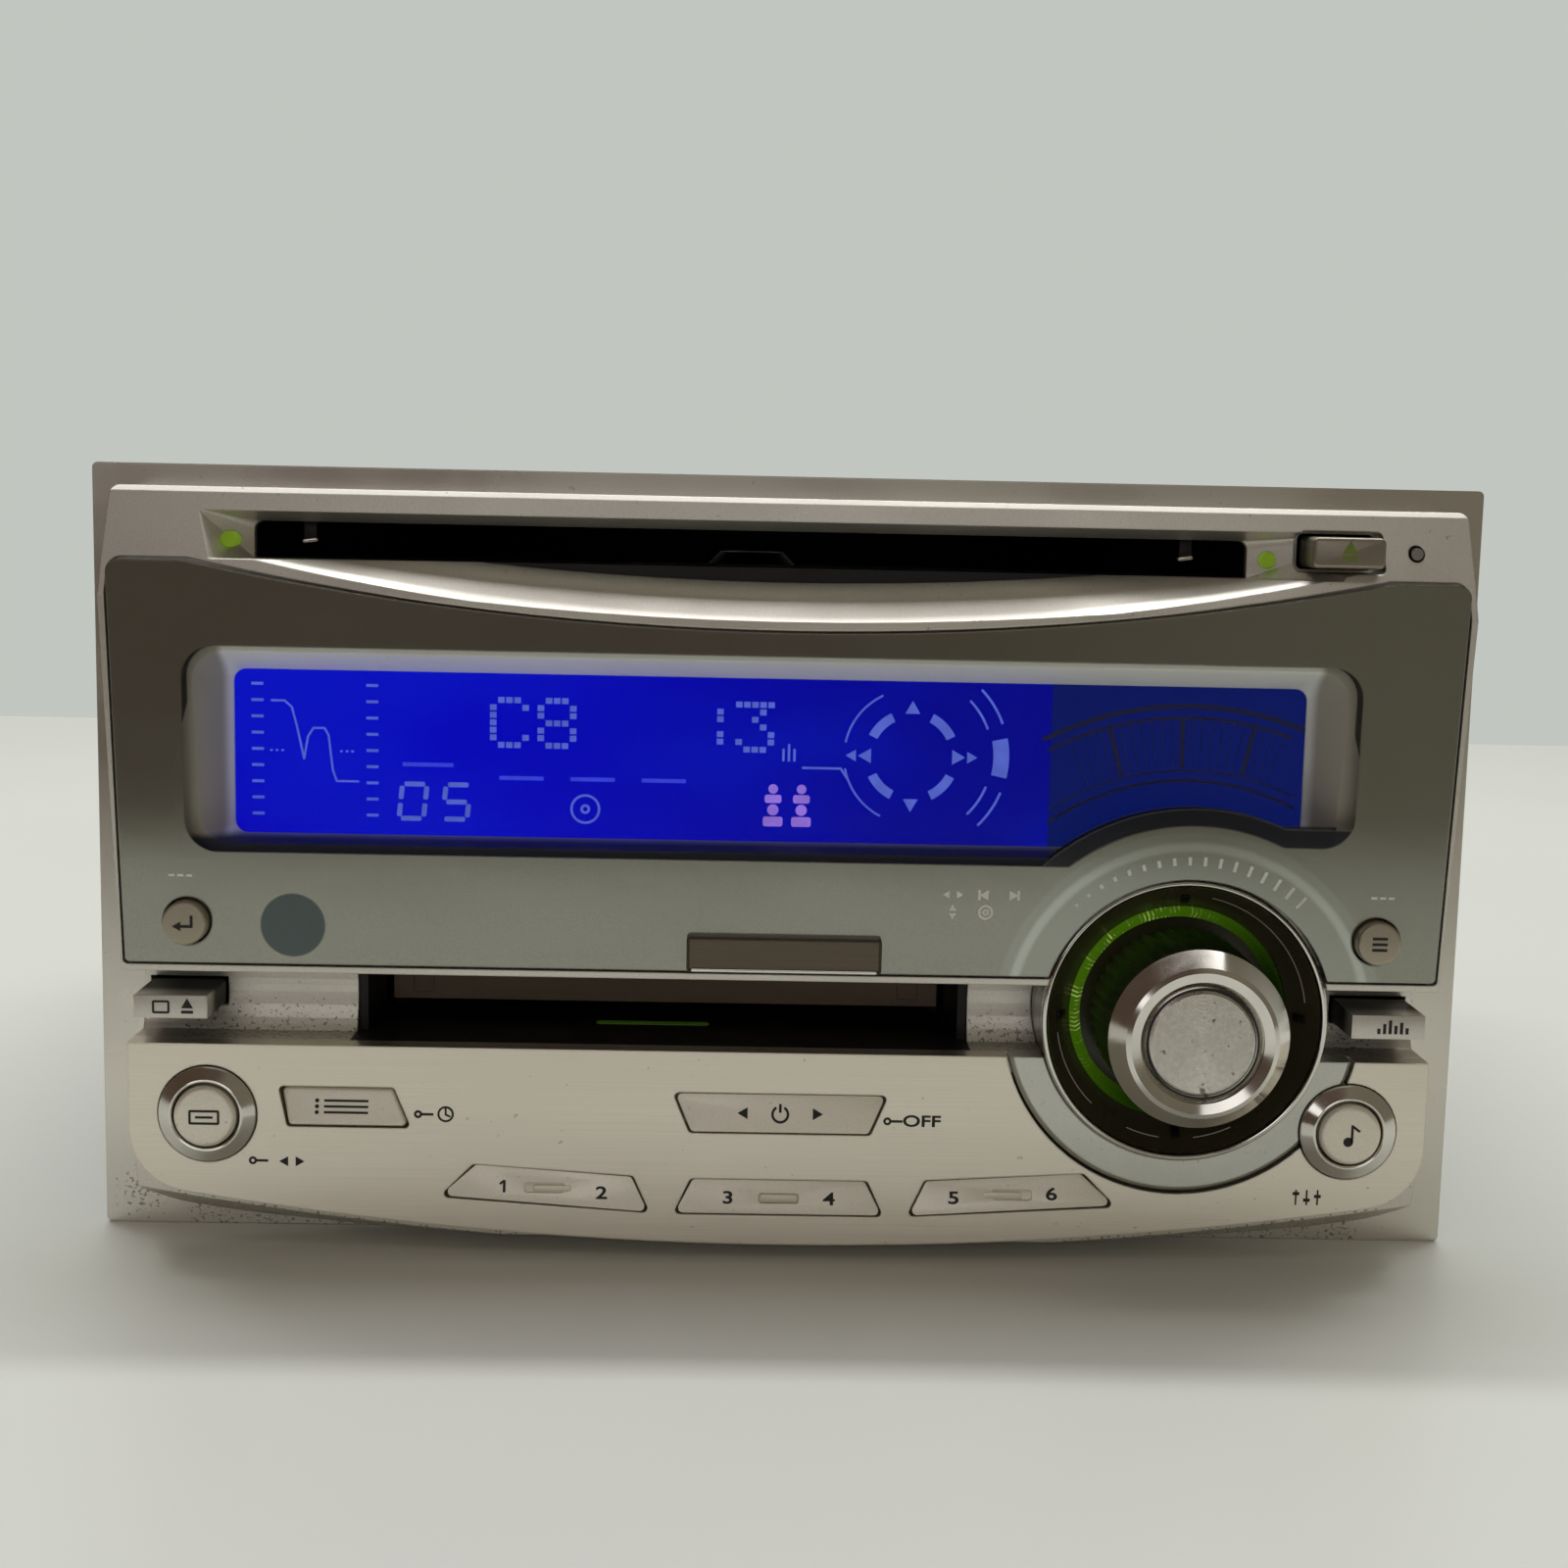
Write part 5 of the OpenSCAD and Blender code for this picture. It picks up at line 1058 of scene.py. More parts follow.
PALE_INK = Moulded("pale_print", "frame_pale", tone(244, 243, 236), grain=0.15, relief=0.1, dust=0.02)
RED = Moulded("red_plastic", "switch_black", tone(168, 30, 26), roughness=0.4)
WHITE = Moulded("white_plastic", "light_box", tone(222, 220, 212), roughness=0.4)
RUBBER = Moulded(
    "rubber", "grip_black", tone(11, 11, 12), roughness=0.7, grain=0.3, relief=0.25, dust=0.03,
)


class Bench:
    """Hand tools that start, shape and finish a piece with operators."""

    @staticmethod
    def pick(*pieces: Part) -> None:
        """Select only these pieces and make the first one active."""
        bpy.ops.object.select_all(action="DESELECT")
        for piece in pieces:
            piece.select_set(True)
        bpy.context.view_layer.objects.active = pieces[0]

    @staticmethod
    @contextmanager
    def editing(piece: Part, wanted: Callable[[Vector], bool] | None = None) -> Iterator[None]:
        """Edit mode on one piece.

        Args:
            piece: The piece to edit.
            wanted: Test of a face's middle, in millimetres; all faces are selected without it.

        Yields:
            Nothing; the faces are selected meanwhile.
        """
        Bench.pick(piece)
        mesh = piece.data
        for items in (mesh.vertices, mesh.edges):
            items.foreach_set("select", [wanted is None] * len(items))
        chosen = [wanted is None or wanted(face.center / MM) for face in mesh.polygons]
        mesh.polygons.foreach_set("select", chosen)
        bpy.ops.object.mode_set(mode="EDIT")
        bpy.ops.mesh.select_mode(type="FACE")
        yield
        bpy.ops.object.mode_set(mode="OBJECT")

    @staticmethod
    def apply(*pieces: Part) -> None:
        """Put the pieces' places into their meshes."""
        Bench.pick(*pieces)
        bpy.ops.object.transform_apply(location=True, rotation=True, scale=True)

    @staticmethod
    def settle(name: str) -> Part:
        """Name the newest piece and put its place into its mesh.

        Args:
            name: Name of the piece.

        Returns:
            The piece.
        """
        piece = bpy.context.active_object
        piece.name = name
        Bench.apply(piece)
        return piece

    @staticmethod
    def thicken(piece: Part, thick: float) -> Part:
        """Pull a flat piece forwards into a solid of that thickness.

        Args:
            piece: The flat piece.
            thick: Thickness.

        Returns:
            The same piece.
        """
        with Bench.editing(piece):
            bpy.ops.mesh.extrude_region_move(TRANSFORM_OT_translate={"value": (0, -thick * MM, 0)})
            bpy.ops.mesh.select_all(action="SELECT")
            bpy.ops.mesh.normals_make_consistent(inside=False)
        return piece

    @staticmethod
    def plate(name: str, width: float, height: float, round_r: float) -> Part:
        """Flat rectangle that faces the front, with round corners where a radius is given.

        Args:
            name: Name of the piece.
            width: Size along X.
            height: Size along Z.
            round_r: Radius of its corners.

        Returns:
            The rectangle in the plane y = 0.
        """
        bpy.ops.object.select_all(action="DESELECT")
        bpy.ops.mesh.primitive_plane_add(size=MM, rotation=FRONTWARD)
        bpy.context.active_object.scale = (width, height, 1)
        piece = Bench.settle(name)
        if round_r:
            with Bench.editing(piece):
                bpy.ops.mesh.select_mode(type="VERT")
                bpy.ops.mesh.bevel(offset=round_r * MM, segments=4, affect="VERTICES")
        return piece

    @staticmethod
    def circle(name: str, radius: float, sides: int) -> Part:
        """Flat regular plate that faces the front.

        Args:
            name: Name of the piece.
            radius: Distance of its corners from its middle.
            sides: Number of its sides.

        Returns:
            The plate in the plane y = 0.
        """
        bpy.ops.object.select_all(action="DESELECT")
        bpy.ops.mesh.primitive_circle_add(
            vertices=sides, radius=radius * MM, fill_type="NGON", rotation=FRONTWARD
        )
        return Bench.settle(name)

    @staticmethod
    def tile(name: str, width: float, height: float, thick: float = PRINT, round_r: float = 0.0) -> Part:
        """Flat bar that faces the front.

        Args:
            name: Name of the piece.
            width: Size along X.
            height: Size along Z.
            thick: Thickness in front of its back.
            round_r: Radius of its corners.

        Returns:
            The bar, with its back in the plane y = 0.
        """
        return Bench.thicken(Bench.plate(name, width, height, round_r), thick)

    @staticmethod
    def disc(name: str, radius: float, sides: int) -> Part:
        """Printed disc or regular plate that faces the front."""
        return Bench.thicken(Bench.circle(name, radius, sides), PRINT)

    @staticmethod
    def ring(name: str, outer: float, inner: float, thick: float = PRINT, sides: int = 64,
             span: tuple[float, float] | None = None) -> Part:
        """Ring or arc that faces the front.

        Args:
            name: Name of the piece.
            outer: Outer radius.
            inner: Inner radius.
            thick: Thickness in front of its back.
            sides: Number of sides of the whole ring.
            span: First and last angle of an arc in degrees, from +X towards +Z.

        Returns:
            The ring about the Y axis, with its back in the plane y = 0.
        """
        piece = Bench.circle(name, outer, sides)
        with Bench.editing(piece):
            bpy.ops.mesh.inset(thickness=(outer - inner) * MM)
            bpy.ops.mesh.delete(type="FACE")
        if span:
            def outside(middle: Vector) -> bool:
                """Whether a face lies outside the arc."""
                angle = math.degrees(math.atan2(middle.z, middle.x))
                return (angle - span[0]) % 360 > span[1] - span[0]

            with Bench.editing(piece, outside):
                bpy.ops.mesh.delete(type="FACE")
        return Bench.thicken(piece, thick)

    @staticmethod
    def outline(name: str, size: tuple[float, float], wall: float, thick: float, round_r: float) -> Part:
        """Rectangular outline that faces the front.

        Args:
            name: Name of the piece.
            size: Its width and height.
            wall: Width of its line.
            thick: Thickness in front of its back.
            round_r: Radius of its corners.

        Returns:
            The outline, with its back in the plane y = 0.
        """
        piece = Bench.plate(name, *size, round_r)
        with Bench.editing(piece):
            bpy.ops.mesh.inset(thickness=wall * MM)
            bpy.ops.mesh.delete(type="FACE")
        return Bench.thicken(piece, thick)

    @staticmethod
    def words(name: str, text: str, height: float, wide: float) -> Part:
        """Flat figures or letters that face the front.

        Args:
            name: Name of the piece.
            text: The figures or letters.
            height: Height of a capital.
            wide: Stretch along X.

        Returns:
            The text as a mesh, centred on the origin.
        """
        bpy.ops.object.select_all(action="DESELECT")
        bpy.ops.object.text_add(rotation=FRONTWARD)
        figures = bpy.context.active_object
        figures.data.body = text
        figures.data.size = height * MM / CAPITAL
        figures.data.extrude = PRINT * MM / 2
        figures.data.offset = BOLD * height * MM
        figures.data.align_x = "CENTER"
        figures.data.align_y = "CENTER"
        figures.scale = (wide, 1, 1)
        bpy.ops.object.convert(target="MESH")
        return Bench.settle(name)

    @staticmethod
    def place(piece: Part, x: float, d: float, z: float, turn: float = 0.0, lean: float = 0.0) -> Part:
        """Move a piece to its place.

        Args:
            piece: The piece, made about the origin.
            x: Place along X.
            d: Depth of its back.
            z: Place along Z.
            turn: Turn in degrees against the clock, as seen from the front.
            lean: Lean of its top towards the front in degrees.

        Returns:
            The piece, with its place in its mesh.
        """
        spin = Matrix.Rotation(math.radians(-turn), 4, "Y")
        tip = Matrix.Rotation(math.radians(lean), 4, "X")
        piece.matrix_world = Matrix.Translation(at(x, d, z)) @ tip @ spin
        Bench.apply(piece)
        return piece

    @staticmethod
    def copy(piece: Part, name: str) -> Part:
        """Copy of a piece with a mesh of its own.

        Args:
            piece: The piece.
            name: Name of the copy.

        Returns:
            The copy.
        """
        twin = piece.copy()
        twin.data = piece.data.copy()
        twin.name = name
        bpy.context.scene.collection.objects.link(twin)
        return twin

    @staticmethod
    def row(piece: Part, places: Sequence[tuple[float, ...]]) -> list[Part]:
        """A piece and its copies, each moved to one of the places."""
        parts = [Bench.copy(piece, f"{piece.name}_{i}") for i in range(1, len(places))]
        return [Bench.place(part, *spot) for part, spot in zip([piece, *parts], places)]

    @staticmethod
    def join(name: str, parts: Sequence[Part]) -> Part:
        """One piece made of several parts.

        Args:
            name: Name of the piece.
            parts: Its parts.

        Returns:
            The piece.
        """
        Bench.pick(*parts)
        if len(parts) > 1:
            bpy.ops.object.join()
        parts[0].name = name
        return parts[0]

    @staticmethod
    def soften(piece: Part, width: float, segments: int = 3) -> Part:
        """Round a piece's sharp edges and smooth its shading.

        Args:
            piece: The piece.
            width: Width of the rounded edges.
            segments: Number of steps across an edge.

        Returns:
            The same piece.
        """
        Bench.pick(piece)
        bevel = piece.modifiers.new("edges", "BEVEL")
        bevel.width = width * MM
        bevel.segments = segments
        bevel.limit_method = "ANGLE"
        bevel.angle_limit = SHARP
        bpy.ops.object.modifier_apply(modifier=bevel.name)
        bpy.ops.object.shade_smooth_by_angle(angle=SMOOTH)
        return piece

    @staticmethod
    def twin(node: str, name: str) -> Part:
        """Merged copy of a CAD node, ready to be shaped.

        Args:
            node: The CAD node.
            name: Name of the copy.

        Returns:
            The copy.
        """
        piece = Bench.copy(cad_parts[node], name)
        piece.parent = None
        for key in list(piece.keys()):
            del piece[key]
        with Bench.editing(piece):
            bpy.ops.mesh.remove_doubles(threshold=MERGE * MM)
            bpy.ops.mesh.dissolve_limited(angle_limit=FLAT)
        Bench.pick(piece)
        bpy.ops.mesh.customdata_custom_splitnormals_clear()
        return piece

    @staticmethod
    def fit(piece: Part, body: str, finish: Finish) -> Part:
        """Give a piece its finish and the body that it rides on.

        Args:
            piece: The piece.
            body: Name of the body.
            finish: The finish.

        Returns:
            The same piece.
        """
        piece.data.materials.clear()
        piece.data.materials.append(finish.material())
        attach(piece, body)
        LOG.info("piece %s rides %s in %s", piece.name, body, finish.name)
        return piece

    @staticmethod
    def fix(name: str, parts: Sequence[Part], finish: Finish) -> Part:
        """Join parts into one piece that stays with the chassis."""
        return Bench.fit(Bench.join(name, parts), Body.CHASSIS.value, finish)


@dataclass
class Assembly:
    """A sub-assembly: CAD nodes that keep their shape, and new pieces."""

    def finishes(self) -> dict[str, Finish]:
        """Finish of each CAD node that keeps its shape."""
        return {}

    def build(self) -> None:
        """Model the new pieces."""

    def dress(self) -> None:
        """Put the finishes on the CAD nodes."""
        for node, finish in self.finishes().items():
            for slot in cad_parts[node].material_slots:
                slot.material = finish.material()
            LOG.info("node %s in %s", node, finish.name)


@dataclass
class Key:
    """One key of the front.

    Attributes:
        node: Its CAD node.
        width: Width of its rounded edges.
        finish: Its finish.
    """

    node: str
    width: float = 0.35
    finish: Finish = KEY

    @property
    def body(self) -> str:
        """Body that the key moves with."""
        return f"{self.node}_body"

    @property
    def face(self) -> tuple[Vector, float]:
        """Middle of the key and the depth just in front of it."""
        return middle_of(self.node), front_of(self.node) + LIFT

    def build(self) -> None:
        """Model a copy of the key with rounded edges that stands for it."""
        piece = Bench.soften(Bench.twin(self.node, f"{self.node}_soft"), self.width)
        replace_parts(piece, self.node)
        Bench.fit(piece, self.body, self.finish)

    def mark(self, name: str, parts: Sequence[Part], finish: Finish = INK) -> None:
        """Join a mark's parts and let them ride on the key."""
        Bench.fit(Bench.join(name, parts), self.body, finish)


class Signs:
    """Plain signs for keys and panels, made flat about a place on a face."""

    @staticmethod
    def triangle(
        name: str, size: float, x: float, d: float, z: float, point: float = 90.0, lean: float = 0.0
    ) -> Part:
        """Triangle that points at an angle from +X towards +Z."""
        return Bench.place(Bench.disc(name, size / math.sqrt(3), 3), x, d, z, point - 90.0, lean)

    @staticmethod
    def eject(name: str, size: float, x: float, d: float, z: float) -> list[Part]:
        """Triangle over a bar.

        Args:
            name: Start of its parts' names.
            size: Width of the sign.
            x: Place along X.
            d: Depth of its back.
            z: Place along Z.

        Returns:
            The parts.
        """
        bar = Bench.tile(f"{name}_bar", size, size * 0.26)
        head = Signs.triangle(f"{name}_head", size, x, d, z + size * 0.2)
        return [head, Bench.place(bar, x, d, z - size * 0.42)]

    @staticmethod
    def hold(name: str, x: float, d: float, z: float) -> list[Part]:
        """Dot and dash for a long press.

        Args:
            name: Start of its parts' names.
            x: Place along X.
            d: Depth of its back.
            z: Place along Z.

        Returns:
            The parts.
        """
        dot = Bench.ring(f"{name}_dot", 0.52, 0.22, sides=24)
        dash = Bench.tile(f"{name}_dash", 1.5, 0.32)
        return [Bench.place(dot, x - 0.7, d, z), Bench.place(dash, x + 0.5, d, z)]

    @staticmethod
    def bars(
        heights: Sequence[float], pitch: float, width: float, x: float, d: float, z: float
    ) -> list[Part]:
        """Row of upright bars on one foot line.

        Args:
            heights: Height of each bar.
            pitch: Distance between bars.
            width: Width of a bar.
            x: Middle of the row.
            d: Depth of its back.
            z: Height of the foot line.

        Returns:
            The bars.
        """
        first = x - pitch * (len(heights) - 1) / 2
        return [
            Bench.place(Bench.tile("bar", width, height), first + pitch * i, d, z + height / 2)
            for i, height in enumerate(heights)
        ]

    @staticmethod
    def path(name: str, points: Sequence[tuple[float, float]], weight: float, d: float) -> list[Part]:
        """Line of bars through points given as x and z.

        Args:
            name: Start of the bars' names.
            points: The points, each as x and z.
            weight: Width of the line.
            d: Depth of its back.

        Returns:
            The bars, each a little in front of the one before.
        """
        parts = []
        for i, (a, b) in enumerate(zip(points, points[1:])):
            run, rise = b[0] - a[0], b[1] - a[1]
            bar = Bench.tile(f"{name}_{i}", math.hypot(run, rise) + weight * 0.7, weight)
            turn = math.degrees(math.atan2(rise, run))
            parts.append(Bench.place(bar, (a[0] + b[0]) / 2, d + LIFT * 0.2 * i, (a[1] + b[1]) / 2, turn))
        return parts


@dataclass
class Housing(Assembly):
    """Flange and moulded front."""

    def finishes(self) -> dict[str, Finish]:
        """Finish of the flange and the front."""
        return {"flange_plate": FLANGE, "front_bezel": SATIN}


@dataclass
class DiscSlot(Assembly):
    """Disc slot with its lamps, eject key and reset pin.

    Attributes:
        peg_x: Places of the guide pegs.
        peg_z: Height of the pegs' tips.
        roof_z: Height of the slot's roof.
        peg_depth: How far the pegs' backs stand behind the slot's front.
        sign: Size of the eject sign.
    """

    peg_x: tuple[float, float] = (-60.7, 50.1)
    peg_z: float = 90.7
    roof_z: float = 93.1
    peg_depth: float = 3.4
    sign: float = 1.9

    def finishes(self) -> dict[str, Finish]:
        """Finish of the slot's nodes."""
        return {"disc_slot_liner": SLOT, "slot_lamps": LAMP, "reset_pin": ROD}

    def build(self) -> None:
        """Model the eject key, its lit sign and the slot's guide pegs."""
        key = Key("disc_eject_key", 0.45, SHADED_DISC_KEY)
        key.build()
        spot, d = key.face
        key.mark("disc_eject_sign", Signs.eject("eject", self.sign, spot.x, d, spot.z + 0.1), SIGN_GREEN)
        d = front_of("disc_slot_liner") - self.peg_depth
        rise = self.roof_z - self.peg_z
        post = Bench.soften(Bench.tile("disc_guide_pegs", 1.6, rise, 1.2, 0.3), 0.1, 2)
        posts = Bench.row(post, [(x, d, self.peg_z + rise / 2) for x in self.peg_x])
        Bench.fix("disc_guide_pegs", posts, SLOT)
        tip = Bench.soften(Bench.tile("disc_guide_tips", 2.1, 0.8, 1.5, 0.35), 0.3)
        Bench.fix("disc_guide_tips", Bench.row(tip, [(x, d, self.peg_z, 8.0) for x in self.peg_x]), TRIM)


@dataclass
class DisplayUnit(Assembly):
    """Window, lit display, badge plate, sensor and the two window keys.

    Attributes:
        lean: Lean of the window's top towards the front in degrees.
        rake: How far the window's top stands in front of its foot.
        rim: How far the frame's rim is drawn out under the window's coat.
        sign_z: Heights of the window's upper and lower row of signs.
        level_r: Radius of the row of level marks about the rotary control.
        ring: Middle of the display's ring of arrows, x and z.
        scale_r: Radius of the middle of the display's scale.
    """

    lean: float = 2.29
    rake: float = 2.0
    rim: float = 0.8
    sign_z: tuple[float, float] = (48.6, 46.4)
    level_r: float = 20.9
    ring: tuple[float, float] = (15.75, 65.1)
    scale_r: float = 35.1

    def finishes(self) -> dict[str, Finish]:
        """Finish of the display's nodes."""
        return {
            "display_window": PANE, "lcd_panel": SCREEN, "lcd_backlight": LIGHT_BOX,
            "badge_plate": BADGE, "remote_sensor": SENSOR,
        }

    def pane_d(self, z: float) -> float:
        """Depth just in front of the window at a height.

        Args:
            z: Place along Z.

        Returns:
            The depth.
        """
        low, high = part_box("display_window")
        share = (z - low.z / MM) / ((high.z - low.z) / MM)
        return front_of("display_window") - self.rake * (1 - share) + LIFT

    @property
    def screen_d(self) -> float:
        """Depth just in front of the lit panel."""
        return front_of("lcd_panel") + LIFT

    def build(self) -> None:
        """Model the frame, the keys, the prints, the badge's rim and the display's figures."""
        self.tray()
        self.keys()
        self.prints()
        self.badge()
        self.figures()
        self.scale()

    def tray(self) -> None:
        """Round the display's frame, with its rim drawn out under the window's coat."""
        piece = Bench.twin("display_frame", "display_frame_soft")
        for axis in (0, 2):
            for sign, edge in ((-1, FRAME_LOW), (1, FRAME_HIGH)):
                shift = [0.0, 0.0, 0.0]
                shift[axis] = sign * self.rim * MM

                def on_edge(point: Vector, axis: int = axis, limit: float = edge[axis] / MM) -> bool:
                    """Whether a face lies on that side of the rim."""
                    return abs(point[axis] - limit) < 0.05

                with Bench.editing(piece, on_edge):
                    bpy.ops.transform.translate(value=shift)
        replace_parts(Bench.soften(piece, 0.4), "display_frame")
        Bench.fit(piece, Body.CHASSIS.value, PALE)

    def keys(self) -> None:
        """Round the window keys and give each a sign."""
        enter, menu = Key("enter_key", 0.4, SHADED_WINDOW_KEY), Key("function_key", 0.4, SHADED_WINDOW_KEY)
        for key in (enter, menu):
            key.build()
        spot, d = enter.face
        x, z = spot.x + 0.95, spot.z - 0.35
        bend = [(x, spot.z + 0.9), (x, z), (spot.x - 0.5, z)]
        head = Signs.triangle("enter_head", 1.2, spot.x - 0.75, d, z, 180.0)
        enter.mark("enter_sign", [head, *Signs.path("enter_bend", bend, 0.36, d)])
        spot, d = menu.face
        rows = [(spot.x, d, spot.z + rise) for rise in (0.72, 0.0, -0.72)]
        menu.mark("function_sign", Bench.row(Bench.tile("menu_line", 1.9, 0.36), rows))

    def prints(self) -> None:
        """Model the pale signs on the window."""
        upper, lower = self.sign_z
        parts: list[Part] = []
        for size, x, z, rise, way in (
            (0.95, 20.2, upper, 0.0, 180.0), (0.95, 21.7, upper, 0.0, 0.0),
            (0.95, 20.95, lower, 0.42, 90.0), (0.95, 20.95, lower, -0.42, 270.0),
            (1.3, 25.0, upper, 0.0, 180.0), (1.3, 28.4, upper, 0.0, 0.0),
        ):
            parts.append(Signs.triangle("way", size, x, self.pane_d(z), z + rise, way, self.lean))
        rims = [Bench.ring("disc_rim", 0.95, 0.68, sides=36), Bench.ring("disc_hole", 0.42, 0.2, sides=20)]
        parts += [Bench.place(rim, 25.1, self.pane_d(lower), lower, 0.0, self.lean) for rim in rims]
        for bar, places in (
            (Bench.tile("skip_bar", 0.3, 1.3), [(x, upper) for x in (24.25, 29.15)]),
            (Bench.tile("enter_dash", 0.75, 0.3), [(-76.2 + 1.1 * i, 49.3) for i in range(3)]),
            (Bench.tile("menu_dash", 0.75, 0.3), [(73.8 + 1.1 * i, 49.1) for i in range(3)]),
        ):
            parts += Bench.row(bar, [(x, self.pane_d(z), z, 0.0, self.lean) for x, z in places])
        for i in range(17):
            angle = 134 - 5.3 * i
            x = KNOB_AT.x + self.level_r * math.cos(math.radians(angle))
            z = KNOB_AT.z + self.level_r * math.sin(math.radians(angle))
            tick = Bench.tile(f"level_{i}", 0.35 + 0.09 * i, 0.42)
            parts.append(Bench.place(tick, x, self.pane_d(z), z, angle, self.lean))
        Bench.fix("window_signs", parts, PALE_INK)

    def badge(self) -> None:
        """Model the badge plate's dark rim and its bright foot."""
        low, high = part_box("badge_plate")
        spot = middle_of("badge_plate")
        width, height = (high.x - low.x) / MM, (high.z - low.z) / MM
        rim = Bench.outline("badge_rim", (width - 0.04, height - 0.04), 0.34, 0.2, 0.45)
        d = self.pane_d(spot.z) + 1.1
        Bench.place(Bench.soften(rim, 0.08, 2), spot.x, d, spot.z, 0.0, self.lean)
        Bench.fix("badge_rim", [rim], DARK_TRIM)
        foot = Bench.soften(Bench.tile("badge_foot", width - 1.2, 0.4, 0.26, 0.12), 0.09, 2)
        drop = height / 2 - 0.26
        d -= drop * math.sin(math.radians(self.lean))
        Bench.fix("badge_foot", [Bench.place(foot, spot.x, d, spot.z - drop, 0.0, self.lean)], TRIM)

    @staticmethod
    def digit(name: str, lit: str, x: float, z: float, d: float) -> list[Part]:
        """Seven-bar figure.

        Args:
            name: Start of its parts' names.
            lit: Letters a to g of the lit bars.
            x: Middle of the figure.
            z: Middle of the figure.
            d: Depth of its back.

        Returns:
            The bars.
        """
        wide, tall, weight, slant = 3.1, 4.4, 0.62, 6.0
        shift = math.tan(math.radians(slant)) * tall / 4
        spots = {}
        for letter, up in (("a", 1), ("g", 0), ("d", -1)):
            spots[letter] = (x + up * 2 * shift, z + up * tall / 2, 0.0)
        for letter, side, up in (("b", 1, 1), ("c", 1, -1), ("f", -1, 1), ("e", -1, -1)):
            spots[letter] = (x + side * wide / 2 + up * shift, z + up * tall / 4, 90.0 - slant)
        parts = []
        for letter in lit:
            bar_x, bar_z, turn = spots[letter]
            length = (wide if turn == 0.0 else tall / 2) - 0.5
            bar = Bench.tile(f"{name}_{letter}", length, weight, PRINT, weight * 0.32)
            parts.append(Bench.place(bar, bar_x, d, bar_z, turn))
        return parts

    def figures(self) -> None:
        """Model the display's lit figures."""
        d = self.screen_d
        parts: list[Part] = []
        for name, x in (("left", -66.8), ("right", -52.4)):
            tick = Bench.tile(f"{name}_ticks", 1.5, 0.36)
            parts += Bench.row(tick, [(x, d, 72.8 - 2.06 * i) for i in range(9)])
        curve = [(-65.0, 70.7), (-63.4, 70.7), (-62.5, 69.9), (-61.9, 67.6), (-61.0, 63.4), (-60.5, 66.2),
                 (-59.8, 67.3), (-58.4, 67.3), (-57.9, 66.4), (-57.4, 62.0), (-56.9, 60.6), (-54.2, 60.6)]
        parts += Signs.path("curve", curve, 0.26, d)
        dot = Bench.tile("middle_dots", 0.32, 0.26)
        parts += Bench.row(dot, [(x, d, 64.4) for x in (-65.1, -64.4, -63.7, -56.3, -55.6, -54.9)])
        parts += self.digit("tens", "abcdef", -47.3, 58.2, d) + self.digit("ones", "afgcd", -41.8, 58.2, d)
        parts += self.dots()
        rims = [Bench.ring("play_rim", 1.9, 1.6, sides=40), Bench.ring("play_hole", 0.62, 0.3, sides=24)]
        parts += [Bench.place(rim, -25.5, d, 57.6) for rim in rims]
        parts += self.compass()
        faint = [Bench.place(Bench.tile("small_bar", 6.4, 0.5), -45.4, d, 62.9)]
        faint += Bench.row(Bench.tile("mode_bars", 5.6, 0.5), [(x, d, 61.4) for x in (-33.6, -24.6, -15.6)])
        Bench.fix("display_bars", faint, FIGURE_FAINT)
        Bench.fix("display_figures", parts, FIGURE)
        self.seats()

    def seats(self) -> None:
        """Model the display's four seats."""
        d = self.screen_d
        parts: list[Part] = []
        for x in (-1.7, 1.9):
            for z, size in ((60.0, 0.85), (57.2, 1.0)):
                head = Bench.disc("seat_head", 0.72 * size, 24)
                back = Bench.tile("seat_back", 2.5 * size, 1.25 * size, PRINT, 0.3)
                lift = 0.75 * size
                parts += [Bench.place(head, x, d, z + lift), Bench.place(back, x, d, z - lift)]
        Bench.fix("display_seats", parts, FIGURE_WARM)

    def dots(self) -> list[Part]:
        """Dotted figures of five by seven dots.

        Returns:
            The dots.
        """
        rows = {
            -37.2: ("01110", "10001", "10000", "10000", "10000", "10001", "01110"),
            -31.2: ("01110", "10001", "10001", "01110", "10001", "10001", "01110"),
            -10.6: ("00000", "00100", "00100", "00000", "00100", "00100", "00000"),
            -6.2: ("11111", "00010", "00100", "00010", "00001", "10001", "01110"),
        }
        spots = [
            (x + 1.02 * j, self.screen_d, 71.3 - 0.95 * i)
            for x, lines in rows.items()
            for i, line in enumerate(lines)
            for j, lit in enumerate(line)
            if lit == "1"
        ]
        return Bench.row(Bench.tile("dots", 0.82, 0.74), spots)

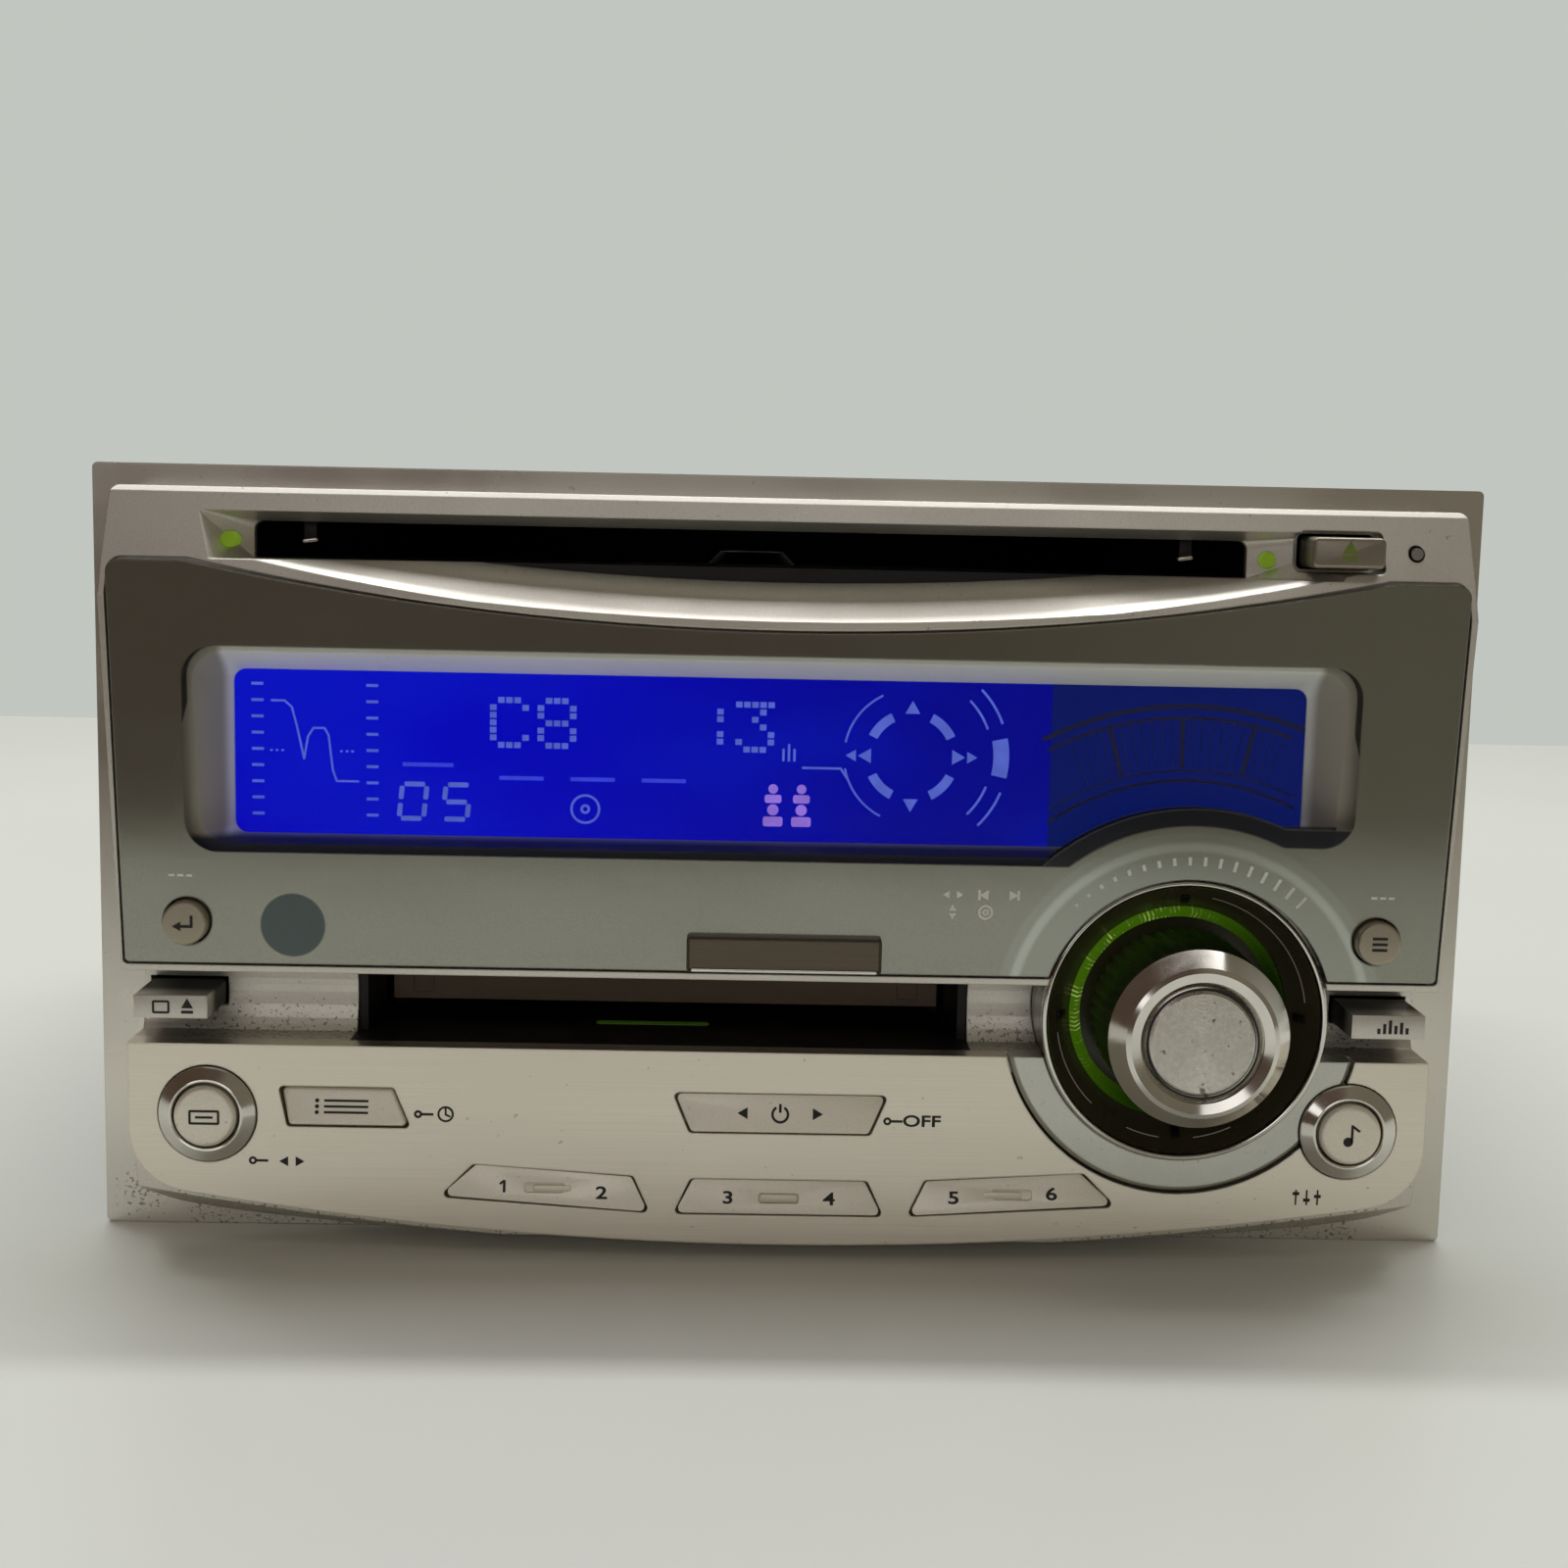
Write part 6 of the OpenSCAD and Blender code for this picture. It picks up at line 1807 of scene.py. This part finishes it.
    def compass(self) -> list[Part]:
        """Ring of four arcs with arrows, and plain fields beside it.

        Returns:
            The arcs, arrows, lines and bars.
        """
        d = self.screen_d
        x, z = self.ring
        parts = []
        arcs = [(6.1, 4.9, 96, (28.0 + 90 * i, 62.0 + 90 * i)) for i in range(4)]
        arcs += [(8.7, 8.45, 96, span) for span in ((118.0, 168.0), (192.0, 242.0))]
        arcs += [(12.4, 12.1, 120, span) for span in ((-44.0, -20.0), (20.0, 44.0))]
        arcs += [(10.4, 10.1, 120, span) for span in ((-44.0, -20.0), (20.0, 44.0))]
        arcs.append((12.4, 10.4, 120, (-13.0, 13.0)))
        for outer, inner, sides, span in arcs:
            parts.append(Bench.place(Bench.ring("arc", outer, inner, sides=sides, span=span), x, d, z))
        arrows = [(1.9, 5.7, 0.0), (1.9, 6.0, 90.0), (1.9, 5.7, 180.0), (1.9, 6.0, 270.0)]
        for size, reach, way in (*arrows, (1.5, 7.5, 0.0), (1.5, 7.5, 180.0)):
            aside, rise = reach * math.cos(math.radians(way)), reach * math.sin(math.radians(way))
            parts.append(Signs.triangle("arrow", size, x + aside, d, z + rise, way))
        parts += Signs.path("link", [(2.0, 63.4), (6.8, 63.4), (7.6, 62.2)], 0.28, d)
        parts += Signs.bars((1.6, 2.2, 1.6), 0.7, 0.3, 0.2, d, 64.2)
        return parts

    def scale(self) -> None:
        """Model the display's unlit scale over the rotary control."""
        d = self.screen_d
        parts = []
        for radius, weight, span in (
            (40.0, 0.6, (68.0, 118.0)), (38.4, 0.4, (70.0, 118.0)),
            (31.6, 0.24, (64.0, 124.0)), (30.4, 0.4, (63.0, 126.0)),
        ):
            arc = Bench.ring(f"scale_{radius:.0f}", radius, radius - weight, sides=360, span=span)
            parts.append(Bench.place(arc, KNOB_AT.x, d, KNOB_AT.z))
        for i in range(22):
            angle = 71.5 + 2.0 * i
            tick = Bench.tile(f"scale_tick_{i}", 6.6, 0.6 if i % 7 == 3 else 0.1)
            x = KNOB_AT.x + self.scale_r * math.cos(math.radians(angle))
            z = KNOB_AT.z + self.scale_r * math.sin(math.radians(angle))
            parts.append(Bench.place(tick, x, d + 2 * LIFT, z, angle))
        Bench.fix("display_scale", parts, FIGURE_DIM)


@dataclass
class CartridgeSlot(Assembly):
    """Cartridge slot with its flap and the two keys beside it.

    Attributes:
        lens: Middle of the underside of the light's lens, x, depth and z.
        lens_size: Its width and depth.
    """

    lens: tuple[float, float, float] = (-17.0, -3.4, 27.32)
    lens_size: tuple[float, float] = (15.0, 1.6)

    def finishes(self) -> dict[str, Finish]:
        """Finish of the slot's nodes."""
        return {"cartridge_slot_frame": SLOT, "cartridge_flap": FLAP, "flap_pin": ROD}

    def build(self) -> None:
        """Model the keys, their signs and the slot's light lens."""
        eject, sound = Key("cartridge_eject_key", 0.55, GROOVE_KEY), Key("sound_key", 0.55, GROOVE_KEY)
        for key in (eject, sound):
            key.build()
        spot, d = eject.face
        signs = Signs.eject("cartridge_eject", 1.5, spot.x + 2.1, d, spot.z)
        case = Bench.outline("cartridge_outline", (2.2, 1.7), 0.28, PRINT, 0.25)
        eject.mark("cartridge_eject_sign", [*signs, Bench.place(case, spot.x - 1.2, d, spot.z)])
        spot, d = sound.face
        levels = (0.7, 1.3, 1.8, 1.1, 1.5, 0.8)
        sound.mark("sound_sign", Signs.bars(levels, 0.72, 0.4, spot.x + 0.6, d, spot.z - 0.85))
        lens = Bench.tile("cartridge_light", *self.lens_size, 0.12, 0.6)
        Bench.place(lens, *self.lens, 0.0, -90.0)
        Bench.fix("cartridge_light", [Bench.soften(lens, 0.05, 2)], SLOT_LIGHT)


@dataclass
class LowerPanel(Assembly):
    """Lower panel with its keys and printed signs.

    Attributes:
        figure: Height of the keys' figures.
        face_d: Depth of the panel's face.
    """

    figure: float = 1.55
    face_d: float = 11.0

    def finishes(self) -> dict[str, Finish]:
        """Finish of the panel's nodes."""
        return {"lower_panel": BRUSHED, "button_rings": TRIM}

    def build(self) -> None:
        """Model the keys, their signs and the panel's prints."""
        widths = {"display_key": 0.2, "info_key": 0.4, "source_key": 0.4, "audio_key": 0.2}
        widths |= {f"preset_key_{pair}": 0.35 for pair in ("1_2", "3_4", "5_6")}
        keys = {node: Key(node, width) for node, width in widths.items()}
        for key in keys.values():
            key.build()
        self.numbers(keys)
        self.screen(keys["display_key"])
        self.info(keys["info_key"])
        self.source(keys["source_key"])
        self.note(keys["audio_key"])
        self.prints()

    def numbers(self, keys: dict[str, Key]) -> None:
        """Model the preset keys' numbers and light bars.

        Args:
            keys: The panel's keys by their nodes.
        """
        places = {
            "preset_key_1_2": ((-35.3, 9.15, "1"), (-22.7, 8.45, "2")),
            "preset_key_3_4": ((-6.5, 8.05, "3"), (6.5, 8.05, "4")),
            "preset_key_5_6": ((22.5, 8.5, "5"), (35.1, 9.15, "6")),
        }
        for node, spots in places.items():
            parts: list[Part] = []
            for x, z, text in spots:
                d, lean = touch(node, x, z)
                if text == "1":
                    parts += self.one(f"{node}_1", x, d + LIFT, z, lean)
                else:
                    figure = Bench.words(f"{node}_{text}", text, self.figure, 1.4)
                    parts.append(Bench.place(figure, x, d + LIFT + PRINT / 2, z, 0.0, lean))
            keys[node].mark(f"{node}_numbers", parts)
            bar = Bench.soften(Bench.tile(f"{node}_light", 4.9, 1.0, 0.4, 0.35), 0.12, 2)
            x, z = (spots[0][0] + spots[1][0]) / 2, (spots[0][1] + spots[1][1]) / 2 + 0.05
            Bench.fit(Bench.place(bar, x, touch(node, x, z)[0], z), keys[node].body, KEY)

    def one(self, name: str, x: float, d: float, z: float, lean: float) -> list[Part]:
        """Figure one with its flag.

        Args:
            name: Start of its parts' names.
            x: Middle of the figure.
            d: Depth of its back.
            z: Middle of the figure.
            lean: Lean of the key's face in degrees.

        Returns:
            The stem and the flag.
        """
        stem = Bench.tile(f"{name}_stem", 0.34, self.figure)
        flag = Bench.tile(f"{name}_flag", 0.75, 0.3)
        rise = self.figure / 2 - 0.28
        flag_d = d + rise * math.sin(math.radians(lean))
        return [
            Bench.place(stem, x + 0.15, d, z, 0.0, lean),
            Bench.place(flag, x - 0.12, flag_d, z + rise, 38.0, lean),
        ]

    @staticmethod
    def screen(key: Key) -> None:
        """Model the screen sign on the display key.

        Args:
            key: The key.
        """
        spot, d = key.face
        rim = Bench.outline("screen_rim", (3.9, 1.9), 0.3, PRINT, 0.25)
        line = Bench.tile("screen_line", 2.2, 0.3)
        key.mark("display_sign", [Bench.place(part, spot.x, d, spot.z) for part in (rim, line)])

    @staticmethod
    def info(key: Key) -> None:
        """Model the list sign on the info key's leaning face.

        Args:
            key: The key.
        """
        spot = middle_of(key.node)
        parts = []
        for i in range(3):
            z = spot.z + 0.72 * (1 - i)
            d, lean = touch(key.node, spot.x, z)
            line, dot = Bench.tile(f"info_line_{i}", 5.6, 0.3), Bench.disc(f"info_dot_{i}", 0.26, 16)
            parts.append(Bench.place(line, spot.x + 0.2, d + LIFT, z, 0.0, lean))
            parts.append(Bench.place(dot, spot.x - 3.5, d + LIFT, z, 0.0, lean))
        key.mark("info_sign", parts)

    @staticmethod
    def source(key: Key) -> None:
        """Model the power and step signs on the source key's leaning face.

        Args:
            key: The key.
        """
        spot = middle_of(key.node)
        d, lean = touch(key.node, spot.x, spot.z)
        d += LIFT
        drop = -math.tan(math.radians(lean))
        arc = Bench.ring("power_arc", 1.15, 0.83, sides=60, span=(118.0, 422.0))
        stem = Bench.tile("power_stem", 0.34, 1.1)
        parts = [
            Bench.place(arc, spot.x, d + 0.1 * drop, spot.z - 0.1, 0.0, lean),
            Bench.place(stem, spot.x, d - 0.65 * drop, spot.z + 0.65, 0.0, lean),
        ]
        for aside, way in ((-4.6, 180.0), (4.6, 0.0)):
            parts.append(Signs.triangle("source_way", 1.5, spot.x + aside, d, spot.z, way, lean))
        key.mark("source_sign", parts)

    @staticmethod
    def note(key: Key) -> None:
        """Model the note on the audio key.

        Args:
            key: The key.
        """
        spot, d = key.face
        head = Bench.place(Bench.disc("note_head", 0.62, 24), spot.x - 0.35, d, spot.z - 0.85)
        x = spot.x + 0.12
        stem = [(x, spot.z - 0.8), (x, spot.z + 1.25), (spot.x + 1.0, spot.z + 0.6)]
        key.mark("audio_sign", [head, *Signs.path("note_stem", stem, 0.32, d)])

    def prints(self) -> None:
        """Model the black prints on the panel."""
        d = self.face_d + LIFT
        parts = []
        for name, x, z in (("clock", -45.4, 18.55), ("off", 14.4, 18.6), ("roll", -66.4, 12.15)):
            parts += Signs.hold(name, x, d, z)
        parts.append(Bench.place(Bench.words("off_word", "OFF", 1.45, 1.35), 18.1, d + PRINT / 2, 18.6))
        parts.append(Bench.place(Bench.ring("clock_rim", 1.05, 0.78, sides=36), -42.6, d, 18.6))
        parts += Signs.path("clock_hands", [(-42.6, 19.3), (-42.6, 18.55), (-42.05, 18.3)], 0.24, d)
        for x, way in ((-63.0, 180.0), (-61.3, 0.0)):
            parts.append(Signs.triangle("roll_way", 1.3, x, d, 12.1, way))
        for x, rise in ((66.6, 0.5), (68.0, -0.35), (69.4, 0.15)):
            parts.append(Bench.place(Bench.tile("slider_rail", 0.22, 2.0), x, d, 9.4))
            parts.append(Bench.place(Bench.tile("slider_grip", 0.85, 0.42), x, d + LIFT, 9.4 + rise))
        Bench.fix("panel_signs", parts, INK)


@dataclass
class RotaryControl(Assembly):
    """Rotary control in its lit well.

    Attributes:
        cone_low: Radius and depth of the inner edge of the well's sloping wall.
        cone_high: Radius and depth of its outer edge.
        notch_r: Radius of the notches in it.
        line_r: Radius of the bright lines between them.
        line_w: Width of those lines.
        groove: How far the groove round the cap reaches in from and out past the cap's edge.
    """

    cone_low: tuple[float, float] = (14.0, 7.2)
    cone_high: tuple[float, float] = (17.3, 11.4)
    notch_r: float = 15.4
    line_r: float = 15.9
    line_w: float = 0.14
    groove: tuple[float, float] = (0.12, 0.14)

    def finishes(self) -> dict[str, Finish]:
        """Finish of the control's nodes."""
        return {
            "knob_crescent": CRESCENT, "knob_well": WELL, "well_ring": TRIM, "light_ring": RING_LIGHT,
            "knob_body": TRIM, "knob_grip": GRIP, "knob_cap": CAP, "gimbal_ring": ENCODER,
            "encoder_cradle": ENCODER, "push_sleeve": ENCODER, "encoder_shaft": ROD,
        }

    @property
    def slope(self) -> float:
        """Rise of the well's wall for each step outwards."""
        return (self.cone_high[1] - self.cone_low[1]) / (self.cone_high[0] - self.cone_low[0])

    def cone_d(self, radius: float) -> float:
        """Depth of the well's wall at a radius."""
        return self.cone_low[1] + self.slope * (radius - self.cone_low[0])

    def build(self) -> None:
        """Model the well's notches, the bright lines between them and the groove round the cap."""
        notch = Bench.soften(Bench.tile("well_notches", 1.0, 1.9, 0.35, 0.15), 0.1, 2)
        notches = [notch, *(Bench.copy(notch, f"well_notch_{i}") for i in range(1, 4))]
        tip = Matrix.Rotation(math.atan(self.slope), 4, "X")
        lift = Matrix.Translation(Vector((0, -self.cone_d(self.notch_r), self.notch_r)) * MM)
        for i, part in enumerate(notches):
            turn = Matrix.Rotation(math.pi / 2 * i, 4, "Y")
            part.matrix_world = Matrix.Translation(at(KNOB_AT.x, 0, KNOB_AT.z)) @ turn @ lift @ tip
        Bench.apply(*notches)
        Bench.fix("well_notches", notches, SLOT)
        lines = []
        for i, span in enumerate(((8.0, 78.0), (188.0, 226.0), (246.0, 262.0), (278.0, 296.0))):
            outer, inner = self.line_r + self.line_w / 2, self.line_r - self.line_w / 2
            line = Bench.ring(f"well_line_{i}", outer, inner, 0.1, 180, span)
            lines.append(Bench.place(line, KNOB_AT.x, self.cone_d(self.line_r) + 0.06, KNOB_AT.z))
        Bench.fix("well_lines", lines, DULL_TRIM)
        low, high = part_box("knob_cap")
        spot, reach = middle_of("knob_cap"), (high.x - low.x) / (2 * MM)
        groove = Bench.ring("cap_groove", reach + self.groove[1], reach - self.groove[0], 0.05, 120)
        Bench.place(groove, spot.x, front_of("knob_cap") - 0.06, spot.z)
        Bench.fit(groove, Body.KNOB.value, SLOT)


@dataclass
class Chassis(Assembly):
    """Sheet-metal chassis with its boards, sockets and screws.

    Attributes:
        screw_cross: Length of the dark cross painted as shade in a screw's head.
        head_r: Radius of a screw's head.
        blade: Width, height and length of a blade in the power socket.
        blades: Number of blades in a row.
        root: How far the blades' roots stand behind the socket's inner side.
        pitch: Distance between blades along X.
        row_z: Distance of each row of blades from the socket's middle.
        collar: Outer radius, inner radius and length of a line socket's collar.
        collar_in: Distance of a collar's axis from the end of the sockets.
    """

    screw_cross: float = 2.6
    head_r: float = 2.6
    blade: tuple[float, float, float] = (1.1, 0.6, 8.0)
    blades: int = 8
    root: float = 2.0
    pitch: float = 3.4
    row_z: float = 3.2
    collar: tuple[float, float, float] = (4.0, 1.72, 1.2)
    collar_in: float = 4.2

    def finishes(self) -> dict[str, Finish]:
        """Finish of the chassis nodes."""
        return {
            "bottom_plate": SHEET, "left_side_plate": SHEET, "right_side_plate": SHEET, "top_cover": SHEET,
            "rear_panel": REAR_SHEET, "heat_sink": SINK, "rear_stud": THREAD, "main_board": BOARD,
            "key_board": BOARD, "key_switches": SWITCH, "aerial_socket": BRASS, "power_socket": SWITCH,
            "line_sockets": BRASS, "case_screws": ROD,
        }

    def build(self) -> None:
        """Model the screws' crosses painted as shade, the power socket's blades and the line sockets'
        collars.
        """
        self.shade_crosses()
        self.contacts()
        self.collars()

    def shade_crosses(self) -> None:
        """Model a dark cross in each screw head, painted as the shade of its cross recess."""
        low, high = (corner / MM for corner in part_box("case_screws"))
        z = middle_of("case_screws").z
        parts = []
        for side, x in ((-1, low.x), (1, high.x)):
            turn = Matrix.Rotation(math.radians(side * 90), 4, "Z")
            for y in (low.y + self.head_r, high.y - self.head_r):
                middle = Matrix.Translation(Vector((x - side * PRINT * 0.9, y, z)) * MM)
                # each bar is painted shade of the screw's cross recess
                for angle in (45, 135):
                    bar = Bench.tile("cross", self.screw_cross, 0.6, PRINT, 0.15)
                    bar.matrix_world = middle @ turn @ Matrix.Rotation(math.radians(angle), 4, "Y")
                    parts.append(bar)
        Bench.apply(*parts)
        Bench.fix("screw_cross_shade", parts, SWITCH)

    def contacts(self) -> None:
        """Model the blades in the power socket."""
        width, height, length = self.blade
        blade = Bench.soften(Bench.tile("power_blades", width, height, length), 0.18, 2)
        spot = middle_of("power_socket")
        d = front_of("power_socket") - self.root - length
        first = spot.x - self.pitch * (self.blades - 1) / 2
        places = [
            (first + self.pitch * i, d, spot.z + rise)
            for i in range(self.blades)
            for rise in (-self.row_z, self.row_z)
        ]
        Bench.fix("power_blades", Bench.row(blade, places), BRASS)

    def collars(self) -> None:
        """Model the coloured collars of the line sockets."""
        low, high = (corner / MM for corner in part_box("line_sockets"))
        z = middle_of("aerial_socket").z
        for name, x, finish in (
            ("line_collar_left", low.x + self.collar_in, WHITE),
            ("line_collar_right", high.x - self.collar_in, RED),
        ):
            collar = Bench.soften(Bench.ring(name, *self.collar, 48), 0.2, 2)
            Bench.fix(name, [Bench.place(collar, x, FACE_Y - high.y - 2 * LIFT, z)], finish)


@dataclass
class Mechanisms(Assembly):
    """Disc and cartridge mechanisms inside the chassis."""

    def finishes(self) -> dict[str, Finish]:
        """Finish of the mechanisms' nodes."""
        return {
            "disc_frame": SLOT_SHADE_SHEET, "loading_roller": RUBBER, "disc_turntable": MECH, "disc_pickup": MECH,
            "disc_feed_screw": ROD, "cartridge_frame": SHEET, "cartridge_spindle": MECH,
        }


@dataclass
class Studio:
    """Camera, floor, backdrop and soft light.

    Attributes:
        eye: The camera's place, x, depth and z in millimetres.
        tilt: The camera's turns about Z, X and Y in degrees.
        lens: Focal length on a sensor 36 mm wide.
        pale: Colour of the wall behind the unit.
        room: Colour of the room in front of it.
        right_room: Colour of the room towards the right.
        paint: Colour of the floor.
        floor_at: Middle of the floor in metres.
        floor_size: Width and depth of the floor in metres.
    """

    eye: tuple[float, float, float] = (-5.32, 278.25, 96.99)
    tilt: tuple[float, float, float] = (1.2206, 7.497, -1.05)
    lens: float = 49.5
    pale: Colour = tone(194, 198, 192)
    room: Colour = tone(80, 66, 55)
    right_room: Colour = tone(112, 106, 92)
    paint: Colour = tone(241, 243, 236)
    floor_at: tuple[float, float, float] = (0.0, 0.13, -0.00002)
    floor_size: tuple[float, float] = (3.6, 0.86)

    def build(self) -> None:
        """Set up the view and the light."""
        self.camera()
        self.floor()
        self.world()
        for name, place, size, power, aim in (
            ("tube_light", (0.0, 0.36, 1.25), (1.4, 0.1), 7.9, (0.0, 0.36, 0.0)),
            ("ceiling_light", (0.0, 0.14, 1.25), (1.4, 0.34), 3.4, (0.0, 0.14, 0.0)),
            ("upper_light", (0.0, -0.85, 1.14), (0.9, 0.28), 0.5, (0.0, -0.09, 0.09)),
            ("front_light", (-0.25, -1.35, 0.42), (1.2, 0.26), 1.2, (0.0, -0.09, 0.05)),
        ):
            self.lamp(name, Vector(place), size, power, Vector(aim))
        bpy.context.scene.view_settings.view_transform = "Standard"

    def camera(self) -> None:
        """Place the camera as the photographer stood."""
        turns = [Matrix.Rotation(math.radians(t), 3, axis) for t, axis in zip(self.tilt, "ZXY")]
        level = Matrix(((1, 0, 0), (0, 0, -1), (0, 1, 0)))
        flip = Matrix(((1, 0, 0), (0, -1, 0), (0, 0, -1)))
        basis = (flip @ turns[0] @ turns[1] @ turns[2] @ level).transposed()
        data = bpy.data.cameras.new("view")
        data.lens = self.lens
        data.sensor_width = 36.0
        data.clip_start = 0.01
        camera = bpy.data.objects.new("view", data)
        camera.matrix_world = Matrix.Translation(at(*self.eye)) @ basis.to_4x4()
        bpy.context.scene.collection.objects.link(camera)
        bpy.context.scene.camera = camera

    def floor(self) -> None:
        """Make the pale floor."""
        bpy.ops.object.select_all(action="DESELECT")
        bpy.ops.mesh.primitive_plane_add(size=1, location=self.floor_at)
        bpy.context.active_object.scale = (*self.floor_size, 1)
        floor = Bench.settle("floor")
        graph = Graph("floor_paint")
        clouds = graph.noise(320)
        graph.set("Base Color", graph.vary(clouds, self.paint, 0.03))
        graph.set("Roughness", graph.spread(clouds, 0.3, 0.7, 0.3, 0.36))
        floor.data.materials.append(graph.material)

    def world(self) -> None:
        """Make a pale wall behind the unit and a dim room in front of it."""
        world = bpy.data.worlds.new("room")
        world.use_nodes = True
        tree = Tree(world.node_tree)
        way = tree.add("SeparateXYZ", {0: tree.add("TexCoord").outputs["Generated"]}).outputs
        front = tree.mix(tree.spread(way["X"], 0.0, 0.3), self.room, self.right_room)
        seen = tree.add("LightPath").outputs["Is Camera Ray"]
        behind = tree.math("MAXIMUM", tree.spread(way["Y"], 0.05, 0.65), seen)
        light = tree.add("Background", {"Color": tree.mix(behind, front, self.pale)})
        tree.add("OutputWorld", {"Surface": light.outputs[0]})
        bpy.context.scene.world = world

    @staticmethod
    def lamp(name: str, place: Vector, size: tuple[float, float], power: float, aim: Vector) -> None:
        """Hang one soft box.

        Args:
            name: Name of the lamp.
            place: Its place in metres.
            size: Its width and height in metres.
            power: Its power in watts.
            aim: Point that it faces, in metres.
        """
        data = bpy.data.lights.new(name, "AREA")
        data.shape = "RECTANGLE"
        data.size, data.size_y = size
        data.energy = power
        lamp = bpy.data.objects.new(name, data)
        facing = (aim - place).to_track_quat("-Z", "Y").to_matrix().to_4x4()
        lamp.matrix_world = Matrix.Translation(place) @ facing
        bpy.context.scene.collection.objects.link(lamp)


def main() -> None:
    logging.basicConfig(level=logging.INFO, format="%(message)s")
    Studio().build()
    for assembly in (
        Housing(), DiscSlot(), DisplayUnit(), CartridgeSlot(),
        LowerPanel(), RotaryControl(), Chassis(), Mechanisms(),
    ):
        assembly.build()
        assembly.dress()


if __name__ == "__main__":
    main()
